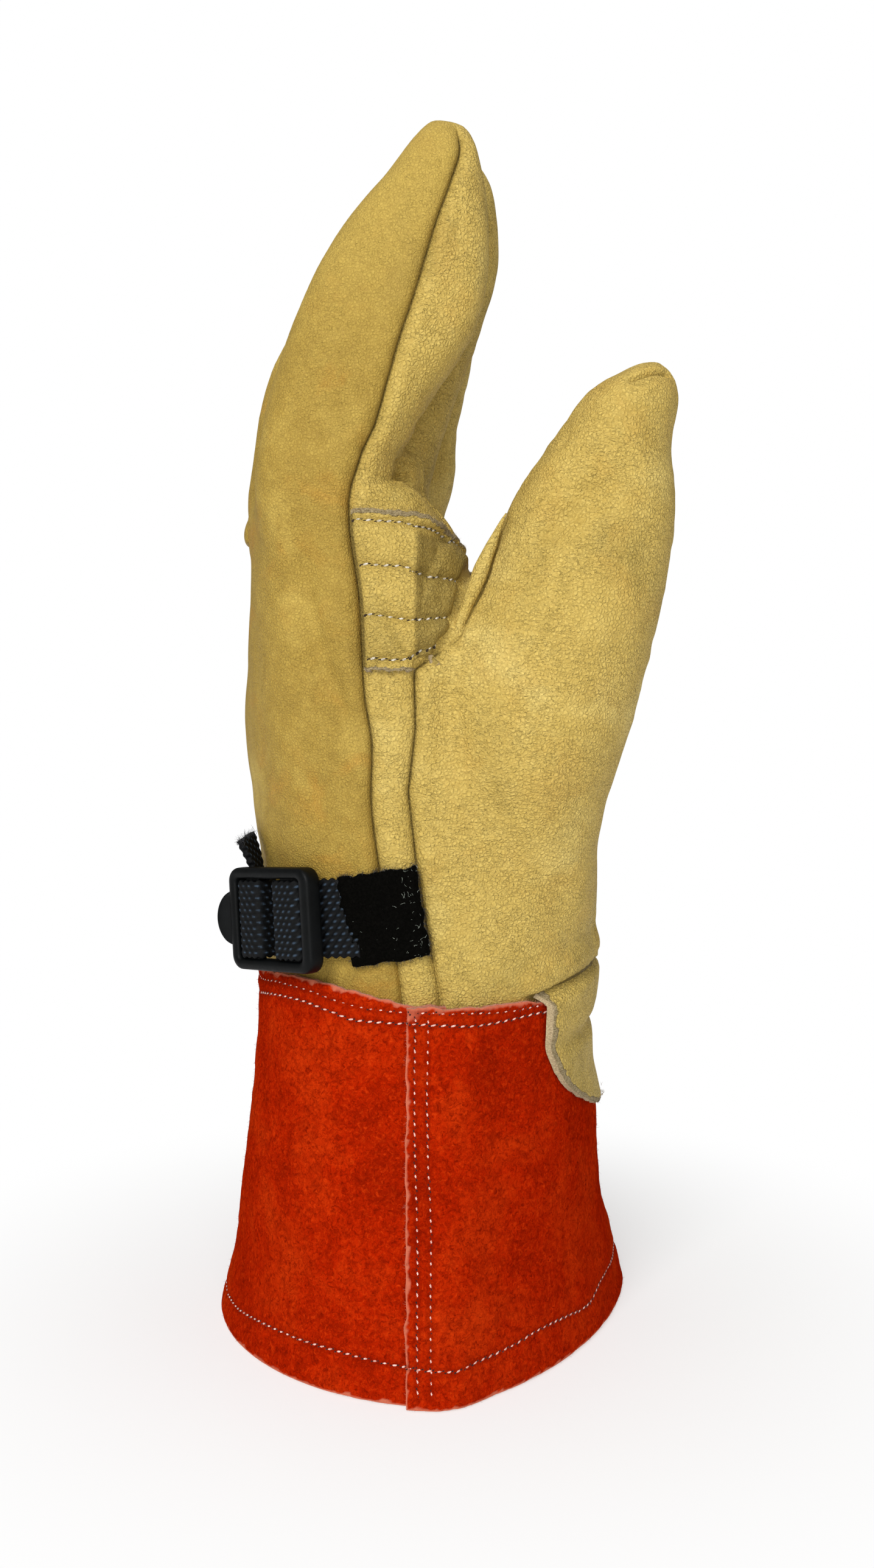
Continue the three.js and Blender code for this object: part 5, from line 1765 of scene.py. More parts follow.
@dataclass(frozen=True)
class MouldedPlastic:
    """Black moulded plastic with a fine satin texture and faint scuffs."""

    name: str = "black_plastic"

    def make(self) -> Material:
        """Makes the material."""
        paint = Paint(self.name)
        color = paint.steps(paint.noise(4, 4, 0.6), (0.3, "020303"), (0.7, "060809"))
        scuffs = paint.noise(1.2, 4, 0.8, paint.stretched(paint.place, (3, 3, 0.4)))
        scuffs = paint.between(scuffs, 0.68, 0.76)
        color = paint.mixed(paint.math("MULTIPLY", scuffs, 0.12), color, "2c3438")
        normal = paint.relief(paint.noise(0.22, 2, 0.6), 0.025)
        normal = paint.relief(scuffs, -0.02, normal)
        rough = paint.between(paint.noise(2.0, 4, 0.7), 0.3, 0.7, 0.42, 0.55)
        return paint.finish(color, rough, normal, specular=0.12)


@dataclass(frozen=True)
class PaleFloor:
    """The plain floor of the studio: it takes the glove's shadow and fades to white."""

    name: str = "studio_floor"
    shade_radius: float = 55.0
    white_radius: float = 190.0
    glow: float = 0.5

    def make(self) -> Material:
        """Makes the material."""
        paint = Paint(self.name)
        color = paint.steps(paint.noise(160, 2, 0.4), (0.2, "fbfbfa"), (0.8, "ffffff"))
        material = paint.finish(color, 0.9, None, specular=0.0)
        reach = paint.add("VectorMath", {0: paint.place}, "Value", operation="LENGTH")
        share = paint.between(reach, self.shade_radius, self.white_radius, self.glow, 1.0)
        white = paint.add("Emission", {"Color": "ffffff", "Strength": 1.0})
        shown = paint.add("MixShader", {"Fac": share, 1: paint.shader.outputs["BSDF"], 2: white})
        paint.fill(paint.tree.nodes["Material Output"], {"Surface": shown})
        return material


# The studio


@dataclass(frozen=True)
class SoftBox:
    """A soft rectangular light that looks at a point."""

    name: str
    place: Triple
    size: tuple[float, float]
    watts: float
    aim: Triple = (0.0, 0.0, 0.15)
    color: Triple = (1.0, 1.0, 1.0)

    def build(self) -> None:
        """Hangs the light."""
        data = bpy.data.lights.new(self.name, "AREA")
        data.shape = "RECTANGLE"
        data.size, data.size_y = self.size
        data.energy = self.watts
        data.color = self.color
        light = bpy.data.objects.new(self.name, data)
        light.location = self.place
        light.rotation_euler = (Vector(self.place) - Vector(self.aim)).to_track_quat("Z", "Y").to_euler()
        bpy.context.scene.collection.objects.link(light)


@dataclass
class Studio:
    """A white studio: pale floor, pale surroundings and three soft boxes."""

    floor_radius: float = 3.0
    background: float = 1.0
    surround: float = 0.24
    surround_color: tuple[float, ...] = (1.0, 0.99, 0.97, 1.0)
    lights: tuple[SoftBox, ...] = (
        SoftBox("key", (-0.5, -1.4, 1.05), (0.7, 0.7), 22.0, (0.0, 0.0, 0.22)),
        SoftBox("front", (0.1, -1.7, 0.55), (0.9, 1.1), 10.0, (0.0, 0.0, 0.22)),
        SoftBox("top", (0.0, 0.1, 1.5), (1.1, 1.1), 4.0),
    )

    def build(self) -> None:
        """Builds the floor, the surroundings and the lights."""
        self.build_floor()
        self.build_world()
        for light in self.lights:
            light.build()
        bpy.context.scene.view_settings.view_transform = "Standard"
        log.info("studio: %d lights", len(self.lights))

    def build_floor(self) -> None:
        """Lays a round floor with a turned-up rim, so that no edge shows."""
        radii = np.concatenate([np.linspace(0.02, self.floor_radius, 24), [self.floor_radius + 0.05]])
        angle = circle(72)
        rise = np.zeros(len(radii))
        rise[-1] = 0.02
        rings = np.stack([radii[:, None] * np.cos(angle), radii[:, None] * np.sin(angle),
                          np.broadcast_to(rise[:, None], (len(radii), 72))], 2).reshape(-1, 3)
        mesh = bpy.data.meshes.new("floor")
        quads = grid_faces(len(radii), 72, True)[:, ::-1].tolist()
        mesh.from_pydata(rings.tolist(), [], quads + [list(range(72))])
        mesh.materials.append(PaleFloor().make())
        floor = bpy.data.objects.new("floor", mesh)
        floor.location.z = -0.0004
        bpy.context.scene.collection.objects.link(floor)

    def build_world(self) -> None:
        """Makes the surroundings white to the camera and softer as a light."""
        world = bpy.data.worlds.new("studio")
        world.use_nodes = True
        world.node_tree.nodes.clear()
        nodes = Nodes(world.node_tree)
        seen_by_camera = nodes.add("LightPath", {}, "Is Camera Ray")
        seen = nodes.add("Background", {"Strength": self.background, "Color": (1.0, 1.0, 1.0, 1.0)})
        lit = nodes.add("Background", {"Color": self.surround_color, "Strength": self.surround})
        shown = nodes.add("MixShader", {"Fac": seen_by_camera, 1: lit, 2: seen})
        nodes.fill(world.node_tree.nodes.new("ShaderNodeOutputWorld"), {"Surface": shown})
        bpy.context.scene.world = world


# Threads and fibres


def rod_faces(count: int, rings: int, steps: int) -> Triangles:
    """The triangles of many rods with the same number of rings.

    Args:
        count: how many rods.
        rings: rings in each.
        steps: points in each ring.

    Returns:
        The triangles of all of them, with the ends closed.
    """
    ring = np.arange(1, steps - 1)
    zero = np.zeros(steps - 2, int)
    low = np.stack([zero, ring + 1, ring], 1)
    high = np.stack([zero, ring, ring + 1], 1) + (rings - 1) * steps
    one = np.vstack([triangles_of(grid_faces(rings, steps, True)), low, high])
    return (one[None] + (np.arange(count) * rings * steps)[:, None, None]).reshape(-1, 3)


@dataclass
class Stitching:
    """Sewn rows: short lengths of twisted thread that dip into holes."""

    name: str
    slot: Slot
    thread: bpy.types.Material
    hole: bpy.types.Material
    radius: float = 0.29
    pitch: float = 2.56
    share: float = 0.62
    lift: float = 0.26
    slant: float = 0.2
    hole_radius: float = 0.44
    seed: int = 3
    starts: list[Points] = field(default_factory=list)
    ends: list[Points] = field(default_factory=list)
    normals: list[Points] = field(default_factory=list)

    def sew(self, surface: Surface, line: Points, sunk: float, guide: Surface) -> None:
        """Lays one row of stitches.

        Args:
            surface: what is sewn.
            line: the row's corners, near the surface.
            sunk: how far the thread is pulled in.
            guide: the same surface without its dents, whose normals lead to the surface.
        """
        rng = np.random.default_rng(self.seed + len(self.starts))
        lengths = run_along(line)
        count = int(lengths[-1] / self.pitch)
        at = (np.arange(count) + rng.uniform(-0.04, 0.04, count) + 0.35) * self.pitch
        size = self.pitch * self.share * rng.uniform(0.92, 1.06, count)
        for start, end in zip(points_after(at, line, lengths), points_after(at + size, line, lengths)):
            normal = guide.nearest(0.5 * (start + end))[1]
            low, high = surface.under(start, normal), surface.under(end, normal)
            if low is None or high is None or np.linalg.norm(high - low) > 1.6 * self.pitch:
                continue
            aside = np.cross(normal, high - low) * self.slant
            self.starts.append(low - aside - normal * sunk)
            self.ends.append(high + aside - normal * sunk)
            self.normals.append(normal)

    def build(self) -> None:
        """Makes the row of threads and the holes that they come from."""
        rings, steps = 10, 8
        start, end = np.array(self.starts), np.array(self.ends)
        out = np.array(self.normals)
        run = end - start
        ahead = unit(run)
        out = unit(out - (out * ahead).sum(1, keepdims=True) * ahead)
        aside = np.cross(out, ahead)
        t = np.linspace(0, 1, rings)
        arch = np.sin(np.pi * t) ** 0.7
        angle = circle(steps)
        turn = angle[None] - 5.2 * t[:, None] * self.pitch
        radius = self.radius * (0.62 + 0.38 * arch)[:, None] * (1 + 0.26 * np.cos(2 * turn))
        middle = start[:, None] + run[:, None] * t[:, None]
        middle = middle + out[:, None] * (self.lift * arch - 0.28)[:, None]
        cos, sin = radius * np.cos(angle), radius * np.sin(angle)
        points = middle[:, :, None] + aside[:, None, None] * cos[..., None]
        points = points + out[:, None, None] * sin[..., None]
        threads = rod_faces(len(start), rings, steps)
        total, faces = joined([(points.reshape(-1, 3), threads), self.holes(start, end, ahead, aside, out)])
        finishes = (np.arange(len(faces)) >= len(threads)).astype(int)
        Shell(total, faces, finishes).to_object(self.name, [self.thread, self.hole], self.slot)

    def holes(self, start: Points, end: Points, ahead: Points, aside: Points,
              out: Points) -> tuple[Points, Triangles]:
        """Dark domes at both ends of each stitch: painted shade for the needle holes.

        Args:
            start: where the threads start.
            end: where they end.
            ahead: along each thread.
            aside: across each thread.
            out: away from the surface.

        Returns:
            Points and triangles of low closed domes.
        """
        steps = 10
        angle = circle(steps)
        middle = np.vstack([start - 0.12 * ahead, end + 0.12 * ahead])
        ahead, aside, out = (np.vstack([part, part]) for part in (ahead, aside, out))
        rings = []
        for share, height in ((0.5, -0.3), (1.0, 0.0), (0.85, 0.12), (0.4, 0.14)):
            size = self.hole_radius * share
            ring = middle[:, None] + size * (1.25 * np.cos(angle)[:, None] * ahead[:, None]
                                             + 0.8 * np.sin(angle)[:, None] * aside[:, None])
            rings.append(ring + height * out[:, None])
        points = np.stack(rings, 1)
        return points.reshape(-1, 3), rod_faces(len(middle), 4, steps)


def fibres(roots: Points, directions: Points, length: tuple[float, float], radius: float, curl: float,
           seed: int) -> tuple[Points, Triangles]:
    """Short bent fibres.

    Args:
        roots: where each starts.
        directions: which way each leaves.
        length: shortest and longest.
        radius: at the root.
        curl: how much they bend.
        seed: for the chances.

    Returns:
        Points and triangles of thin closed rods.
    """
    rng = np.random.default_rng(seed)
    count, rings, steps = len(roots), 4, 3
    ahead = unit(directions + rng.normal(0, 0.45, (count, 3)))
    bend = unit(np.cross(ahead, rng.normal(0, 1, (count, 3))))
    other = np.cross(ahead, bend)
    size = rng.uniform(*length, count)[:, None, None]
    t = np.linspace(0, 1, rings)[None, :, None]
    middle = roots[:, None] + ahead[:, None] * size * t + bend[:, None] * size * curl * t**2
    angle = circle(steps)
    thick = radius * (1 - 0.7 * t[..., None])
    ring = bend[:, None, None] * np.cos(angle)[:, None] + other[:, None, None] * np.sin(angle)[:, None]
    return (middle[:, :, None] + thick * ring).reshape(-1, 3), rod_faces(count, rings, steps)


# The pieces on the hand


def rim_fibres(points: Points, normals: Points, edges: np.ndarray, count: int, length: tuple[float, float],
               radius: float, wall: float, seed: int) -> tuple[Points, Triangles]:
    """Fibres along the raw edge of a piece of leather.

    Args:
        points: the outer face.
        normals: its normals.
        edges: the directed edges of its rim.
        count: how many fibres.
        length: shortest and longest.
        radius: at the root.
        wall: the leather's thickness.
        seed: for the chances.

    Returns:
        Points and triangles.
    """
    rng = np.random.default_rng(seed)
    sizes = np.linalg.norm(points[edges[:, 1]] - points[edges[:, 0]], axis=1)
    chosen = rng.choice(len(edges), count, p=sizes / sizes.sum())
    a, b = edges[chosen, 0], edges[chosen, 1]
    share = rng.uniform(0, 1, (count, 1))
    along = unit(points[b] - points[a])
    outward = unit(np.cross(along, normals[a]))
    depth = rng.uniform(-0.05, wall, (count, 1))
    roots = points[a] * (1 - share) + points[b] * share - normals[a] * depth - outward * 0.15
    lean = outward + 0.5 * normals[a] * rng.uniform(-1, 1, (count, 1))
    return fibres(roots, lean, length, radius, 0.5, seed + 1)


@dataclass
class PalmPatch:
    """The reinforcement over the palm, sewn down in four rows between its raw edges."""

    skin: GloveSkin
    gap: float = 0.45
    wall: float = 1.7
    far_y: float = 37.0
    sink: float = 1.0
    fibre_count: int = 1700
    label: int = 9
    rows: tuple[Pairs, ...] = (
        ((576, 851), (620, 853), (669, 857), (696, 865), (715, 873), (740, 886)),
        ((583, 925), (630, 928), (674, 932), (681, 937), (716, 946), (776, 954)),
        ((590, 1007), (640, 1013), (681, 1018), (718, 1015), (756, 1011)),
        ((590, 1080), (630, 1083), (669, 1083), (693, 1070), (716, 1063)),
    )
    hidden_rows: tuple[float, ...] = (198.2, 190.5, 182.5, 174.6)
    stain: Pairs = ((643, 1040), (652, 1052), (663, 1064))

    def outline(self, points: Points) -> Points:
        """How far each point is inside the patch's outline.

        Args:
            points: points of the skin.

        Returns:
            Distances, positive inside.
        """
        sewn = [self.skin.palm_side(points) - 0.35, -self.skin.thumb_side(points) - 0.3,
                -self.skin.thumb_inner_side(points) - 0.3]
        return np.minimum.reduce([self.torn_side(points), *sewn])

    def torn_side(self, points: Points) -> Points:
        """How far each point is inside the patch's raw edges.

        Args:
            points: points of the skin.

        Returns:
            Distances, positive inside.
        """
        x, y, z = points.T
        top = np.interp(x, (-20.3, -6, -3.2, -1.2, 3.9, 6.0, 8.2),
                        (209.2, 209.0, 208.5, 207.0, 205.2, 202.6, 198))
        low = np.interp(x, (-18, -6.1, -3.6, -1, 1.4, 4.2, 5.3, 6.6, 8),
                        (172.2, 172, 172.9, 175.2, 177.9, 180, 184, 188.5, 192))
        ragged = Noise(5)
        torn = 0.4 * ragged(points, 2.4) + 0.25 * ragged(points, 0.9)
        return np.minimum.reduce([top - z, z - low, self.far_y - y]) + torn

    def build(self, finishes: Finishes) -> None:
        """Makes the patch, its raw edges and its stitches.

        Args:
            finishes: the glove's materials.
        """
        skin = self.skin
        palm, _ = skin.base.part(skin.base.labels == Panel.PALM.value)
        box = (palm.points[:, 2] > 168) & (palm.points[:, 2] < 214)
        palm, _ = palm.part(box[palm.triangles].all(axis=1))
        palm.refine(np.ones(len(palm.points), bool))
        palm.cut(self.outline(palm.points), self.label, (Panel.PALM.value,))
        piece = self.largest(palm.part(palm.labels == self.label)[0])
        rim = np.unique(piece.rim())
        clean = 1 - smoothstep(1.6, 3.0, piece.points[:, 0]) * (piece.points[:, 2] < 188)
        torn = rim[(self.torn_side(piece.points[rim]) < 0.15) & (clean[rim] > 0.5)]
        sewn = np.setdiff1d(rim, torn)
        edge = distance_to(piece.points, piece.points[torn], 3.0)
        inner = sewn[self.skin.palm_side(piece.points[sewn]) > 2]
        tucked = distance_to(piece.points, piece.points[sewn], 3.0)
        buried = distance_to(piece.points, piece.points[inner], 4.0)
        height = skin.swelling(piece.points) + self.gap + self.wall
        piece.points = piece.points + piece.steady_normals() * height[:, None]
        normals = piece.steady_normals()
        surface = Surface(piece.points, piece.triangles)
        lines = [self.row_line(surface, *row) for row in zip(self.rows, self.hidden_rows)]
        shift = np.zeros(len(piece.points))
        nearest = np.min([line_distance(piece.points, line)[0] for line in lines], axis=0)
        rows = hump(nearest, 0.85) * (1 - 0.85 * hump(tucked, 1.5))
        shift += 0.75 * smoothstep(0.8, 4.6, nearest) - self.sink * rows
        hills = Noise(23)
        shift += 0.3 * hills(piece.points, 11) + 0.14 * hills(piece.points, 3.4) * hump(nearest - 1.6, 1.6)
        shift += 0.12 * hills(piece.points, (3.0, 5.0, 2.2))
        shift -= 0.5 * hump(edge, 0.55) + 1.2 * hump(tucked, 0.8) + 3.4 * hump(buried, 2.2)
        corner = smoothstep(-4.2, -1.8, piece.points[:, 0]) * (piece.points[:, 2] < 184)
        shift -= 1.9 * hump(edge, 1.2) * corner
        stained = line_distance(piece.points, surface.line_behind(self.stain))[0]
        piece.points = piece.points + normals * shift[:, None]
        normals = piece.steady_normals()
        stain = hump(stained + 0.6 * hills(piece.points, 0.9), 1.0)
        wear_and_painted_shade = Fold().wear_and_painted_shade(piece.points)
        thin = 0.6 + 0.4 * smoothstep(182, 195, piece.points[:, 2])
        raw = smoothstep(1.5, 0.8, (edge + 0.3 * hills(piece.points, 1.3)) / thin)
        # Painted shade: darker colour along the sewn rows, at the tucked sewn edges and on the falling side
        # of the fold; the stain is a real mark.
        masks = {"seam": np.maximum.reduce([0.6 * hump(nearest, 0.55), hump(tucked, 0.7), 0.68 * wear_and_painted_shade]),
                 "beside": np.maximum.reduce([0.6 * hump(nearest, 1.6), 1.8 * stain, hump(tucked, 1.8)]),
                 "raw": raw * clean * (1 - 0.7 * corner)}
        shell = sheet(piece, piece.points - normals * self.wall, masks, SHARP)
        shell.to_object("palm_patch_leather", [finishes["palm"], finishes["raw"]], Slot.PALM, ("palm_patch",))
        edges = piece.rim()
        edges = edges[np.isin(edges[:, 0], torn) & np.isin(edges[:, 1], torn) & (corner[edges[:, 0]] < 0.5)]
        count = self.fibre_count
        points, faces = rim_fibres(piece.points, normals, edges, count, (0.3, 1.0), 0.045, self.wall, 41)
        Shell(points, faces).to_object("palm_patch_fibres", [finishes["raw"]], Slot.PALM)
        stitches = Stitching("palm_patch_stitches", Slot.PALM, finishes["thread"], finishes["hole"])
        finished = Surface(piece.points, piece.triangles)
        for line in lines:
            stitches.sew(finished, line, 0.05, surface)
        stitches.build()

    def largest(self, piece: Skin) -> Skin:
        """The largest connected part of a skin.

        Args:
            piece: the skin.

        Returns:
            Its largest part.
        """
        group = np.arange(len(piece.points))
        edges = piece.edges()
        while True:
            low = np.minimum(group[edges[:, 0]], group[edges[:, 1]])
            fresh = group.copy()
            np.minimum.at(fresh, edges[:, 0], low)
            np.minimum.at(fresh, edges[:, 1], low)
            fresh = fresh[fresh]
            if (fresh == group).all():
                break
            group = fresh
        main_group = np.argmax(np.bincount(group))
        return piece.part(group[piece.triangles[:, 0]] == main_group)[0]

    def row_line(self, surface: Surface, pixels: Pairs, height: float) -> Points:
        """One sewn row, from the side seam across the palm.

        Args:
            surface: the patch.
            pixels: the row in the photograph.
            height: its height where the photograph doesn't show it.

        Returns:
            The row's corners.
        """
        seen = surface.line_behind(pixels)
        y = np.linspace(seen[-1][1] + 5, self.far_y - 2, 30)
        z = height + (seen[-1][2] - height) * np.exp(-(y - y[0]) / 9)
        hidden = HAND.palm_points(y, z, self.gap + self.wall)
        line = np.vstack([seen, np.array([surface.nearest(point)[0] for point in hidden])])
        keep = np.concatenate([[True], np.linalg.norm(np.diff(line, axis=0), axis=1) > 0.2])
        return line[keep]


@dataclass
class KnuckleFlap:
    """The rolled lower edge of the middle and ring finger backs.

    Each row of the outline is a place on the roll: how far out from the hand, and its height.
    """

    low_y: float = BETWEEN[0] + 1.2
    high_y: float = BETWEEN[2] - 1.2
    outline: Pairs = (
        (0.6, 214.5), (0.95, 212.6), (1.15, 211.4), (1.75, 210.0), (2.2, 208.4), (2.3, 206.9), (2.05, 205.5),
        (1.45, 204.6), (0.7, 204.5), (0.1, 205.1), (-0.4, 207), (-0.3, 211),
    )
    levels: tuple[float, float] = (202.5, 214.5)

    def build(self, leather: Material, surface: Surface, raised: float) -> None:
        """Makes the roll.

        Args:
            leather: its finish.
            surface: the finished skin.
            raised: how far the finger backs stand out from the hand.
        """
        corners = np.array(self.outline)
        closed = np.vstack([corners, corners[:1]])
        place = np.linspace(0, len(corners), 60, endpoint=False)
        profile = cubic_along(place, np.arange(len(closed)), closed)
        hills = Noise(77)
        across = np.linspace(self.low_y, self.high_y, 90)
        base = []
        for level, above in zip(self.levels, (0.0, raised)):
            hits = [surface.tree.ray_cast(Vector((-90, y, level)), Vector((1, 0, 0)))[0] for y in across]
            x = np.array([hit.x if hit is not None else -46.0 for hit in hits]) + above
            base.append(np.convolve(np.pad(x, 6, "edge"), np.ones(13) / 13, "valid"))
        rings = []
        for index, y in enumerate(across):
            end = min(y - self.low_y, self.high_y - y)
            size = math.sqrt(max(0.02, 1 - max(0.0, 1 - end / 1.8) ** 2))
            z = 207 + (profile[:, 1] - 207) * (0.55 + 0.45 * size)
            x = base[0][index] + (base[1][index] - base[0][index]) * (z - self.levels[0]) / 12
            ring = np.stack([x - profile[:, 0] * size, np.full(60, y), z], 1)
            ring[:, 0] -= 0.12 * hills(ring, 5) * (profile[:, 0] > 1)
            ring[:, 2] += 0.25 * hills(ring + 9, 7)
            rings.append(ring)
        points, faces = closed_loft(np.array(rings))
        shell = Shell(points, faces, masks={"seam": np.zeros(len(points)), "beside": np.zeros(len(points))})
        shell.to_object("middle_back_roll", [leather], Slot.BACK)


def tube(line: Points, radius: Points, steps: int = 12) -> tuple[Points, Triangles]:
    """A round tube along a line.

    Args:
        line: its middle.
        radius: at each point of the line.
        steps: points in each ring.

    Returns:
        Points and triangles of the closed tube.
    """
    ahead = unit(np.gradient(line, axis=0))
    side = unit(np.cross(ahead, np.array([0.31, 0.2, 0.93])))
    other = np.cross(ahead, side)
    angle = circle(steps)
    ring = side[:, None] * np.cos(angle)[:, None] + other[:, None] * np.sin(angle)[:, None]
    return closed_loft(line[:, None] + radius[:, None, None] * ring)


def resampled(line: Points, count: int) -> Points:
    """A number of points spaced evenly on a smooth curve through the corners of a line."""
    run = run_along(line)
    return cubic_along(np.linspace(0, run[-1], count), run, line)


@dataclass
class ThumbWelt:
    """The rolled welt on the inner edge of the thumb panel.

    Each row holds a place in the photograph and the roll's radius there, all in pixels.
    """

    places: tuple[Triple, ...] = (
        (722, 1071, 0.5), (731, 1064, 2), (747, 1046, 5), (758, 1018, 8), (769, 990, 10), (780, 965, 11.5),
        (792, 932, 12), (801, 910, 10), (810, 890, 7.5), (819, 869, 4.5), (826, 854, 2.5), (832, 843, 0.8),
    )
    pixel: float = 0.152

    def build(self, leather: Material, surface: Surface) -> None:
        """Makes the welt.

        Args:
            leather: its finish.
            surface: the finished skin.
        """
        line, radius, depth, rays = [], [], [], []
        for px, py, size in resampled(np.array(self.places), 100):
            hit = surface.behind(px + size + 9, py)
            if hit is None:
                continue
            depth.append(hit[0][1] + 0.9)
            rays.append(surface.camera.ray(px, py))
            radius.append(size * self.pixel)
        depth = np.convolve(np.pad(depth, 12, "reflect", reflect_type="odd"), np.ones(25) / 25, "valid")
        for (start, ahead), level in zip(rays, depth):
            line.append(np.array(start) + np.array(ahead) * (level - start[1]) / ahead[1])
        line, radius = np.array(line), np.array(radius)
        radius = radius * (1 + 0.07 * Noise(8)(line, 4)) + 0.05
        points, faces = tube(line, radius, 20)
        shell = Shell(points, faces, masks={"seam": np.zeros(len(points)), "beside": np.zeros(len(points))})
        shell.to_object("thumb_panel_welt", [leather], Slot.PALM)


@dataclass
class WristEdge:
    """The raw edge of the palm leather that shows along the wrist."""

    radius: float = 0.5
    count: int = 160
    fibre_count: int = 1300

    def build(self, raw: Material, skin: GloveSkin) -> None:
        """Makes the edge with its fibres.

        Args:
            raw: its finish.
            skin: the finished skin.
        """
        points = skin.skin.points
        seam = skin.skin.seam_points() & (points[:, 0] > 22) & (points[:, 2] > 95) & (points[:, 2] < 150)
        found = points[seam]
        found = found[np.argsort(found[:, 2])]
        height = np.arange(96.5, 149, 1.0)
        near = [found[np.abs(found[:, 2] - z) < 1.3].mean(axis=0) for z in height]
        line = np.array(near) + np.array([0.35, -0.2, 0])
        line = resampled(line, self.count)
        hills = Noise(45)
        line[:, 0] += 0.12 * hills(line, 1.6)
        share = np.linspace(0, 1, self.count)
        size = self.radius * (1 + 0.3 * hills(line + 7, 1.3)) * smoothstep(1.02, 0.9, share)
        made, faces = tube(line, size, 10)
        Shell(made, faces).to_object("palm_panel_raw_edge", [raw], Slot.PALM)
        rng = np.random.default_rng(46)
        chosen = rng.choice(len(made) - 2, self.fibre_count)
        lean = np.array([0.8, -0.6, 0.2]) + rng.normal(0, 0.5, (self.fibre_count, 3))
        made, faces = fibres(made[chosen], lean, (0.25, 0.8), 0.04, 0.6, 47)
        Shell(made, faces).to_object("palm_panel_edge_fibres", [raw], Slot.PALM)


@dataclass
class Slab:
    """A sheet laid on a grid: outer and inner face, with its raw edge between them."""

    outer: Points
    inner: Points
    masks: dict[str, Points]

    def build(self, name: str, finishes: list[Material], slot: Slot, node: str) -> Skin:
        """Makes the sheet.

        Args:
            name: the piece's name.
            finishes: face and edge.
            slot: its slot.
            node: the CAD node that it stands for.

        Returns:
            The outer face, for stitches and fibres.
        """
        rows, columns, _ = self.outer.shape
        quads = grid_faces(rows, columns)
        corners = self.outer.reshape(-1, 3)[quads[:, :3]]
        inward = self.inner.reshape(-1, 3)[quads[:, 0]] - self.outer.reshape(-1, 3)[quads[:, 0]]
        facing = (np.cross(corners[:, 1] - corners[:, 0], corners[:, 2] - corners[:, 0]) * inward).sum()
        if facing > 0:
            quads = quads[:, ::-1]
        skin = Skin(self.outer.reshape(-1, 3), triangles_of(quads), np.zeros(2 * len(quads), int))
        sheet(skin, self.inner.reshape(-1, 3), self.masks, SHARP).to_object(name, finishes, slot, (node,))
        return skin


CUFF = LevelForm((
    (0, -57.62, 51.6, 0, -62, 64.1, 14, 1.85, 1.55),
    (17, -53.3, 47, -0.8, -59, 60.2, 11, 1.92, 1.62),
    (28, -52, 44, -1.3, -56.8, 57.4, 8, 1.98, 1.7),
    (44, -50.5, 42.3, -2.2, -53.5, 53.5, 5, 2.05, 1.8),
    (56, -49, 41.4, -3, -51, 51, 3, 2.12, 1.9),
    (70, -47.3, 38.2, -3.6, -48.2, 48.2, 1, 2.18, 2.08),
    (77, -46.6, 38.2, -4, -46.9, 46.9, 0, 2.2, 2.2),
    (91, -46.4, 39.6, -4, -46.4, 46.4, 0, 2.2, 2.25),
    (98, -46.6, 40.2, -4, -46.6, 46.6, 0, 2.2, 2.25),
    (103, -46.7, 40.5, -4, -46.6, 46.6, 0, 2.2, 2.25),
), ("x_back", "x_palm", "x_mid", "y_near", "y_far", "y_turn", "n_back", "n_palm"))


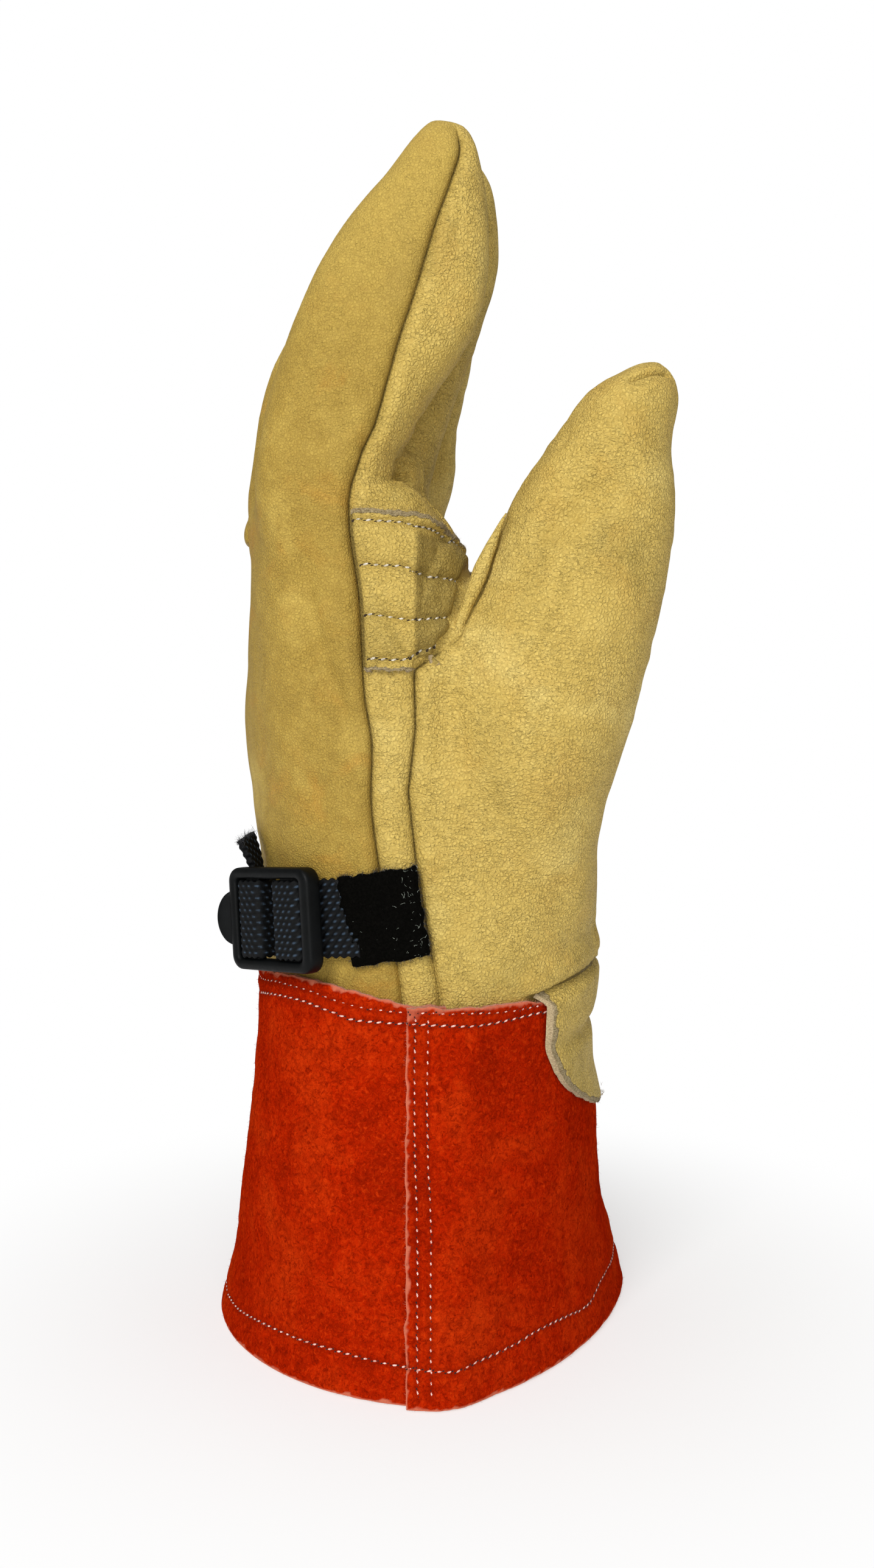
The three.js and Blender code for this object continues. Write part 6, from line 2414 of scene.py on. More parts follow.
@dataclass
class Cuff:
    """The flared cuff: one wrap of split leather whose ends lie over each other."""

    height: float = 91.0
    wall: float = 1.8
    gap: float = 0.3
    lap_width: float = 9.0
    lap_x: float = -7.0
    ramp: float = 14.0
    rows: int = 104
    columns: int = 400
    fibre_count: int = 6500
    nap_count: int = 8000
    floor_gap: float = 0.02
    hem_pixels: Pairs = (
        (372, 2124), (386, 2147), (430, 2174), (483, 2198), (535, 2215), (585, 2229), (630, 2240),
        (672, 2249), (715, 2254), (753, 2254), (779, 2241), (840, 2213), (891, 2183), (930, 2164),
        (968, 2144), (988, 2106), (1005, 2075),
    )
    upper_pixels: Pairs = (
        (428, 1608), (470, 1617), (509, 1629), (575, 1652), (622, 1660), (662, 1664), (708, 1665),
        (789, 1665), (840, 1662), (876, 1655),
    )
    lower_pixels: Pairs = (
        (426, 1630), (460, 1636), (493, 1644), (549, 1665), (575, 1675), (620, 1680), (667, 1683),
        (738, 1686), (784, 1686), (840, 1676), (881, 1666),
    )
    lap_pixels: tuple[Pairs, ...] = (
        ((683, 1668), (681, 1800), (683, 1950), (686, 2060), (685, 2180), (686, 2300)),
        ((704, 1668), (702, 1780), (703, 1900), (708, 2010), (707, 2160), (709, 2302)),
    )

    def top(self, x: Points, y: Points) -> Points:
        """Height of the top edge.

        Args:
            x: places across.
            y: places from near to far.

        Returns:
            Heights.
        """
        near = np.interp(x, (-58, -45, -38, -29, -22, -16, -8, 2, 20, 60),
                         (94.5, 95.8, 96.6, 96.4, 95.0, 93.8, 91.6, 91.2, 90.8, 90.6))
        return near + smoothstep(-22, 16, y) * (91.2 - near)

    def grid(self, offset: float, row_shares: Points) -> tuple[Points, Points]:
        """The cuff's points at one offset.

        Args:
            offset: from the inner face.
            row_shares: where the rows are, from hem to top edge.

        Returns:
            The grid of points and the share of the lap at each column.
        """
        share = np.linspace(0, 1, self.columns)
        grid = np.empty((len(row_shares), self.columns, 3))
        laps = np.empty((len(row_shares), self.columns))
        for index, row in enumerate(row_shares):
            z = np.full(self.columns, self.height * row)
            for _ in range(3):
                one = z[:1]
                start = 2 * np.pi + CUFF.near_angle(np.array([self.lap_x + self.lap_width]), one)[0]
                end = CUFF.near_angle(np.array([self.lap_x]), one)[0]
                high = CUFF.near_angle(np.array([self.lap_x + self.lap_width + 2]), one)[0]
                low = CUFF.near_angle(np.array([self.lap_x + self.lap_width + self.ramp]), one)[0]
                angle = start + (end - start) * share
                lap = smoothstep(-low, -high, -angle) * (self.wall + self.gap)
                found = CUFF.points(angle, z, lap + offset)
                z = self.top(found[:, 0], found[:, 1]) * row
            grid[index] = found
            laps[index] = lap
        return grid, laps

    def build(self, finishes: Finishes) -> None:
        """Makes the cuff, its raw edges and its stitches.

        Args:
            finishes: the glove's materials.
        """
        shares = np.linspace(0, 1, self.rows)
        outer, laps = self.grid(self.wall, shares)
        inner, _ = self.grid(0.0, shares)
        hills = Noise(61)
        flat = outer.reshape(-1, 3)
        edge_run = np.linspace(0, 1, self.columns)
        up = unit(outer - inner)
        broad = 0.7 * hills(flat, 26)
        soft = broad + 0.3 * hills(flat, 9) + 0.12 * hills(flat, 3.2) + 0.08 * hills(flat, 1.5)
        keep = smoothstep(-0.02, 0.06, shares)[:, None]
        swell = soft.reshape(laps.shape) * keep
        inner_swell = broad.reshape(laps.shape) * keep
        far = 99.0
        first = np.where(edge_run < 0.5, np.linalg.norm(outer - outer[:, :1], axis=2), far)
        last = np.where(edge_run > 0.5, np.linalg.norm(outer - outer[:, -1:], axis=2), far)
        heights = shares[:, None] * self.height
        nearest_edge = np.minimum(last, np.minimum(heights, self.height - heights))
        corner = smoothstep(5.5, 1.5, last) * smoothstep(85.5, 89.5, heights)
        swell += 1.1 * corner * (0.65 + 0.5 * hills(flat + 60, 1.7).reshape(laps.shape))
        swell -= 0.6 * hump(nearest_edge, 0.7)
        under = smoothstep(12, 2, first)
        swell = swell * (1 - under) - 0.15 * under
        outer = outer + up * swell[..., None]
        inner = inner + up * (inner_swell * (1 - under))[..., None]
        wiggle = (0.55 * hills(flat + 5, 3.1) + 0.3 * hills(flat + 8, 1.2)).reshape(laps.shape)
        top = smoothstep(0.94, 1.0, shares)[:, None]
        hem = smoothstep(0.05, 0.0, shares)[:, None]
        for face in (outer, inner):
            face[..., 2] += wiggle * (top + 0.5 * hem * (wiggle > 0))
        sideways = unit(np.gradient(outer, axis=1))
        pull = smoothstep(2.5, 0.0, last) * 0.7 * hills(flat + 3, 3.0).reshape(laps.shape)
        outer += sideways * pull[..., None]
        inner += sideways * pull[..., None]
        faces = triangles_of(grid_faces(self.rows, self.columns))
        surface_skin = Skin(outer.reshape(-1, 3), faces, np.zeros(0))
        if (surface_skin.normals() * up.reshape(-1, 3)).sum() < 0:
            surface_skin.triangles = surface_skin.triangles[:, ::-1]
        rough_surface = Surface(surface_skin.points, surface_skin.triangles)
        lines = self.lines(rough_surface)
        sink = np.zeros(self.rows * self.columns)
        flat = outer.reshape(-1, 3)
        for line in lines:
            low, high = line.min(0) - 3, line.max(0) + 3
            near = np.flatnonzero(((flat > low) & (flat < high)).all(axis=1))
            gap, _ = line_distance(flat[near], line)
            sink[near] = np.maximum(sink[near], hump(gap, 0.9))
        outer = outer - up * (0.42 * sink.reshape(laps.shape))[..., None]
        ragged = nearest_edge + 0.35 * hills(flat, 1.1).reshape(laps.shape)
        # The seam mask paints shade along the sunk stitch rows.
        masks = {"raw": np.maximum(smoothstep(1.2, 0.4, ragged), 0.8 * corner),
                 "seam": sink.reshape(laps.shape)}
        suede, raw = finishes["suede"], finishes["raw_suede"]
        skin = Slab(outer, inner, masks).build("cuff_suede", [suede, raw], Slot.SUEDE, "cuff")
        finished = Surface(skin.points, skin.triangles)
        thread, hole = finishes["pink_thread"], finishes["red_hole"]
        stitches = Stitching("cuff_stitches", Slot.SUEDE, thread, hole, 0.24, 2.45, 0.6, 0.24, 0.14, 0.26, 9)
        for line, sunk in zip(lines, (0.12, 0.02, 0.05, 0.1, 0.1)):
            stitches.sew(finished, line, sunk, rough_surface)
        stitches.build()
        self.fray(skin, raw, suede)

    def lines(self, surface: Surface) -> list[Points]:
        """Every sewn row of the cuff.

        Args:
            surface: the outer face.

        Returns:
            The rows' corners.
        """
        found = []
        for pixels, height in ((self.upper_pixels, 88.6), (self.lower_pixels, 85.4), (self.hem_pixels, 9.5)):
            seen = surface.line_behind(pixels)
            first = math.atan2(seen[-1][1], seen[-1][0])
            last = math.atan2(seen[0][1], seen[0][0]) + 2 * math.pi
            angle = np.linspace(first, last, 90)[2:-2]
            share = np.linspace(0, 1, 86)
            ends = smoothstep(0, 0.25, share) * smoothstep(1, 0.75, share)
            straight = seen[-1][2] + (seen[0][2] - seen[-1][2]) * share
            z = straight + (height - straight) * ends
            hidden = []
            for turn, level in zip(angle, z):
                ahead = Vector((-math.cos(turn), -math.sin(turn), 0))
                start = Vector((150 * math.cos(turn), 150 * math.sin(turn), level))
                hit = surface.tree.ray_cast(start, ahead)
                if hit[0] is not None:
                    hidden.append(np.array(hit[0]))
            found.append(np.vstack([seen, hidden, seen[:1]]))
        found += [surface.line_behind(pixels) for pixels in self.lap_pixels]
        return found

    def fray(self, skin: Skin, raw: Material, suede: Material) -> None:
        """Adds the fibres of the raw edges and the nap of the suede.

        Args:
            skin: the outer face.
            raw: finish of the edge fibres.
            suede: finish of the nap.
        """
        normals = skin.normals()
        edges = skin.rim()
        under = (skin.points[edges[:, 0], 1] < 0) & (skin.points[edges[:, 0], 0] > 0.5)
        upright = np.abs(skin.points[edges[:, 1], 2] - skin.points[edges[:, 0], 2]) > 0.6
        edges = edges[~(under & upright)]
        count = self.fibre_count
        points, faces = rim_fibres(skin.points, normals, edges, count, (0.3, 1.0), 0.045, self.wall, 51)
        points[:, 2] = np.maximum(points[:, 2], self.floor_gap)
        Shell(points, faces).to_object("cuff_edge_fibres", [raw], Slot.SUEDE)
        rng = np.random.default_rng(52)
        chosen = rng.choice(len(skin.triangles), self.nap_count)
        corner = skin.points[skin.triangles[chosen]]
        share = rng.dirichlet((1, 1, 1), self.nap_count)
        roots = (corner * share[:, :, None]).sum(axis=1)
        outward = normals[skin.triangles[chosen, 0]]
        lean = 0.35 * outward + rng.normal(0, 0.6, (self.nap_count, 3))
        points, faces = fibres(roots - 0.05 * outward, lean, (0.3, 0.8), 0.035, 0.8, 53)
        points[:, 2] = np.maximum(points[:, 2], self.floor_gap)
        Shell(points, faces).to_object("cuff_nap", [suede], Slot.SUEDE)


@dataclass
class HeelTongue:
    """The loose end of the palm leather, hanging over the cuff."""

    y: float = 2.0
    half: float = 40.0
    top: float = 101.8
    shoulder: float = 86.0
    bottom: float = 57.0
    roundness: float = 2.2
    low: float = 2.1
    tucked: float = -1.1
    wall: float = 1.5
    rows: int = 90
    columns: int = 110
    fibre_count: int = 2200

    def build(self, finishes: Finishes) -> None:
        """Makes the tongue.

        Args:
            finishes: the glove's materials.
        """
        drop = self.shoulder - self.bottom
        round_end = drop * np.sin(np.linspace(0, math.pi / 2 * 0.995, self.rows - 19))
        level = np.concatenate([np.linspace(self.top, self.shoulder, 20)[:-1], self.shoulder - round_end])
        share = np.linspace(-1, 1, self.columns)
        faces = []
        hills = Noise(15)
        for wall in (self.wall, 0.0):
            rows = []
            for z in level:
                below = max(0.0, (self.shoulder - z) / drop)
                half = self.half * (1 - below**self.roundness) ** (1 / self.roundness)
                y = self.y + half * share
                heights = np.full(self.columns, z)
                under = hem_height(CUFF.palm_points(y, heights, 0.0)[:, 0]) - z
                offset = self.tucked + (self.low - self.tucked) * smoothstep(0.1, 4.4, under) + wall
                rows.append(CUFF.palm_points(y, heights, offset))
            faces.append(np.array(rows))
        outer, inner = faces
        up = unit(outer - inner)
        flat = outer.reshape(-1, 3)
        shape = outer.shape[:2]
        wave = (0.5 * hills(flat, 14) + 0.25 * hills(flat, 6)).reshape(shape)
        torn = (0.3 * hills(flat, 2.2) + 0.2 * hills(flat, 1.0)).reshape(shape)
        rim = np.zeros(shape, bool)
        rim[-1] = rim[:, 0] = rim[:, -1] = True
        edge = distance_to(flat, outer[rim], 4.0).reshape(shape)
        loose = smoothstep(self.shoulder, self.bottom, flat[:, 2]).reshape(shape)
        for face in (outer, inner):
            face += up * (wave + 0.2 + 0.5 * loose)[..., None]
            face[..., 2] += torn * hump(edge, 0.8)
        outer -= up * (0.45 * hump(edge, 0.7))[..., None]
        fold = hump(flat[:, 2].reshape(shape) - 81.5 - 0.08 * flat[:, 1].reshape(shape), 2.6)
        bent = fold * smoothstep(26, 40, flat[:, 0]).reshape(shape)
        outer -= up * (0.4 * fold + 1.6 * bent)[..., None]
        inner -= up * (0.2 * fold + 0.9 * bent)[..., None]
        fuzzy = edge + 0.35 * hills(flat, 1.2).reshape(shape)
        top = (hem_height(flat[:, 0]) - flat[:, 2]).reshape(shape)
        # Painted shadow below the hem's lip and softer painted shade near it; the beside mask also darkens a
        # faint band just inside the torn edge.
        masks = {"seam": hump(top - 0.7, 0.8),
                 "beside": np.maximum(0.3 * hump(edge - 2.2, 0.7), hump(top, 1.8)),
                 "raw": smoothstep(1.5, 0.9, fuzzy) * smoothstep(0.5, 1.5, top)}
        leather, raw = finishes["palm"], finishes["raw"]
        slab = Slab(outer, inner, masks)
        skin = slab.build("heel_tongue_leather", [leather, raw], Slot.PALM, "heel_tongue")
        edges = skin.rim()
        edges = edges[(hem_height(skin.points[:, 0]) - skin.points[:, 2])[edges[:, 0]] > 0.5]
        count = self.fibre_count
        fuzz = rim_fibres(skin.points, skin.normals(), edges, count, (0.3, 0.9), 0.045, self.wall, 71)
        Shell(*fuzz).to_object("heel_tongue_fibres", [raw], Slot.PALM)


# The wrist strap


@dataclass
class FeltTab:
    """The felt tab over the side seam, at the end of the webbing."""

    left: float = -21.5
    lean: float = -1.7
    z: float = 111.4
    tilt: float = 0.18
    half_height: float = 11.0
    clear: float = 0.5
    wall: float = 2.4
    rows: int = 84
    columns: int = 80
    fluff_count: int = 1500
    lint_count: int = 60

    def build(self, finishes: Finishes) -> None:
        """Makes the tab with its fibres and lint.

        Args:
            finishes: the glove's materials.
        """
        hills = Noise(91)
        faces = []
        for offset in (self.clear + self.wall, self.clear):
            rows = []
            for side in np.linspace(-1, 1, self.rows):
                right = float(np.interp(self.z + side * self.half_height, *np.array(THUMB_SEAM).T)) - 0.7
                x = np.linspace(self.left + side * self.lean, right, self.columns)
                z = self.z + side * self.half_height + self.tilt * (x - self.left)
                rows.append(HAND.points(HAND.near_angle(x, z), z, offset))
            faces.append(np.array(rows))
        outer, inner = faces
        up = unit(outer - inner)
        flat = outer.reshape(-1, 3)
        shape = outer.shape[:2]
        rim = np.zeros(shape, bool)
        rim[0] = rim[-1] = rim[:, 0] = rim[:, -1] = True
        edge = distance_to(flat, outer[rim], 4.0).reshape(shape)
        torn = 0.5 * hills(flat, 2.6) + 0.3 * hills(flat, 1.1)
        torn_across = (0.5 * hills(flat + 40, 2.4) + 0.3 * hills(flat + 40, 1.0)).reshape(shape)
        near_rim = hump(edge, 1.0)
        for face in (outer, inner):
            face[..., 2] += torn.reshape(shape) * near_rim
            face[..., 0] += torn_across * near_rim
        soft = (0.35 * hills(flat, 6) + 0.22 * hills(flat, 1.9) + 0.12 * hills(flat, 0.9)).reshape(shape)
        outer += up * (soft - 0.8 * hump(edge, 0.8))[..., None]
        masks = {"raw": hump(edge, 0.8)}
        slab = Slab(outer, inner, masks)
        skin = slab.build("felt_tab_cloth", [finishes["felt"]] * 2, Slot.FELT, "felt_tab")
        normals = skin.normals()
        count = self.fluff_count
        fluff = rim_fibres(skin.points, normals, skin.rim(), count, (0.4, 1.5), 0.05, self.wall, 92)
        Shell(*fluff).to_object("felt_tab_fibres", [finishes["fluff"]], Slot.FELT)
        rng = np.random.default_rng(93)
        chance = 0.04 + smoothstep(-11, -5, skin.points[:, 0])
        chosen = rng.choice(len(skin.points), self.lint_count, p=chance / chance.sum())
        lean = 0.2 * normals[chosen] + rng.normal(0, 0.8, (self.lint_count, 3))
        roots = skin.points[chosen] + 0.05 * normals[chosen]
        lint = fibres(roots, lean, (0.3, 1.1), 0.045, 0.9, 94)
        Shell(*lint).to_object("felt_tab_lint", [finishes["lint"]], Slot.FELT)


@dataclass
class BucklePlace:
    """Where the buckle lies, with its own directions."""

    turn_degrees: float = 45.0
    tilt_degrees: float = 4.5
    z: float = 111.2
    out: float = 5.4
    shift: float = 2.6
    strap_width: float = 19.0

    def __post_init__(self) -> None:
        """Finds the corner of the wrist that the buckle touches."""
        turn, tilt = math.radians(self.turn_degrees), math.radians(self.tilt_degrees)
        self.outwards = np.array([-math.sin(turn), -math.cos(turn), 0.0])
        towards = np.array([math.cos(turn), -math.sin(turn), 0.0])
        level = np.full(720, self.z + self.strap_width / 2)
        ring = HAND.points(circle(720), level)
        corner = ring[np.argmax(ring @ self.outwards)]
        self.centre = corner + self.outwards * self.out - towards * self.shift
        self.centre[2] = self.z
        self.x = towards * math.cos(tilt) + np.array([0, 0, math.sin(tilt)])
        self.y = np.cross(self.outwards, self.x)

    def world(self, points: Points) -> Points:
        """Points along the webbing, across it and outwards, in the glove's frame."""
        along, across, out = points[..., :1], points[..., 1:2], points[..., 2:]
        return self.centre + along * self.x + across * self.y + out * self.outwards


@dataclass
class Buckle:
    """The ladder-lock buckle: frame, two bars and the lever's ear."""

    place: BucklePlace
    length: float = 31.0
    height: float = 25.6
    thick: float = 4.4
    corner: float = 3.6
    window: Triple = (-12.6, 11.7, 10.0)
    bars: Pairs = ((3.0, 9.7), (-10.4, -5.1))
    bar_heights: tuple[float, float] = (-1.2, 0.9)

    def loop(self, low: float, high: float, half: float, corner: float) -> Points:
        """A rounded rectangle.

        Args:
            low: lowest x.
            high: highest x.
            half: half its height.
            corner: radius of its corners.

        Returns:
            Its points, the same number for every rectangle.
        """
        points = []
        centres = ((high - corner, half - corner), (low + corner, half - corner),
                   (low + corner, corner - half), (high - corner, corner - half))
        for index, (x, y) in enumerate(centres):
            angle = np.radians(90 * index + np.linspace(0, 90, 10))
            points.append(np.stack([x + corner * np.cos(angle), y + corner * np.sin(angle)], 1))
        corners = np.vstack(points)
        closed = np.vstack([corners, corners[:1]])
        filled = [np.linspace(a, b, 14)[:-1] if index % 10 == 9 else a[None]
                  for index, (a, b) in enumerate(zip(closed, closed[1:]))]
        return np.vstack(filled)

    def frame(self) -> tuple[Points, Triangles]:
        """The outer frame, with rounded edges."""
        outer = self.loop(-self.length / 2, self.length / 2, self.height / 2, self.corner)
        low, high, half = self.window
        inner = self.loop(low, high, half, 1.0)
        angle = circle(28)
        share = 0.5 + 0.5 * bulge(np.cos(angle), 4.5)
        level = 0.5 * self.thick * bulge(np.sin(angle), 4.0)
        rings = []
        for mix, z in zip(share, level):
            flat = inner + (outer - inner) * mix
            dish = 0.35 * (z > 0) * (1 - abs(2 * mix - 1))
            rings.append(np.column_stack([flat, np.full(len(flat), z + dish)]))
        rings = np.array(rings)
        count, steps, _ = rings.shape
        quads = grid_faces(count, steps, True)
        ring = np.arange(steps)
        beside = (ring + 1) % steps
        last = (count - 1) * steps
        quads = np.vstack([quads, np.stack([ring + last, beside + last, beside, ring], 1)])
        return rings.reshape(-1, 3), triangles_of(quads)[:, ::-1]

    def bar(self, low: float, high: float) -> tuple[Points, Triangles]:
        """One bar across the frame.

        Args:
            low: its lowest x.
            high: its highest x.

        Returns:
            Points and triangles.
        """
        angle = circle(24)
        bottom, top = self.bar_heights
        rings = []
        for y in np.linspace(-self.height / 2 + 1, self.height / 2 - 1, 30):
            x = (low + high) / 2 + (high - low) / 2 * bulge(np.cos(angle), 4)
            z = (top + bottom) / 2 + (top - bottom) / 2 * bulge(np.sin(angle), 3)
            rings.append(np.stack([x, np.full(24, y), z], 1))
        return closed_loft(np.array(rings))

    def ear(self) -> tuple[Points, Triangles]:
        """The lever's ear, tipped outwards."""
        angle = circle(28)
        rings = []
        for y in np.linspace(-7.15, 7.15, 44):
            tip = -14.6 - 4.4 * math.sqrt(max(0.0, 1 - (y / 7.2) ** 2))
            x = (-13.4 + tip) / 2 + (-13.4 - tip) / 2 * bulge(np.cos(angle), 3.5)
            rise = 3.2 * np.clip((-14.6 - x) / 4.4, 0, 1)
            edge = min(1.0, 0.35 + (7.2 - abs(y)) / 2.2)
            z = rise + 0.95 * edge * bulge(np.sin(angle), 2.8)
            rings.append(np.stack([x, np.full(28, y), z], 1))
        return closed_loft(np.array(rings))

    def build(self, plastic: Material) -> None:
        """Makes the buckle.

        Args:
            plastic: its finish.
        """
        parts = [self.frame(), self.ear()] + [self.bar(*bar) for bar in self.bars]
        points, faces = joined(parts)
        shell = Shell(self.place.world(points), faces, sharp_degrees=48)
        shell.to_object("buckle_moulded", [plastic], Slot.PLASTIC, ("buckle",))


@dataclass
class Webbing:
    """Woven strap: rows of slanted nubs between serrated edges."""

    path: Points
    across: Points
    width: float = 19.0
    thick: float = 1.4
    step: float = 0.36
    ring: int = 112
    nub_length: float = 2.1
    nub_width: float = 1.5
    nub_height: float = 0.4
    twist: float = 0.0

    def build(self, name: str, yarn: Material, node: str | None) -> tuple[Points, Points]:
        """Makes the strap.

        Args:
            name: the piece's name.
            yarn: its finish.
            node: the CAD node that it stands for, if any.

        Returns:
            Points of its last ring and the direction there.
        """
        run = run_along(self.path)
        count = int(run[-1] / self.step)
        at = np.linspace(0, run[-1], count)
        line = points_after(at, self.path, run)
        for _ in range(3):
            line[1:-1] = 0.25 * line[:-2] + 0.5 * line[1:-1] + 0.25 * line[2:]
        ahead = unit(np.gradient(line, axis=0))
        across = np.broadcast_to(self.across, line.shape)
        out = unit(np.cross(ahead, across))
        turn = np.radians(self.twist) * np.linspace(0, 1, count)[:, None]
        across, out = across * np.cos(turn) + out * np.sin(turn), out * np.cos(turn) - across * np.sin(turn)
        place, high = self.even_places()
        nubs = self.nubs(at[:, None], place[None, :])
        face = np.clip(np.abs(high), 0, 1)[None]
        serrated = 0.28 * np.cos(2 * np.pi * at / self.nub_length)[:, None]
        serrated = serrated * (np.abs(place) > self.width / 2 - 0.5)
        level = np.abs(high)[None] * self.thick / 2 + face * self.nub_height * (nubs - 0.55)
        level = np.sign(high)[None] * level
        points = line[:, None] + across[:, None] * (place + serrated * np.sign(place))[..., None]
        points = points + out[:, None] * level[..., None]
        mask = np.concatenate([(nubs**2.2 * face).ravel(), [0.2, 0.2]])
        made, faces = closed_loft(points)
        shell = Shell(made, faces, masks={"nub": mask})
        shell.to_object(name, [yarn], Slot.WEBBING, (node,) if node else ())
        return points[-1], ahead[-1]

    def even_places(self) -> tuple[Points, Points]:
        """Evenly spaced places round the strap's section.

        Returns:
            How far across each is, and its height from -1 to 1.
        """
        face = self.ring // 2 - 4
        low, high = -self.width / 2 + 0.35, self.width / 2 - 0.35
        edge = self.width / 2
        top = np.linspace(low, high, face)
        place = np.concatenate([top, [edge - 0.08, edge, edge, edge - 0.08], top[::-1],
                                [-edge + 0.08, -edge, -edge, -edge + 0.08]])
        round_edge = np.array([0.75, 0.3, -0.3, -0.75])
        level = np.concatenate([np.ones(face), round_edge, -np.ones(face), -round_edge])
        return place, level

    def nubs(self, along: Points, across: Points) -> Points:
        """Height of the weave.

        Args:
            along: places along the strap.
            across: places across it.

        Returns:
            Heights from 0 to 1.
        """
        row = np.floor(across / self.nub_width + 100)
        share_across = across / self.nub_width + 100 - row
        slanted = along / self.nub_length + 0.5 * (row % 2) + 0.42 * share_across
        share_along = slanted - np.floor(slanted)
        return (np.sin(np.pi * share_along) ** 0.6) * (np.sin(np.pi * share_across) ** 0.6)


def corner_bend(x: float, out: float, radius: float, start: float, end: float) -> Points:
    """A bend of the strap round a bar in the buckle's frame, from one angle to another in degrees."""
    angle = np.radians(np.linspace(start, end, 9))
    return np.stack([x + radius * np.cos(angle), np.zeros(9), out + radius * np.sin(angle)], 1)


@dataclass
class WristStrap:
    """Felt tab, webbing and buckle."""

    place: BucklePlace = field(default_factory=BucklePlace)
    wall: float = 1.4
    clear: float = 0.5
    gap: float = 0.3
    lower: float = -4.2
    soft: float = 0.9
    end_x: float = -14.0
    fray_count: int = 110

    def build(self, finishes: Finishes) -> None:
        """Makes the strap.

        Args:
            finishes: the glove's materials.
        """
        FeltTab().build(finishes)
        Buckle(self.place).build(finishes["plastic"])
        yarn = finishes["webbing"]
        Webbing(self.front_path(), self.place.y).build("strap_front_webbing", yarn, "strap_front")
        back = Webbing(self.back_path(), self.place.y, step=0.46, ring=96)
        back.build("strap_back_webbing", yarn, "strap_back")
        self.build_tail(yarn, finishes["fluff"])

    def front_path(self) -> Points:
        """From the felt tab under the frame, over the bar nearest the tab and back under it."""
        turn = self.gap + self.wall / 2
        low, high = Buckle(self.place).bars[0]
        bottom, top = Buckle(self.place).bar_heights
        level = np.array([self.place.z + 9.5])
        start = HAND.points(HAND.near_angle(np.array([-18.5]), level), level, self.clear + self.wall / 2)[0]
        start[2] = self.place.world(np.array([self.place.shift + 18.0, 0, 0]))[2]
        loop = np.vstack([
            corner_bend(high + turn + self.soft, self.lower + self.soft, self.soft, -90, -180),
            corner_bend(high, top, turn, 0, 90), corner_bend(low, top, turn, 90, 180),
            corner_bend(low, bottom, turn, 180, 270), [[low + 4, 0, bottom - turn]],
        ])
        return np.vstack([start, self.place.world(loop)])

    def back_path(self) -> Points:
        """From the middle slot round the bar nearest the lever, then away round the wrist."""
        turn = self.gap + self.wall / 2
        low, high = Buckle(self.place).bars[1]
        bottom, top = Buckle(self.place).bar_heights
        loop = self.place.world(np.vstack([
            [[low - turn, 0, bottom - self.gap]], corner_bend(low, top, turn, 180, 90),
            corner_bend(high, top, turn, 90, 0),
            corner_bend(high + turn - self.soft, self.lower + self.soft, self.soft, 0, -90),
        ]))
        level = np.array([self.place.z + 9.5])
        start = HAND.near_angle(np.array([loop[-1][0] - 3]), level)[0]
        end = -2 * np.pi - HAND.near_angle(np.array([self.end_x]), level)[0]
        angle = np.linspace(start, end, 90)
        round_wrist = HAND.points(angle, np.full(90, level[0]), self.clear + self.wall / 2)
        low_z = self.place.world(np.array([-15.5, 0, 0]))[2]
        round_wrist[:, 2] = loop[-1][2] + (low_z - loop[-1][2]) * np.clip(4 * np.linspace(0, 1, 90), 0, 1)
        return np.vstack([loop, round_wrist])

    def build_tail(self, yarn: Material, fluff: Material) -> None:
        """The free end of the webbing, turned up and frayed.

        Args:
            yarn: finish of the webbing.
            fluff: finish of the frayed yarns.
        """
        corners = np.array([(-44.7, -24, 106), (-45.3, -24, 119), (-46.6, -24, 124.5), (-48.8, -24, 130.2)])
        across = np.array([-0.27, 0.96, 0]) / math.hypot(0.27, 0.96)
        tail = Webbing(resampled(corners, 40), across, 9.0, 1.7, 0.34, 72, twist=-32)
        ring, ahead = tail.build("strap_tail_webbing", yarn, None)
        rng, count = np.random.default_rng(97), self.fray_count
        roots = ring[rng.choice(len(ring), count)] - ahead * rng.uniform(0, 1.0, (count, 1))
        lean = ahead + rng.normal(0, 0.3, (count, 3))
        points, faces = fibres(roots, lean, (0.5, 2.2), 0.06, 0.5, 98)
        Shell(points, faces).to_object("strap_tail_fray", [fluff], Slot.WEBBING)


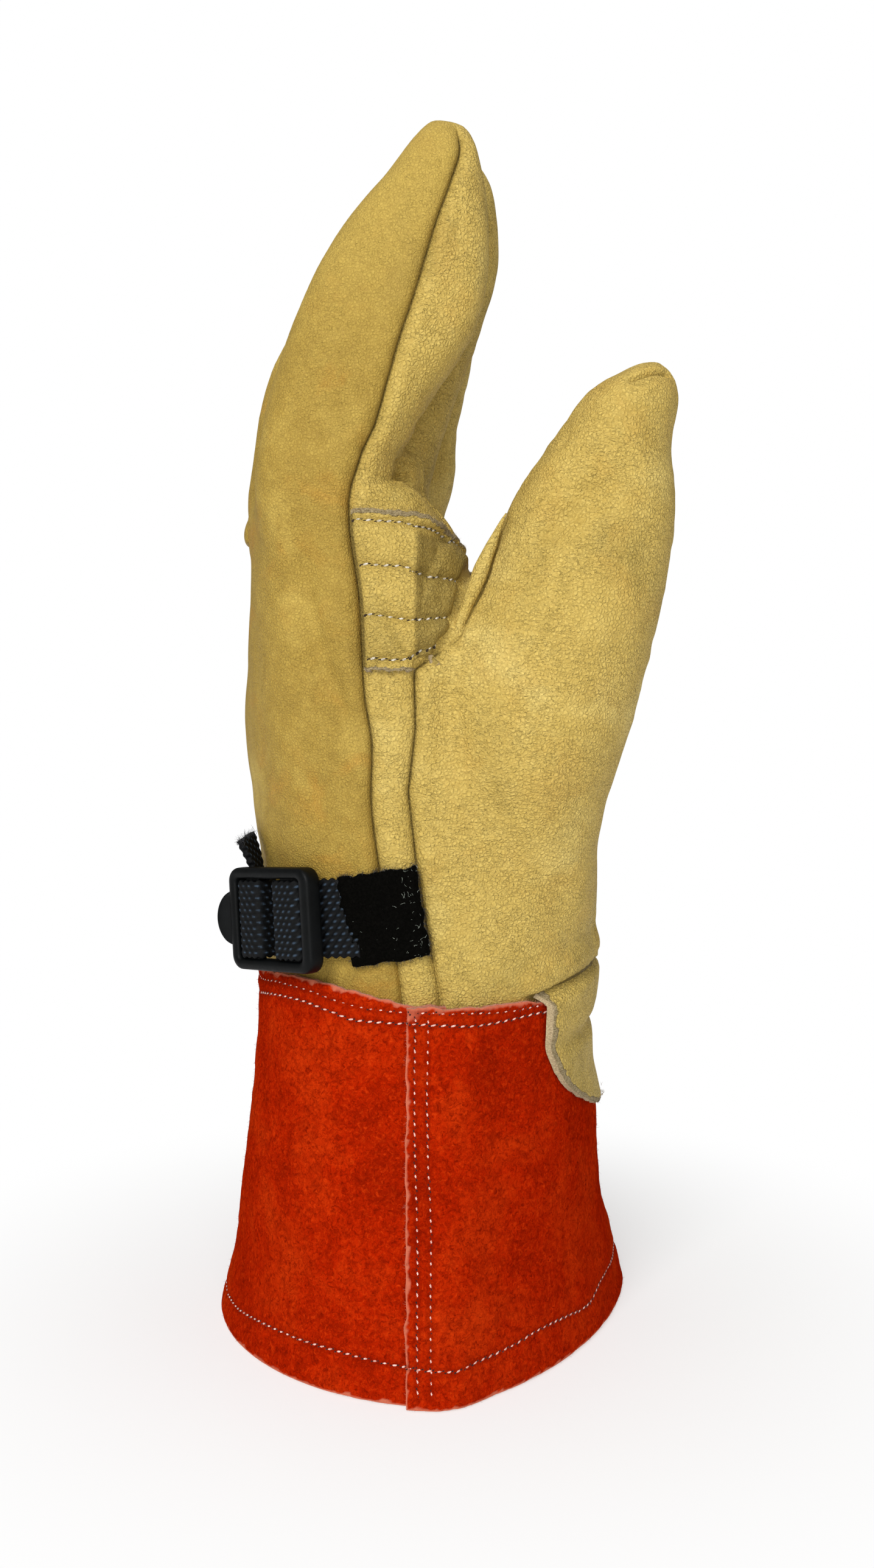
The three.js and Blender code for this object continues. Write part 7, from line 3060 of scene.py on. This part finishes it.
@dataclass
class Glove:
    """The whole glove, built in order from the skin outwards."""

    skin: GloveSkin = field(default_factory=GloveSkin)
    finishes: Finishes = field(default_factory=dict)

    def build(self) -> None:
        """Builds every piece."""
        self.skin.build()
        self.make_finishes()
        self.build_hand()
        self.build_added_leather()
        WristStrap().build(self.finishes)

    def make_finishes(self) -> None:
        """Makes every material of the glove."""
        back = GrainLeather("back_leather", "7f6528", "a28538", "c8ac56", "b27a26",
                            wrinkle_height=0.1, painted_light_tips=0.5)
        palm = GrainLeather("palm_leather", "98803a", "c6a956", "dcc474", "c09743",
                            pebble=0.95, pebble_height=0.2, wrinkle_height=0.24, clouding=0.35)
        suede = SplitSuede("cuff_suede", "721001", "ae2002", "cc3c0c", "d0765a")
        self.finishes = {
            "back": back.make(), "palm": palm.make(), "suede": suede.make(),
            "raw": RawLeather("raw_leather", "7f6a4c", "cdb890").make(),
            "raw_suede": RawLeather("raw_suede", "9c3c20", "dd8d70").make(),
            "thread": Yarn("pale_thread", "978c78", "e2dac9").make(),
            "pink_thread": Yarn("pink_thread", "c07f70", "f5d2c6").make(),
            # The hole colours are painted shade for the needle holes of the stitches.
            "hole": Yarn("needle_hole_shade", "1c1206", "33240f").make(),
            "red_hole": Yarn("cuff_needle_hole_shade", "1f0402", "3a0a04").make(),
            "felt": BlackFelt().make(), "fluff": Yarn("black_fluff", "08090a", "2a2b2e").make(),
            "lint": Yarn("pale_lint", "7d8a7a", "c9d2c4").make(), "webbing": WovenYarn().make(),
            "plastic": MouldedPlastic().make(),
        }

    def build_added_leather(self) -> None:
        """Makes the pieces that lie on the hand, and the cuff."""
        finishes = self.finishes
        PalmPatch(self.skin).build(finishes)
        KnuckleFlap().build(finishes["back"], self.skin.surface, self.skin.raised)
        ThumbWelt().build(finishes["palm"], self.skin.surface)
        WristEdge().build(finishes["raw"], self.skin)
        Cuff().build(finishes)
        HeelTongue().build(finishes)

    def build_hand(self) -> None:
        """Makes the leather panels of the hand."""
        back, palm, raw = self.finishes["back"], self.finishes["palm"], self.finishes["raw"]
        for panels, node in (((Panel.BACK,), "back_panel"), ((Panel.MIDDLE_BACK,), "middle_back_panel")):
            self.skin.panel(panels, f"{node}_skin", node, Slot.BACK, [back, raw])
        for panel, node in ((Panel.PALM, "palm_panel"), (Panel.STRIP_INDEX, "fourchette_index_middle"),
                            (Panel.STRIP_MIDDLE, "fourchette_middle_ring"),
                            (Panel.STRIP_RING, "fourchette_ring_little"), (Panel.THUMB, "thumb_panel"),
                            (Panel.THUMB_INNER, "thumb_inner")):
            self.skin.panel((panel,), f"{node}_skin", node, Slot.PALM, [palm, raw])


def main() -> None:
    """Builds the camera, the studio and the glove."""
    logging.basicConfig(level=logging.INFO, format="%(name)s %(message)s")
    PhotoCamera().build()
    Studio().build()
    Glove().build()
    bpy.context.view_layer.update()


if __name__ == "__main__":
    main()
